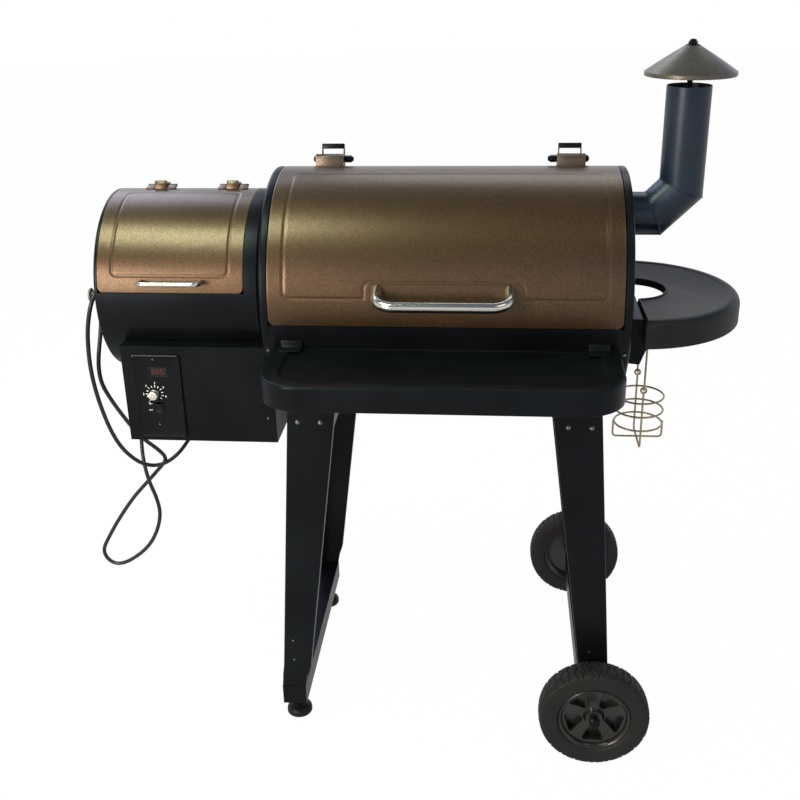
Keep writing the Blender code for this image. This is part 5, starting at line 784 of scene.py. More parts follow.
def make_hopper_shell():
    """Small drum with flat discs, open under its lid, and the fixed hinge knuckles behind."""
    left, right = HOPPER_LEFT, HOPPER_RIGHT
    radius, edge = HOPPER_SKIN, 0.0035
    profile = [(left, 0.0)]
    profile += [(left + edge - edge * math.cos(t), radius - edge + edge * math.sin(t)) for t in quarter(6)]
    profile += [(right - edge + edge * math.sin(t), radius - edge + edge * math.cos(t)) for t in quarter(6)]
    bm = turn_profile(bmesh.new(), "X", (0, 0, BARREL_AXIS_Z), profile + [(right, 0.0)], 144)
    shell = add_piece("hopper_drum", bm, "black_steel", "grill_body", ["hopper_shell"], 30.0)
    low, high = HOPPER_LID_LOW - 0.1, HOPPER_LID_HIGH + 0.1
    angles = [low + (high - low) * k / 40 for k in range(41)]
    sector = [on_ring(radius + 0.02, a) for a in angles]
    sector += [on_ring(radius - 0.02, a) for a in reversed(angles)]
    opening = extrude(bmesh.new(), "X", sector, left + 0.0057, right - 0.0247)
    feed_slot = add_block(bmesh.new(), (left + 0.05, -0.034, 0.674), (right + 0.01, 0.034, 0.720))
    carve(shell, [bar("X", (0, 0, BARREL_AXIS_Z), radius - SHEET, left + SHEET, right - SHEET, 144)])
    carve(shell, [opening, feed_slot])
    knuckle = rounded([(0.004, -0.001), (0.004, 0.003), (0.001, 0.0048), (-0.012, 0.0048), (-0.016, 0.001),
                       (-0.016, -0.007), (-0.006, -0.007), (-0.003, -0.003)], 0.0012, 3)
    pin = [(-0.0252, 0.0), (-0.0248, 0.0022), (-0.0238, 0.0026), (-0.0236, 0.0018)]
    pin += [(-along, r) for along, r in reversed(pin)]
    for number, x in enumerate(HOPPER_HINGE_XS):
        bm = extrude(bmesh.new(), "X", about_pivot(HOPPER_PIVOT, HOPPER_HINGE_ANGLE, knuckle),
                     x - 0.0105, x + 0.0105)
        turn_profile(bm, "X", (x, *HOPPER_PIVOT), pin, 20)
        add_piece("hopper_knuckle_%d" % (number + 1), bm, "black_steel", soften=0.0003,
                  finish="bronze_steel")


def make_hopper_leaf(name, x):
    """Pressed leaf on the hopper's lid with a rolled knuckle at each side."""
    roll = [(0.0021 * math.cos(t), 0.0021 * math.sin(t))
            for t in (math.radians(215 - 25 * k) for k in range(9))]
    plate = roll + [(0.019, -0.0048), (0.0196, -0.0066), (0.010, -0.0064), (0.004, -0.0044)]
    saddle = rounded([(0.0066, -0.0064), (0.0066, 0.0078), (0.0150, 0.0088), (0.0176, 0.0030),
                      (0.0196, -0.0066)], [0.0, 0.0016, 0.0022, 0.0010, 0.0], 3)
    bm = bmesh.new()
    for shape, start, end in ((plate, -0.027, -0.0112), (plate, 0.0112, 0.027), (saddle, -0.0105, 0.0105)):
        extrude(bm, "X", about_pivot(HOPPER_PIVOT, HOPPER_HINGE_ANGLE, shape), x + start, x + end)
    spot = about_pivot(HOPPER_PIVOT, HOPPER_HINGE_ANGLE, [(0.0135, -0.0038)])[0]
    for side in (-1, 1):
        dome(bm, Vector((x + side * 0.0185, *spot)), out_of(HOPPER_HINGE_ANGLE), 0.0026, 0.0011)
    add_piece(name + "_leaf", bm, "bronze_steel", "hopper_lid", [name], 30.0, soften=0.0003)


# ---------------------------------------------------------------- chimney

CAP_RADIUS = 0.077
CHIMNEY_X = span("chimney_cap", "X")[0] + CAP_RADIUS
CHIMNEY_TOP_Z = span("chimney_pipe", "Z")[2]


def make_chimney_pipe():
    """Flanged stub, mitred elbow with raised seams, and upright pipe with a hemmed mouth."""
    rise, outer, inner, flange = 0.0455, PIPE_RADIUS, PIPE_BORE, 0.058
    start = Vector((END_FACE + 0.0003, 0, STUB_Z))
    corner, knee = Vector((CHIMNEY_X - rise, 0, STUB_Z)), Vector((CHIMNEY_X, 0, STUB_Z + rise))
    top = Vector((CHIMNEY_X, 0, CHIMNEY_TOP_Z))
    along_x, along_z, slant = Vector((1, 0, 0)), Vector((0, 0, 1)), Vector((1, 0, 1)).normalized()
    bm = bmesh.new()

    def ring(centre, run_in, run_out, radius, slide=0.0):
        plane, across = (run_in + run_out).normalized(), Vector((0, 1, 0))
        up = run_in.cross(across)
        made = []
        for t in turns(72):
            point = centre + (across * math.cos(t) + up * math.sin(t)) * radius
            point -= run_in * ((point - centre).dot(plane) / run_in.dot(plane))
            made.append(bm.verts.new(point + run_in * slide))
        return made

    def seam(centre, run_in, run_out):
        """Thin weld bead round a mitre."""
        before = [ring(centre, run_in, run_out, outer + rise, slide)
                  for rise, slide in ((0.0, -0.0012), (0.0005, -0.0006), (0.0007, 0.0))]
        after = [ring(centre, run_out, run_in, outer + rise, slide)
                 for rise, slide in ((0.0005, 0.0006), (0.0, 0.0012))]
        return before + after

    path = [ring(start + along_x * along, along_x, along_x, radius)
            for along, radius in ((0.0, inner), (0.0, flange - 0.0003), (0.0004, flange), (0.0016, flange),
                                  (0.0020, flange - 0.0003), (0.0020, outer + 0.0015), (0.0035, outer))]
    path += seam(corner, along_x, slant) + seam(knee, slant, along_z)
    path += [ring(top - along_z * below, along_z, along_z, radius)
             for below, radius in ((0.0004, outer), (0.0, outer - 0.0004), (0.0, inner + 0.0003),
                                   (0.0005, inner))]
    path += [ring(knee, slant, along_z, inner), ring(corner, along_x, slant, inner)]
    skin(bm, path, closed=True)
    # the pipe's blue tone is a painted reflection of cool window light
    add_piece("smoke_pipe", bm, "black_steel", "grill_body", ["chimney_pipe"], 30.0, finish="blued_black")


def make_chimney_cap():
    """Spun rain cap: soft cone with a rolled rim, a seam line, and a cap nut on a washer."""
    rim, _, tip = span("chimney_cap", "Z")
    out, crown, crown_z = CAP_RADIUS, 0.0125, tip - 0.0105
    centre = (CHIMNEY_X, 0, 0)
    cone = [(crown_z - (crown_z - rim - 0.0068) * t, crown + (out - crown) * t + 0.0012 * math.sin(math.pi * t))
            for t in (k / 12 for k in range(13))]
    profile = [(crown_z, 0.0060)] + cone
    profile += [(rim + 0.0055, out), (rim + 0.0006, out), (rim, out - 0.0008), (rim + 0.0006, out - 0.0018),
                (rim + 0.0050, out - 0.0018)]
    profile += [(z - 0.0020, r - 0.0012) for z, r in reversed(cone[:-1])] + [(crown_z - 0.0020, 0.0060)]
    bm = turn_profile(bmesh.new(), "Z", centre, profile, 96, closed=True)
    # the cap's greyer bronze is a painted sheen of the light above
    add_piece("rain_cap", bm, "bronze_steel", "chimney_cap", ["chimney_cap"], 30.0, finish="aged_bronze")
    collar = [(rim + 0.030, 0.0056), (rim + 0.030, 0.0085), (tip - 0.0126, 0.0095), (tip - 0.0104, 0.0118),
              (tip - 0.0092, 0.0118), (tip - 0.0090, 0.0105), (tip - 0.0090, 0.0056)]
    bm = turn_profile(bmesh.new(), "Z", centre, collar, 40, closed=True)
    corner, flat = 0.0080, 0.0069
    nut = [(0.0036, 0.0), (0.0036, 0.0054), (0.0090, 0.0054), (0.0090, corner), (0.0044, corner),
           (0.0040, 0.0062), (0.0022, 0.0058), (0.0008, 0.0042), (0.0001, 0.0020), (0.0, 0.0)]
    turn_profile(bm, "Z", centre, [(tip - below, r) for below, r in nut], 48)
    for vert in bm.verts:
        x, y = vert.co.x - CHIMNEY_X, vert.co.y
        if abs(math.hypot(x, y) - corner) < 1e-5:
            draw_in = flat / math.cos(math.atan2(y, x) % (math.pi / 3) - math.pi / 6) / corner
            vert.co.x, vert.co.y = CHIMNEY_X + x * draw_in, y * draw_in
    add_piece("cap_nut", bm, "black_steel", "chimney_cap", soften=0.0003)


def make_chimney_rod():
    """Threaded rod of the cap on a strap across the pipe."""
    front, _, rear = span("chimney_rod", "Y")
    low, _, high = span("chimney_rod", "Z")
    strap, pitch = low + 0.006, 0.0015
    bm = add_block(bmesh.new(), (CHIMNEY_X - 0.007, front, strap - 0.002), (CHIMNEY_X + 0.007, rear, strap))
    profile = [(low, 0.0)]
    for k in range(int((high - low) / pitch)):
        profile += [(low + pitch * k + 0.0002, 0.0043), (low + pitch * k + 0.00095, 0.0050)]
    turn_profile(bm, "Z", (CHIMNEY_X, 0, 0), profile + [(high, 0.0040), (high, 0.0)], 24)
    add_piece("cap_rod", bm, "black_steel", "grill_body", ["chimney_rod"], 20.0)


# ---------------------------------------------------------------- handles and hinges

HINGE_X = span("lid_hinge_right", "X")[1]
LID_HINGE_ANGLE = 103.5
LID_JOINT = next(j["pos_m"] for j in frame["record"]["behaviour"]["joints"] if j["name"] == "main_lid_hinge")
LID_PIVOT = (LID_JOINT[1] - SHIFT.y, LID_JOINT[2])


def bow_handle(name, body, stands_for, radius, angle, half, wire, reach, bend, dip, centre_x=0.0):
    """Polished bar bent into a bow that dips as it comes out; it meets the lid's round at the angle."""
    out = Vector((0, -math.cos(math.radians(angle)), math.sin(math.radians(angle)) - dip))
    foot = Vector((centre_x, *on_ring(radius, angle, 0.0004)))
    end, straight = foot + Vector((-half, 0, 0)), reach - bend
    points = [end - out * 0.002] + [end + out * (straight * k / 5) for k in range(1, 6)]
    points += [foot + Vector((-half + bend * (1 - math.cos(t)), 0, 0)) + out * (straight + bend * math.sin(t))
               for t in quarter(16, 1)]
    turned = points[-1]
    points += [turned.lerp(Vector((centre_x, turned.y, turned.z)), k / 12) for k in range(1, 12)]
    points += [Vector((2 * centre_x - p.x, p.y, p.z)) for p in reversed(points)]
    handle = add_piece(name, sweep(bmesh.new(), points, wire, 28), "stainless", body, stands_for)
    carve(handle, [round_body(radius + 0.0003, centre_x - 2 * half, centre_x + 2 * half)])
    smooth_below(handle, 60)


def hinge_prism(bm, points, start, end):
    """Prism of (across, out) points about the main lid's pivot."""
    return extrude(bm, "X", about_pivot(LID_PIVOT, LID_HINGE_ANGLE, points), *sorted((start, end)))


def make_lid_hinge(name, x):
    """Folded box with rounded bends, open behind where the bolt goes through its ears."""
    ear, reach, half, foot = 0.008, 0.030, 0.025, -0.023
    inner = half - SHEET
    side = rounded([(-ear * 0.9, -0.004), (-ear * 0.9, ear * 0.5), (-ear * 0.3, ear), (reach * 0.75, ear),
                    (reach, ear * 0.4), (reach, foot), (ear * 0.8, foot)],
                   [0.002, 0.004, 0.004, 0.003, 0.003, 0.0, 0.0], 4)
    hollow = [(-ear * 2, -0.03), (-ear * 2, 2 * ear), (0.001, 2 * ear), (0.001, ear - SHEET),
              (reach - SHEET, ear - SHEET), (reach - SHEET, -0.03)]
    box_piece = add_piece(name + "_box", hinge_prism(bmesh.new(), side, x - half, x + half), "bronze_steel",
                          "main_lid", [name], finish="hinge_bronze")
    carve(box_piece, [hinge_prism(bmesh.new(), hollow, x - inner, x + inner),
                      bar("X", (0, *LID_PIVOT), 0.0045, x - 0.03, x + 0.03, 32),
                      round_body(BARREL_SKIN + 0.0003, x - 0.05, x + 0.05)])
    soften_edges(box_piece, 0.0004, mitre="MITER_SHARP")
    smooth_below(box_piece, 32)


def make_lid_stop(name, x, outer_side):
    """Black strap behind the hinge with its bar, and the bolt with a dome nut and a long nut."""
    half, top = 0.023 - SHEET, 0.0285
    bar_half = half - SHEET / 2
    sole = [(a, -0.0127 - a * a / (2 * BARREL_RADIUS)) for a in (-0.0290, -0.0220, -0.0150, -0.0070, 0.0030)]
    arm = [(0.0040, -0.0040), (0.0055, 0.0), (0.0040, 0.0040), (0.0, 0.0055), (-0.0040, 0.0040), (-0.0055, 0.0),
           (-0.0045, -0.0072), (-0.0125, -0.0078), (-0.0125, -0.0060), (-0.0192, 0.0150), (-0.0194, top),
           (-0.0240, top), (-0.0290, -0.0110)]
    for number, side in enumerate((-1, 1)):
        bm = hinge_prism(bmesh.new(), arm + sole, x + side * half, x + side * (half - SHEET))
        add_piece("%s_arm_%d" % (name, number + 1), bm, "black_steel", soften=0.0003)
    cross_bar = rounded([(-0.0190, top - 0.009), (-0.0190, top + 0.0005), (-0.0211, top + 0.0005),
                         (-0.0211, top - 0.009)], 0.0008, 3)
    bm = hinge_prism(bmesh.new(), cross_bar, x - bar_half, x + bar_half)
    hinge_prism(bm, [(0.0020, -0.0111), (-0.0275, -0.0131)] + sole[:4] + [(0.0020, -0.0127)],
                x - bar_half, x + bar_half)
    add_piece(name + "_strap", bm, "black_steel", "grill_body", [name], 30.0, soften=0.0003)
    end, shank, corner = 0.0255, 0.0040, 0.0065
    profiles = (
        (24, [(-end, 0.0), (-end, shank), (end, shank), (end, 0.0)]),
        (32, [(-end - 0.0080, 0.0), (-end - 0.0079, 0.0016), (-end - 0.0071, 0.0038), (-end - 0.0052, 0.0057),
              (-end - 0.0030, corner), (-end, corner), (-end, shank)]),
        (28, [(end + 0.0113, 0.0), (end + 0.0113, 0.0046), (end + 0.0138, 0.0044), (end + 0.0150, 0.0034),
              (end + 0.0150, 0.0)]),
    )
    bm = bmesh.new()
    for sides, profile in profiles:
        turn_profile(bm, "X", (x, *LID_PIVOT), [(-outer_side * a, r) for a, r in profile], sides)
    ends = sorted((x - outer_side * end, x - outer_side * (end + 0.0115)))
    extrude(bm, "X", hexagon(LID_PIVOT, corner, 12), *ends)
    add_piece(name + "_bolt", bm, "black_steel", soften=0.00025)


# ---------------------------------------------------------------- shelves

SHELF_TOP_Z = 0.786
SHELF_BACK_Y = -0.150
SHELF_TAB_TOP_Z = 0.799
SHELF_HALF_X = span("front_shelf", "X")[2]
SHELF_FRONT_Y = span("front_shelf", "Y")[0]
LEG_TOP_Z = span("leg_front_right", "Z")[2]
SIDE_RADIUS, NOTCH_RADIUS = 0.197, 0.060
SIDE_X = span("side_shelf", "X")[2] - SIDE_RADIUS
NOTCH_X = SIDE_X + 0.004
SIDE_TOP_Z = span("side_shelf", "Z")[2]


def shelf_outline(inset):
    """Straight back and two large rounded front corners."""
    half, front, back = SHELF_HALF_X - inset, SHELF_FRONT_Y + inset, SHELF_BACK_Y - inset
    radius = max(0.004, 0.075 - inset)
    points = [(half * part, back) for part in (1, 0.5, 0, -0.5, -1)]
    for x, start in ((-half + radius, math.pi), (half - radius, 1.5 * math.pi)):
        points += [(x + radius * math.cos(start + t), front + radius + radius * math.sin(start + t))
                   for t in quarter(20)]
    return points


def make_front_shelf():
    """Pressed tray: rolled edge, wide rim, shallow recess, deep skirt with a hem, bolted tabs and gussets."""
    top, low, wall, roll = SHELF_TOP_Z, SHELF_TOP_Z - 0.042, SHEET, 0.0045
    recess = top - 0.004
    outside = [(0.0004, low), (0.0, low + 0.0004), (0.0, top - roll)]
    outside += [(roll - roll * math.cos(t), top - roll + roll * math.sin(t)) for t in quarter(6, 1)]
    outside += [(0.0285, top), (0.0297, top - 0.0003), (0.0306, top - 0.0009), (0.0338, top - 0.0032),
                (0.0347, top - 0.0038), (0.0360, recess)]
    inside = [(wall, low), (wall, top - 0.005), (0.005, top - wall), (0.0290, top - wall),
              (0.0345, recess - wall)]
    shelf = add_piece("front_tray", tray(shelf_outline, outside, inside), "black_steel", "grill_body",
                      ["front_shelf"], 24.0)
    carve(shelf, [round_body(BARREL_SKIN + 0.0022)])
    back = -math.sqrt((BARREL_SKIN + 0.0004) ** 2 - (SHELF_TAB_TOP_Z - BARREL_AXIS_Z) ** 2)
    tab = rounded([(back, top), (back, SHELF_TAB_TOP_Z), (back - wall, SHELF_TAB_TOP_Z),
                   (back - wall, top + wall), (back - 0.024, top + wall), (back - 0.024, top)],
                  [0.003, 0.0, 0.0, 0.002, 0.0, 0.0], 4)
    front, under, foot = SHELF_FRONT_Y + 0.030, recess - 0.0022, LEG_TOP_Z + 0.012
    web = [(front, under), (front, recess - 0.022), (-0.165, foot), (SHELF_BACK_Y, foot), (SHELF_BACK_Y, under)]
    for number, side in enumerate((-1, 1)):
        x = side * (SHELF_HALF_X - 0.034)
        add_piece("shelf_tab_%d" % (number + 1), extrude(bmesh.new(), "X", tab, x - 0.018, x + 0.018),
                  "black_steel", soften=0.0004)
        gusset = add_piece("shelf_gusset_%d" % (number + 1), extrude(bmesh.new(), "X", web, x - wall, x),
                           "black_steel", soften=0.0003)
        carve(gusset, [round_body(BARREL_SKIN + 0.0010)])


def side_outline(inset):
    """Round edge with a straight side and a half-round notch in it."""
    radius, notch, chord = SIDE_RADIUS - inset, NOTCH_RADIUS + 0.25 * inset, SIDE_X + 0.009 + 0.25 * inset
    end = math.asin(min(1.0, math.sqrt(radius ** 2 - (chord - SIDE_X) ** 2) / radius))
    points = [(SIDE_X + radius * math.cos(t), radius * math.sin(t))
              for t in (-end + 2 * end * i / 96 for i in range(97))]
    start = math.acos((chord - NOTCH_X) / notch)
    points += [(NOTCH_X + notch * math.cos(t), notch * math.sin(t))
               for t in (start - 2 * start * i / 40 for i in range(41))]
    return points


def make_side_shelf():
    """Moulded tray: soft outer edge, raised rim, recess with a fine step, hollow below."""
    top, low, wall = SIDE_TOP_Z, SIDE_TOP_Z - 0.047, 0.0035
    roll, rise = 0.0145, 0.0165
    outside = [(0.0006, low), (0.0, low + 0.0008), (0.0, top - rise)]
    outside += [(roll - roll * math.cos(t), top - rise + rise * math.sin(t)) for t in quarter(10, 1)]
    outside += [(0.0195, top), (0.0204, top - 0.0003), (0.0222, top - 0.0021), (0.0232, top - 0.0025)]
    inside = [(wall, low), (wall, top - 0.017), (0.008, top - 0.0022 - wall), (0.0238, top - 0.0025 - wall)]
    shelf = add_piece("side_tray", tray(side_outline, outside, inside), "charcoal_plastic", "grill_body",
                      ["side_shelf"], 28.0)
    reach = NOTCH_RADIUS + 0.004
    below = [(NOTCH_X + reach * math.cos(t), reach * math.sin(t))
             for t in (math.radians(-81 + 162 * i / 36) for i in range(37))]
    carve(shelf, [extrude(bmesh.new(), "Z", below, low - 0.01, top - 0.0125)])


def make_shelf_bracket():
    """Folded channel between the end panel and the round shelf, with two short lips under the shelf's edge."""
    start, _, reach = span("side_shelf_bracket", "X")
    low, _, top = span("side_shelf_bracket", "Z")
    half, end, lip_top = span("side_shelf_bracket", "Y")[2], reach - 0.050, SIDE_TOP_Z - 0.0475
    section = rounded([(start, low), (end, low), (end, top), (start, top)], [0.0, 0.0, 0.003, 0.003], 4)
    bracket = add_piece("shelf_bracket", extrude(bmesh.new(), "Y", section, -half, half), "black_steel",
                        "grill_body", ["side_shelf_bracket"], 28.0)
    carve(bracket, [add_block(bmesh.new(), (start + SHEET, SHEET - half, low - 0.01),
                              (end - SHEET, half - SHEET, top - SHEET))])
    for middle in (-0.115, 0.115):
        lip = add_block(bmesh.new(), (end - SHEET / 2, middle - 0.020, lip_top - SHEET),
                        (end + 0.011, middle + 0.020, lip_top))
        carve(bracket, [lip], "UNION")


# ---------------------------------------------------------------- legs, feet and wheels

WHEEL_X = span("hub_front", "X")[1]
WHEEL_Y = span("tyre_rear", "Y")[1]
WHEEL_RADIUS = 0.1016
TREAD_BLOCKS = 44
FOOT_X = span("foot_front", "X")[1]
LEG_FACE_Y = 0.228
LEFT_CROSSBAR_Z, CROSSBAR_HALF = 0.0685, 0.0205


def make_leg(name, side_x, side_y, middle, crossbar_z):
    """Channel folded from sheet with rounded bends; it splays out and draws in above its crossbar."""
    foot = crossbar_z + CROSSBAR_HALF + 0.0003
    knee, half = foot + 0.048, 0.023

    def edges(z):
        """Outer and inner edge of the splayed leg."""
        return BARREL_HALF - 0.030 + 0.072 * (LEG_TOP_Z - z), BARREL_HALF - 0.115 + 0.128 * (LEG_TOP_Z - z)

    outer, inner = edges(knee)
    drawn_in = (outer * 0.35 + (middle + half) * 0.65, inner * 0.35 + (middle - half) * 0.65)
    stations = [(LEG_TOP_Z, *edges(LEG_TOP_Z), 1.0), (knee, outer, inner, 1.0), (knee - 0.024, *drawn_in, 0.8),
                (foot, middle + half, middle - half, 0.6)]
    bm = bmesh.new()
    rings = []
    face, back = LEG_FACE_Y, LEG_FACE_Y - SHEET
    for z, outer, inner, share in stations:
        section = rounded([(inner, face), (outer, face), (outer, face - 0.034 * share),
                           (outer - SHEET, face - 0.034 * share), (outer - SHEET, back), (inner + SHEET, back),
                           (inner + SHEET, face - 0.016 * share), (inner, face - 0.016 * share)],
                          [0.0032, 0.0032, 0.0004, 0.0004, 0.0012, 0.0012, 0.0004, 0.0004], 5)
        rings.append([bm.verts.new((side_x * x, side_y * y, z)) for x, y in section])
    skin(bm, rings)
    add_piece(name + "_sheet", bm, "black_steel", "grill_body", [name], 25.0)


def make_foot(name):
    """Levelling pad with a rounded skirt, a hexagon and a threaded stem."""
    centre = (FOOT_X, span(name, "Y")[1], 0)
    top, nut_top, pitch = span(name, "Z")[2], 0.0279, 0.0015
    profile = [(0.0, 0.0), (0.0, 0.0225), (0.0006, 0.0238), (0.0022, 0.0249), (0.0050, 0.0250),
               (0.0095, 0.0248), (0.0125, 0.0236), (0.0152, 0.0210), (0.0176, 0.0172), (0.0196, 0.0138),
               (0.0214, 0.0118), (0.0220, 0.0108), (0.0220, 0.0)]
    bm = turn_profile(bmesh.new(), "Z", centre, profile, 56)
    extrude(bm, "Z", hexagon(centre, 0.0085), 0.0220, nut_top)
    stem = [(nut_top, 0.0)]
    for k in range(int((top - 0.029) / pitch)):
        stem += [(nut_top + 0.0002 + pitch * k, 0.0043), (nut_top + 0.0002 + pitch * k + pitch / 2, 0.0050)]
    turn_profile(bm, "Z", centre, stem + [(top, 0.0042), (top, 0.0)], 24)
    add_piece(name + "_pad", bm, "black_plastic", name, [name], 30.0)


def make_tyre(name, side, body):
    """Rubber tyre: smooth side walls, rounded shoulders and a wavy tread of cut blocks."""
    centre = Vector((WHEEL_X, side * WHEEL_Y, WHEEL_RADIUS))
    half, outer, rim, bead = 0.025, WHEEL_RADIUS, 0.066, 0.0035
    wall = [(-half + 0.0040, rim + 0.0005), (-half + 0.0010, rim + 0.0036), (-half + 0.0004, rim + 0.0044),
            (-half + 0.0009, rim + 0.0052), (-half, rim + 0.0100), (-half, outer - 0.0130),
            (-half + 0.0006, outer - 0.0078), (-half + 0.0018, outer - 0.0044)]
    crown = [((half - 0.0040) * u, outer - 0.0024 * abs(u) ** 3.0)
             for u in (-1 + 2 * k / 14 for k in range(15))]
    section = wall + crown + [(-along, r) for along, r in reversed(wall)]
    fine = []
    for a, b in zip(section, section[1:]):
        parts = max(1, int(math.dist(a, b) / 0.0013)) if max(a[1], b[1]) > outer - 0.014 else 1
        fine += [(a[0] + (b[0] - a[0]) * k / parts, a[1] + (b[1] - a[1]) * k / parts) for k in range(parts)]
    inside = [(half - 0.0075, rim - bead), (-half + 0.0075, rim - bead)]
    bm = bmesh.new()
    rings = []
    for along, radius in fine + [section[-1]] + inside:
        ring = []
        for t in turns(12 * TREAD_BLOCKS):
            r = radius - tread_cut(along, radius, t)
            ring.append(bm.verts.new(centre + Vector((math.cos(t) * r, along, math.sin(t) * r))))
        rings.append(ring)
    skin(bm, rings, closed=True)
    add_piece(name + "_rubber", bm, "tyre_rubber", body, [name], 40.0)


def tread_cut(along, radius, turn):
    """Depth of the tread: zig-zag grooves across it that mirror each other, and a slot round each shoulder."""
    below = WHEEL_RADIUS - radius
    if below > 0.0120:
        return 0.0
    place = turn * TREAD_BLOCKS / (2 * math.pi)
    number = math.floor(place)
    swing = (abs((along / 0.0125 + 0.5) % 2.0 - 1.0) * 2 - 1) * 0.26 * (1 if number % 2 else -1)
    gap = abs(place - number - 0.5 - swing) * 2 * math.pi * WHEEL_RADIUS / TREAD_BLOCKS
    groove = 0.0019 * (1 - smooth_step(gap, 0.0009, 0.0020)) * (1 - smooth_step(below, 0.0070, 0.0110))
    slot = 0.0010 * (1 - smooth_step(abs(abs(along) - 0.0168), 0.0004, 0.0012))
    return max(groove, slot)


def make_hub(name, side, body):
    """Moulded hub: dished face with five deep pockets between spokes, a wide rim and a raised boss."""
    centre = Vector((WHEEL_X, side * WHEEL_Y, WHEEL_RADIUS))
    edge = 0.0657
    rim = [(-0.021, edge - 0.0020), (-0.021, edge), (-0.0195, edge + 0.0001), (-0.016, edge - 0.0040),
           (0.016, edge - 0.0040), (0.0195, edge), (0.0210, edge), (0.0222, edge - 0.0012),
           (0.0222, edge - 0.0035), (0.0200, edge - 0.0060), (0.0150, edge - 0.0080), (-0.016, edge - 0.0070)]
    bm = turn_profile(bmesh.new(), "Y", centre, [(side * a, r) for a, r in rim], 96, closed=True)
    add_piece(name + "_rim", bm, "black_plastic", body, [name], 30.0, finish="hub_plastic")
    dish = [(-0.020, 0.0), (-0.020, 0.0130), (-0.0075, 0.0150), (-0.0075, edge - 0.0055),
            (0.0145, edge - 0.0055), (0.0118, 0.0500), (0.0085, 0.0360), (0.0080, 0.0260), (0.0100, 0.0200),
            (0.0140, 0.0170), (0.0180, 0.0155), (0.0185, 0.0140), (0.0185, 0.0)]
    bm = turn_profile(bmesh.new(), "Y", centre, [(side * a, r) for a, r in dish], 96)
    face = add_piece(name + "_dish", bm, "black_plastic", body, smooth=30.0, finish="hub_plastic")
    ends = sorted((centre.y + side * -0.0030, centre.y + side * 0.030))
    windows = []
    for middle in turns(5, -1.25):
        outline = [(centre.x + r * math.cos(middle + turn), centre.z + r * math.sin(middle + turn))
                   for r, turn in ((0.0225, -0.24), (0.0225, 0.24), (0.0572, 0.41), (0.0572, -0.41))]
        windows.append(extrude(bmesh.new(), "Y", rounded(outline, 0.0045, 5), *ends))
    carve(face, windows)


# ---------------------------------------------------------------- controller

PANEL_X = span("control_panel", "X")[1]
PANEL_Z = span("control_panel", "Z")[1]
HOUSING_FRONT_Y = -0.1803
PLATE_FACE_Y = HOUSING_FRONT_Y - 0.0028
KNOB_X, KNOB_Z = PANEL_X - 0.0081, PANEL_Z + 0.0058
SHOW_X, SHOW_Z = PANEL_X + 0.0015, PANEL_Z + 0.0468
ROCKER_X, ROCKER_Z = PANEL_X - 0.0022, PANEL_Z - 0.0207


def upright_rings(bm, x, z, levels, steps):
    """Rings of round-cornered rectangles about (x, z); levels are (half width, half height, corner, y)."""
    rings = []
    for across, up, corner, y in levels:
        outline = rounded([(-across, -up), (across, -up), (across, up), (-across, up)], corner, steps)
        rings.append([bm.verts.new((x + u, y, z + v)) for u, v in outline])
    return rings


def add_bezel(name, x, z, outer, inner, rise, soften):
    """Flat rectangular frame on the plate; outer and inner are half widths and half heights."""
    back, front, corner = HOUSING_FRONT_Y - 0.0026, HOUSING_FRONT_Y - rise, 0.0008
    bm = bmesh.new()
    skin(bm, upright_rings(bm, x, z, [(*outer, corner, back), (*outer, corner, front), (*inner, corner, front),
                                      (*inner, corner, back)], 3), closed=True)
    add_piece(name, bm, "black_plastic", soften=soften)


def make_panel():
    """Controller's front plate: a pressed edge that catches the light, a painted glint on its top edge, its
    openings and two bezels.
    """
    front = HOUSING_FRONT_Y
    bm = bmesh.new()
    pressed = ((0.0, 0.0), (0.0, 0.0034), (0.0004, 0.0039), (0.0010, 0.0040), (0.0020, 0.0038),
               (0.0028, 0.0030), (0.0034, 0.0028))
    skin(bm, upright_rings(bm, PANEL_X, PANEL_Z, [(0.043 - inset, 0.080 - inset, max(0.001, 0.0042 - inset),
                                                   front - rise) for inset, rise in pressed], 5))
    plate = add_piece("controller_plate", bm, "black_steel", "grill_body", ["control_panel"], 25.0)
    before, behind = front - 0.02, front + 0.01
    openings = [add_block(bmesh.new(), (x - half_x, before, z - half_z), (x + half_x, behind, z + half_z))
                for x, z, half_x, half_z in ((ROCKER_X, ROCKER_Z, 0.0065, 0.01025),
                                             (SHOW_X, SHOW_Z, 0.0153, 0.0073))]
    carve(plate, openings + [bar("Y", (KNOB_X, 0, KNOB_Z), 0.0035, before, behind, 32)])
    # thin pale strip along the plate's top edge, with a short hook at its left end: a painted glint
    bm = bmesh.new()
    for left, right, low in ((-0.0415, 0.0390, 0.0782), (-0.0422, -0.0415, 0.0752)):
        add_block(bm, (PANEL_X + left, front - 0.0043, PANEL_Z + low),
                  (PANEL_X + right, front - 0.0036, PANEL_Z + 0.0790))
    add_piece("rubbed_panel_edge", bm, "black_steel", finish="rubbed_edge")
    add_bezel("rocker_bezel", ROCKER_X, ROCKER_Z, (0.0082, 0.01195), (0.0066, 0.01035), 0.0043, 0.0004)
    add_bezel("display_bezel", SHOW_X, SHOW_Z, (0.0175, 0.0093), (0.0151, 0.0071), 0.0036, 0.0003)


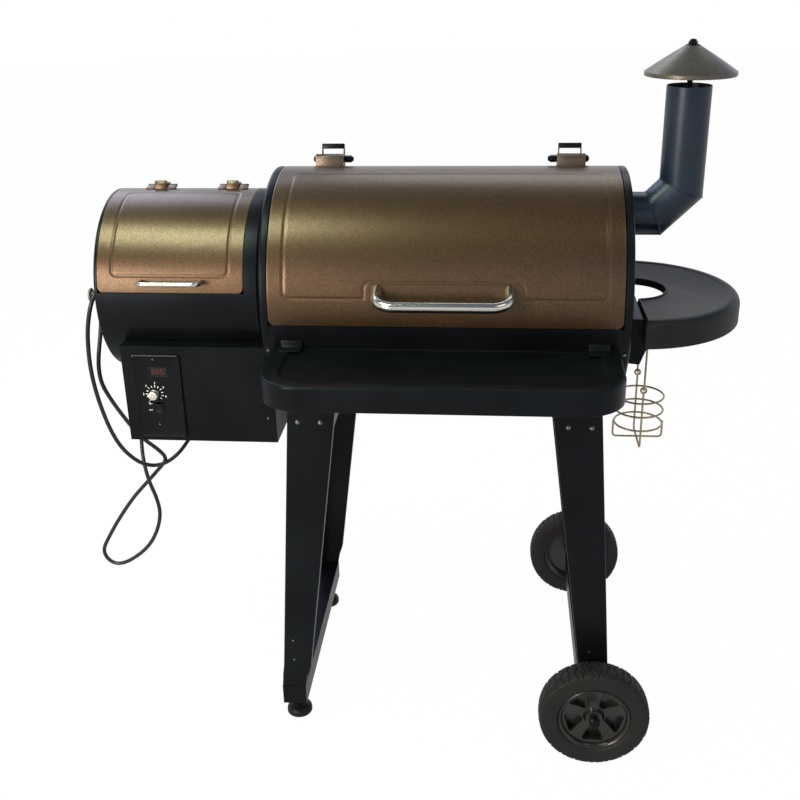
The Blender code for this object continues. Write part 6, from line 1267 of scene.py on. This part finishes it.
def make_display():
    """Smoked window with three dim red seven-segment figures behind its face."""
    low, high = (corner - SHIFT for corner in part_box("display_window"))
    add_piece("display_glass", add_block(bmesh.new(), low, high), "display", "grill_body", ["display_window"],
              soften=0.0003)
    bm = bmesh.new()
    pitch, across, up = 0.0076, 0.0022, 0.0021
    lit = {0: "abcdef", 2: "abged", 5: "afgcd"}
    strokes = {"a": ((-1, 2), (1, 2)), "b": ((1, 2), (1, 0)), "c": ((1, 0), (1, -2)), "d": ((-1, -2), (1, -2)),
               "e": ((-1, 0), (-1, -2)), "f": ((-1, 2), (-1, 0)), "g": ((-1, 0), (1, 0))}
    for place, figure in enumerate((2, 2, 5)):
        middle = Vector((SHOW_X + pitch * (place - 1), low.y - 0.0001, SHOW_Z))
        for stroke in lit[figure]:
            a, b = (middle + Vector((u * across, 0, v * up)) for u, v in strokes[stroke])
            run = (b - a).normalized()
            wide = Vector((-run.z, 0, run.x)) * 0.00042
            a, b = a + run * 0.0005, b - run * 0.0005
            corners = [a - run * 0.0004, a + wide, b + wide, b + run * 0.0004, b - wide, a - wide]
            skin(bm, [[bm.verts.new(p - Vector((0, ahead, 0))) for p in corners] for ahead in (0.0, 0.0001)])
    add_piece("display_figures", bm, "display", finish="red_figures")


def make_dial_marks():
    """White ring of ticks and plain numbers round the knob, and ON/OFF marks at the rocker."""
    bm = bmesh.new()
    centre, start, half = Vector((KNOB_X, PLATE_FACE_Y, KNOB_Z)), 0.0120, 0.00056
    for k in range(12):
        turn = math.radians(235 - 25 * k)
        along = Vector((math.cos(turn), 0, math.sin(turn)))
        wide = Vector((-along.z, 0, along.x))
        end = 0.0168 if k % 2 == 0 else 0.0156
        skin(bm, [[bm.verts.new(centre + along * r + wide * w + Vector((0, y, 0)))
                   for r, w in ((start, -half), (end, -half), (end, half), (start, half))]
                  for y in (0.0002, -0.0001)])
    add_piece("dial_ticks", bm, "black_steel", finish="white_print")
    marks = [("ON", ROCKER_X - 0.0158, ROCKER_Z + 0.0062, 0.0038),
             ("OFF", ROCKER_X - 0.0162, ROCKER_Z - 0.0062, 0.0038)]
    for number in range(1, 7):
        turn = math.radians(285 - 50 * number)
        marks.append((str(number), KNOB_X + 0.0206 * math.cos(turn), KNOB_Z + 0.0206 * math.sin(turn), 0.0054))
    bm = bmesh.new()
    for words, x, z, size in marks:
        curve = bpy.data.curves.new("mark", "FONT")
        curve.body = words
        curve.size = size
        curve.extrude = 0.00012
        curve.align_x, curve.align_y = "CENTER", "CENTER"
        text = bpy.data.objects.new("mark", curve)
        bpy.context.collection.objects.link(text)
        text.matrix_world = (Matrix.Translation((x, PLATE_FACE_Y - 0.00005, z))
                             @ Matrix.Rotation(math.pi / 2, 4, "X"))
        bpy.context.view_layer.update()
        mesh = bpy.data.meshes.new_from_object(text.evaluated_get(bpy.context.evaluated_depsgraph_get()))
        mesh.transform(text.matrix_world)
        bm.from_mesh(mesh)
        bpy.data.meshes.remove(mesh)
        bpy.data.objects.remove(text, do_unlink=True)
        bpy.data.curves.remove(curve)
    add_piece("dial_numbers", bm, "black_steel", finish="white_print")


def make_knob():
    """Turned silver knob: knurled skirt, dished face and a raised pointer rib."""
    back, radius, length, stem = HOUSING_FRONT_Y - 0.0034, 0.0085, 0.013, 0.0030
    profile = [(0.010, stem, 0), (0.0, stem, 0), (0.0, radius - 0.0006, 0), (-0.0006, radius, 0),
               (-0.0044, radius, 0), (-0.0050, radius - 0.0003, 0.00022), (-0.0116, radius * 0.96, 0.00022),
               (-0.0122, radius * 0.95, 0), (-0.0128, radius * 0.91, 0), (-length, radius * 0.84, 0),
               (-length, radius * 0.30, 0), (-0.0128, radius * 0.26, 0)]
    bm = bmesh.new()
    rings = []
    for along, r, knurl in profile:
        radii = [r - knurl if i % 4 < 2 else r for i in range(96)]
        rings.append([bm.verts.new((KNOB_X + math.cos(t) * reach, back + along, KNOB_Z + math.sin(t) * reach))
                      for t, reach in zip(turns(96), radii)])
    skin(bm, rings)
    add_piece("knob_body", bm, "stainless", "control_knob", ["control_knob"], 30.0, finish="turned_silver")
    bm = add_block(bmesh.new(), (KNOB_X - radius - 0.0015, back - length - 0.0006, KNOB_Z - 0.0009),
                   (KNOB_X - 0.0005, back - 0.006, KNOB_Z + 0.0009))
    add_piece("knob_pointer", bm, "stainless", "control_knob", soften=0.0004)


def make_rocker():
    """Rocker with a dished face, its lower half pressed in, and a small raised bar."""
    front, half, tilt = -0.0062, 0.00895, math.radians(9.0)
    face = [(front + 0.0020 * math.sin(math.pi * k / 12) ** 0.8, half - 2 * half * k / 12)
            for k in range(1, 12)]
    outline = [(front, half)] + face + [(front, -half), (-0.0010, -half + 0.0015), (0.0030, -0.003),
                                        (0.0030, 0.003), (-0.0010, half - 0.0015)]
    points = [(HOUSING_FRONT_Y + y * math.cos(tilt) - z * math.sin(tilt),
               ROCKER_Z + y * math.sin(tilt) + z * math.cos(tilt)) for y, z in outline]
    bm = extrude(bmesh.new(), "X", points, ROCKER_X - 0.006, ROCKER_X + 0.006)
    add_piece("rocker_cap", bm, "black_plastic", "rocker_switch", ["rocker_switch"], 30.0, soften=0.0004)


# ---------------------------------------------------------------- grease basket

BASKET_X = span("basket", "X")[1]
WIRE = 0.0019
BASKET_RADIUS = 0.045
BASKET_OUT = BASKET_RADIUS + 0.0015


def bent_wire(points, bend):
    """Corner-rounded path through points."""
    points = [Vector(p) for p in points]
    made = [points[0]]
    for before, here, after in zip(points, points[1:], points[2:]):
        a, b = before - here, after - here
        reach = min(bend, a.length * 0.48, b.length * 0.48)
        start, end = here + a.normalized() * reach, here + b.normalized() * reach
        for t in (k / 8 for k in range(9)):
            made.append(start * (1 - t) ** 2 + here * 2 * t * (1 - t) + end * t * t)
    return made + [points[-1]]


def make_basket():
    """Wire basket: three rings on two crossed wires, the front-and-back wire curled into eyes."""
    x, out, bend, bottom = BASKET_X, BASKET_OUT, 0.008, SPOUT_Z - 0.155
    bm = bmesh.new()
    for below in (0.124, 0.096, 0.068):
        ring = [(x + BASKET_RADIUS * math.cos(t), BASKET_RADIUS * math.sin(t), SPOUT_Z - below)
                for t in turns(72)]
        sweep(bm, ring, WIRE, 12, closed=True)
    end = SPOUT_Z - 0.1216
    cradle = [(x - out, 0, end), (x - out, 0, bottom), (x + out, 0, bottom), (x + out, 0, end)]
    sweep(bm, bent_wire(cradle, bend), WIRE, 12)
    eye, eye_z, low = 0.0050, SPOUT_Z - 0.040, bottom - 0.0028
    hanger = [(x, -out, eye_z - eye), (x, -out, low), (x, out, low), (x, out, eye_z - eye)]
    sweep(bm, bent_wire(hanger, bend), WIRE, 12)
    for side in (-1, 1):
        loop = [(x + eye * math.cos(t), side * out, eye_z + eye * math.sin(t)) for t in turns(28, 0.2)]
        sweep(bm, loop, WIRE, 12, closed=True)
    add_piece("wire_basket", bm, "stainless", "basket", ["basket"], 60.0, finish="bronze_wire")


def make_bail():
    """Wire arch over the spout, its ends hooked through the basket's eyes."""
    low, _, high = span("basket_bail", "Z")
    base, top = low + WIRE, high - WIRE
    x, out = BASKET_X, BASKET_OUT + 0.0045
    arch = bent_wire([(x, -out + 0.0078, base), (x, -out, base), (x, -out, top), (x, out, top), (x, out, base),
                      (x, out - 0.0078, base)], 0.004)
    add_piece("wire_bail", sweep(bmesh.new(), arch, WIRE, 12), "stainless", "basket_bail", ["basket_bail"],
              60.0, finish="bronze_wire")


# ---------------------------------------------------------------- cord

CORD_ROUTE = (
    (-0.5000, 0.1820, 0.6280), (-0.5000, 0.2080, 0.6280), (-0.5000, 0.2290, 0.6280), (-0.5015, 0.2505, 0.6192),
    (-0.5045, 0.2600, 0.5980), (-0.5090, 0.2510, 0.5765), (-0.5180, 0.2150, 0.5460), (-0.5320, 0.1500, 0.5080),
    (-0.5520, 0.0500, 0.4700), (-0.5770, 0.0200, 0.4500), (-0.6070, 0.0050, 0.4450), (-0.6340, -0.0150, 0.4660),
    (-0.6560, -0.0450, 0.5200), (-0.6660, -0.0750, 0.6020), (-0.6670, -0.1000, 0.6900), (-0.6540, -0.1240, 0.7750),
    (-0.6410, -0.1292, 0.8262), (-0.6345, -0.1208, 0.8470), (-0.6320, -0.1000, 0.8561), (-0.6345, -0.0792, 0.8470),
    (-0.6400, -0.0708, 0.8262), (-0.6480, -0.0760, 0.7650), (-0.6560, -0.0860, 0.7100), (-0.6560, -0.0860, 0.6680),
    (-0.6480, -0.0700, 0.6250), (-0.6380, -0.0480, 0.5820), (-0.6280, -0.0280, 0.5450), (-0.6120, -0.0130, 0.5120),
    (-0.5970, -0.0010, 0.4900), (-0.5860, 0.0110, 0.4680), (-0.5870, 0.0220, 0.4500), (-0.6040, 0.0310, 0.4270),
    (-0.6360, 0.0330, 0.3910), (-0.6700, 0.0330, 0.3530), (-0.7100, 0.0330, 0.2970), (-0.7360, 0.0320, 0.2540),
    (-0.7500, 0.0300, 0.2240), (-0.7418, 0.0290, 0.2005), (-0.7195, 0.0280, 0.1915), (-0.6860, 0.0270, 0.2065),
    (-0.6480, 0.0250, 0.2400), (-0.6240, 0.0230, 0.2800), (-0.6110, 0.0190, 0.3250), (-0.6130, 0.0140, 0.3650),
    (-0.6220, 0.0120, 0.4000), (-0.6290, 0.0140, 0.4350), (-0.6350, 0.0250, 0.4700), (-0.6420, 0.0550, 0.5150),
    (-0.6500, 0.1050, 0.5800), (-0.6540, 0.1520, 0.6500), (-0.6490, 0.1850, 0.7200), (-0.6350, 0.1940, 0.7620),
    (-0.6120, 0.1880, 0.7860), (-0.5820, 0.1785, 0.7908), (-0.5560, 0.1780, 0.7905),
)
CORD_RADIUS = 0.0040


def smooth_route(knots, steps):
    """Even curve through the route's points, steps points to each span."""
    knots = [Vector(p) for p in knots]
    made = []
    for i in range(len(knots) - 1):
        before = knots[i - 1] if i else knots[i] * 2 - knots[i + 1]
        after = knots[i + 2] if i + 2 < len(knots) else knots[i + 1] * 2 - knots[i]
        start, end = knots[i], knots[i + 1]
        span = (end - start).length
        run_in = (end - before) * (span / max(1e-6, (end - before).length))
        run_out = (after - start) * (span / max(1e-6, (after - start).length))
        for k in range(steps):
            t = k / steps
            t2, t3 = t * t, t * t * t
            made.append(start * (2 * t3 - 3 * t2 + 1) + run_in * (t3 - 2 * t2 + t) + end * (3 * t2 - 2 * t3)
                        + run_out * (t3 - t2))
    return made + [knots[-1]]


def even_out(line, held, passes):
    """Spread the bends of a line, leaving its two ends as they are."""
    for _ in range(passes):
        inner = [(line[i - 1] + line[i] * 2 + line[i + 1]) / 4 for i in range(held, len(line) - held)]
        line = line[:held] + inner + line[-held:]
    return line


def make_cord():
    """Mains cord with its gland, strain reliefs and plug."""
    line = even_out(smooth_route(CORD_ROUTE, 12), 20, 14)
    cord = add_piece("mains_cord", sweep(bmesh.new(), line, CORD_RADIUS, 16), "cord_sheath", "grill_body",
                     ["power_cord"], 60.0)
    plug = make_plug(Vector(CORD_ROUTE[-1]))
    make_gland()
    make_peg()


def make_plug(end):
    """Moulded plug: ribbed strain relief, waisted grip and two blades."""
    start, radius, neck = end.x + 0.0006, 0.0125, CORD_RADIUS + 0.0006
    profile = [(0.0, 0.0), (0.0, neck)]
    for k in range(6):
        base, r = 0.0015 + 0.0034 * k, neck + 0.0005 + 0.0003 * k
        profile += [(base, r), (base + 0.0020, r + 0.0002), (base + 0.0022, r - 0.0008),
                    (base + 0.0030, r - 0.0008)]
    profile += [(0.0222, neck + 0.0026)]
    profile += [(along, radius * part) for along, part in (
        (0.0240, 0.70), (0.0280, 0.84), (0.0340, 0.90), (0.0420, 0.86), (0.0500, 0.88), (0.0570, 0.97),
        (0.0620, 1.0), (0.0642, 0.99), (0.0656, 0.94), (0.0660, 0.88), (0.0660, 0.0))]
    bm = turn_profile(bmesh.new(), "X", (start, end.y, end.z), profile, 48)
    body = add_piece("plug_body", bm, "black_plastic", "grill_body", ["plug"], 35.0)
    bm = bmesh.new()
    face = start + 0.0659
    for z in (end.z - 0.0063, end.z + 0.0063):
        add_block(bm, (face, end.y - 0.0032, z - 0.0008), (face + 0.0160, end.y + 0.0032, z + 0.0008))
    return [body, add_piece("plug_blades", bm, "stainless", soften=0.0003)]


def make_gland():
    """Screwed gland with a lock nut inside the wall and a tapered, ribbed sleeve outside it."""
    centre = (span("cord_gland", "X")[1], 0, span("cord_gland", "Z")[1])
    bore, wall, end, neck = CORD_RADIUS + 0.0009, 0.180, span("cord_gland", "Y")[2], 0.007
    lock_nut = [(wall - 0.010, bore), (wall - 0.010, 0.0112), (wall - 0.0023, 0.0112), (wall - 0.0023, neck),
                (wall + 0.0003, neck), (wall + 0.0003, bore)]
    bm = turn_profile(bmesh.new(), "Y", centre, lock_nut, 40, closed=True)
    ribs = [(wall + 0.0003, bore), (wall + 0.0003, 0.0120), (wall + 0.0010, 0.0125), (wall + 0.0085, 0.0125),
            (wall + 0.0100, 0.0115), (wall + 0.0120, 0.0092)]
    for k in range(6):
        base, r = wall + 0.0130 + 0.0036 * k, 0.0088 - 0.0005 * k
        ribs += [(base, r), (base + 0.0016, r - 0.0002), (base + 0.0018, r - 0.0012),
                 (base + 0.0028, r - 0.0013)]
    ribs += [(end - 0.0006, bore + 0.0011), (end, bore + 0.0007), (end, bore)]
    turn_profile(bm, "Y", centre, ribs, 40, closed=True)
    add_piece("gland_sleeve", bm, "black_plastic", "grill_body", ["cord_gland"], 30.0)


def make_peg():
    """Moulded peg on the hopper's left disc."""
    end, _, face = span("cord_peg", "X")
    centre = (0, span("cord_peg", "Y")[1], span("cord_peg", "Z")[1])
    collar = [(0.0, 0.0), (0.0, 0.0105), (0.0006, 0.0110), (0.0026, 0.0110), (0.0034, 0.0100), (0.0042, 0.0074),
              (0.0056, 0.0062), (0.0080, 0.0060)]
    head = [(0.0080, 0.0060), (0.0062, 0.0064), (0.0052, 0.0086), (0.0044, 0.0122), (0.0034, 0.0130),
            (0.0020, 0.0130), (0.0008, 0.0122), (0.0002, 0.0104), (0.0, 0.0080), (0.0, 0.0)]
    profile = [(face - along, r) for along, r in collar] + [(end + along, r) for along, r in head]
    add_piece("peg_body", turn_profile(bmesh.new(), "X", centre, profile, 48), "grey_plastic", "grill_body",
              ["cord_peg"], 35.0)


# ---------------------------------------------------------------- bolts and screws

def fastener_tree():
    """Node tree that sets a washered, crowned head on every given point, along its stored way out."""
    tree = bpy.data.node_groups.new("set_fasteners", "GeometryNodeTree")
    face = tree.interface
    face.new_socket("Places", in_out="INPUT", socket_type="NodeSocketGeometry")
    for name in ("Head Radius", "Head Height", "Washer Radius"):
        face.new_socket(name, in_out="INPUT", socket_type="NodeSocketFloat")
    for name in ("Sides", "Seed"):
        face.new_socket(name, in_out="INPUT", socket_type="NodeSocketInt")
    face.new_socket("Finish", in_out="INPUT", socket_type="NodeSocketMaterial")
    face.new_socket("Fasteners", in_out="OUTPUT", socket_type="NodeSocketGeometry")
    given = tree.nodes.new("NodeGroupInput").outputs
    result = tree.nodes.new("NodeGroupOutput").inputs[0]
    washer_height = 0.0006                     # the head stands this much above the washer's foot

    def node(kind, **settings):
        return add_node(tree, kind, **settings)

    def raised(shape, height, scale=None):
        lift = node("ShaderNodeCombineXYZ", Z=height).outputs[0]
        moved = node("GeometryNodeTransform", Geometry=shape, Translation=lift)
        if scale:
            tree.links.new(scale, moved.inputs["Scale"])
        return moved.outputs[0]

    def half_of(value, plus=0.0):
        return node("ShaderNodeMath", operation="MULTIPLY_ADD", in0=value, in1=0.5, in2=plus).outputs[0]

    washer = node("GeometryNodeMeshCylinder", Vertices=28, Radius=given["Washer Radius"], Depth=0.0008)
    head = node("GeometryNodeMeshCylinder", Vertices=given["Sides"], Radius=given["Head Radius"],
                Depth=given["Head Height"])
    ball = node("GeometryNodeMeshUVSphere", Segments=24, Rings=12, Radius=1.0)
    wide = node("ShaderNodeMath", operation="MULTIPLY", in0=given["Head Radius"], in1=0.84).outputs[0]
    flat = node("ShaderNodeCombineXYZ", X=wide, Y=wide, Z=half_of(given["Head Height"])).outputs[0]
    join = node("GeometryNodeJoinGeometry")
    crown = node("ShaderNodeMath", operation="ADD", in0=given["Head Height"], in1=washer_height).outputs[0]
    for shape in (raised(washer.outputs["Mesh"], 0.0004),
                  raised(head.outputs["Mesh"], half_of(given["Head Height"], washer_height)),
                  raised(ball.outputs["Mesh"], crown, flat)):
        tree.links.new(shape, join.inputs[0])
    way = node("GeometryNodeInputNamedAttribute", data_type="FLOAT_VECTOR", Name="way_out").outputs["Attribute"]
    stand = node("FunctionNodeAlignRotationToVector", axis="Z", Vector=way).outputs[0]
    chance = node("FunctionNodeRandomValue", data_type="FLOAT", Seed=given["Seed"])
    chance.inputs[3].default_value = math.pi
    spin = node("FunctionNodeAxisAngleToRotation", Axis=(0.0, 0.0, 1.0), Angle=chance.outputs[1]).outputs[0]
    turned = node("FunctionNodeRotateRotation", rotation_space="LOCAL", in0=stand, in1=spin).outputs[0]
    placed = node("GeometryNodeInstanceOnPoints", Points=given["Places"], Instance=join.outputs[0],
                  Rotation=turned)
    real = node("GeometryNodeRealizeInstances", Geometry=placed.outputs[0])
    dressed = node("GeometryNodeSetMaterial", Geometry=real.outputs[0], Material=given["Finish"])
    tree.links.new(dressed.outputs[0], result)
    return tree


def set_fasteners(name, places, head, height, washer, sides=6, finish="bolt_steel"):
    """Heads on (point, way out) pairs given in the barrel's frame; head and washer are radii."""
    mesh = bpy.data.meshes.new(name)
    mesh.from_pydata([Vector(p) + SHIFT for p, _ in places], [], [])
    ways = mesh.attributes.new("way_out", "FLOAT_VECTOR", "POINT")
    for row, (_, way) in zip(ways.data, places):
        row.vector = Vector(way).normalized()
    obj = bpy.data.objects.new(name, mesh)
    bpy.context.collection.objects.link(obj)
    setter = obj.modifiers.new("fasteners", "NODES")
    setter.node_group = FASTENERS
    sockets = {item.name: item.identifier for item in FASTENERS.interface.items_tree if item.in_out == "INPUT"}
    for socket, value in (("Head Radius", head), ("Head Height", height), ("Washer Radius", washer),
                          ("Sides", sides), ("Seed", 7), ("Finish", FINISHES[finish])):
        setter[sockets[socket]] = value
    bake(obj)
    smooth_below(obj, 40)
    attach(obj, "grill_body")


def make_fasteners():
    """Every bolt and screw that shows."""
    ends = (-1, 1)
    legs = [((x * side, LEG_FACE_Y * y, 0.6575), (0, y, 0))
            for y in ends for side in ends for x in (0.254, 0.214)]
    set_fasteners("leg_bolts", legs, 0.0034, 0.0028, 0.0042)
    low = [((x, LEG_FACE_Y * y, z), (0, y, 0)) for y in ends
           for x, z in ((-0.2885, 0.197), (-0.2885, 0.153), (0.272, 0.196))]
    set_fasteners("crossbar_screws", low, 0.0019, 0.0010, 0.0021, 24)
    rim = [((side * (BARREL_HALF + 0.0050), *on_ring(BARREL_SKIN, a, -0.0004)), out_of(a))
           for side in ends for a in (-20.5, 200.5)]
    set_fasteners("rim_screws", rim, 0.0026, 0.0014, 0.0030, 24)
    plate = [((-0.516, PLATE_FACE_Y, z), (0, -1, 0)) for z in (0.7533, 0.6276)]
    set_fasteners("panel_screws", plate, 0.0015, 0.0008, 0.0016, 24)
    housing = [((-0.3164, HOUSING_FRONT_Y, 0.6418), (0, -1, 0))]
    set_fasteners("housing_screw", housing, 0.0017, 0.0009, 0.0019, 24)
    flange = [((END_FACE + 0.0022, 0.048 * math.cos(a), STUB_Z + 0.048 * math.sin(a)), (1, 0, 0))
              for a in turns(4, 0.5)]
    # the flange bolts carry the chimney's painted blue reflection
    set_fasteners("flange_bolts", flange, 0.0038, 0.0026, 0.0052, finish="blued_black")


# ---------------------------------------------------------------- the grill, piece by piece

make_cord()
make_main_lid()
make_hopper_lid()
make_barrel_shell()
make_end_panel("left", -1)
make_end_panel("right", 1)
make_hopper_shell()
for word, hinge_x in zip(("left", "right"), HOPPER_HINGE_XS):
    make_hopper_leaf("hopper_hinge_" + word, hinge_x)
make_chimney_pipe()
make_chimney_cap()
make_chimney_rod()
bow_handle("main_handle", "main_lid", ["lid_handle"], BARREL_SKIN, 11.5, half=0.1105, wire=0.0090, reach=0.052,
           bend=0.030, dip=0.45)
bow_handle("hopper_handle", "hopper_lid", ["hopper_lid_handle"], HOPPER_SKIN, 13.8, half=0.053, wire=0.0042,
           reach=0.030, bend=0.010, dip=0.10, centre_x=HOPPER_LEFT + 0.141)
for word, side in (("left", -1), ("right", 1)):
    make_lid_hinge("lid_hinge_" + word, side * HINGE_X)
    make_lid_stop("lid_stop_" + word, side * HINGE_X, side)
make_front_shelf()
make_side_shelf()
make_shelf_bracket()
for place, side_y in (("front", -1), ("rear", 1)):
    make_leg("leg_" + place + "_left", -1, side_y, -FOOT_X, LEFT_CROSSBAR_Z)
    make_leg("leg_" + place + "_right", 1, side_y, WHEEL_X, WHEEL_RADIUS)
    make_foot("foot_" + place)
    make_tyre("tyre_" + place, side_y, "wheel_" + place)
    make_hub("hub_" + place, side_y, "wheel_" + place)
make_panel()
make_display()
make_dial_marks()
make_knob()
make_rocker()
make_basket()
make_bail()
FASTENERS = fastener_tree()
make_fasteners()


# ---------------------------------------------------------------- carried-over pieces

for part in frame["record"]["subparts"]:
    node = NODES.get(part["node"])
    finish = FINISHES.get(part["material_slot"])
    if node and finish:
        wear(node, finish)
wear(NODES["axle"], FINISHES["black_steel"])
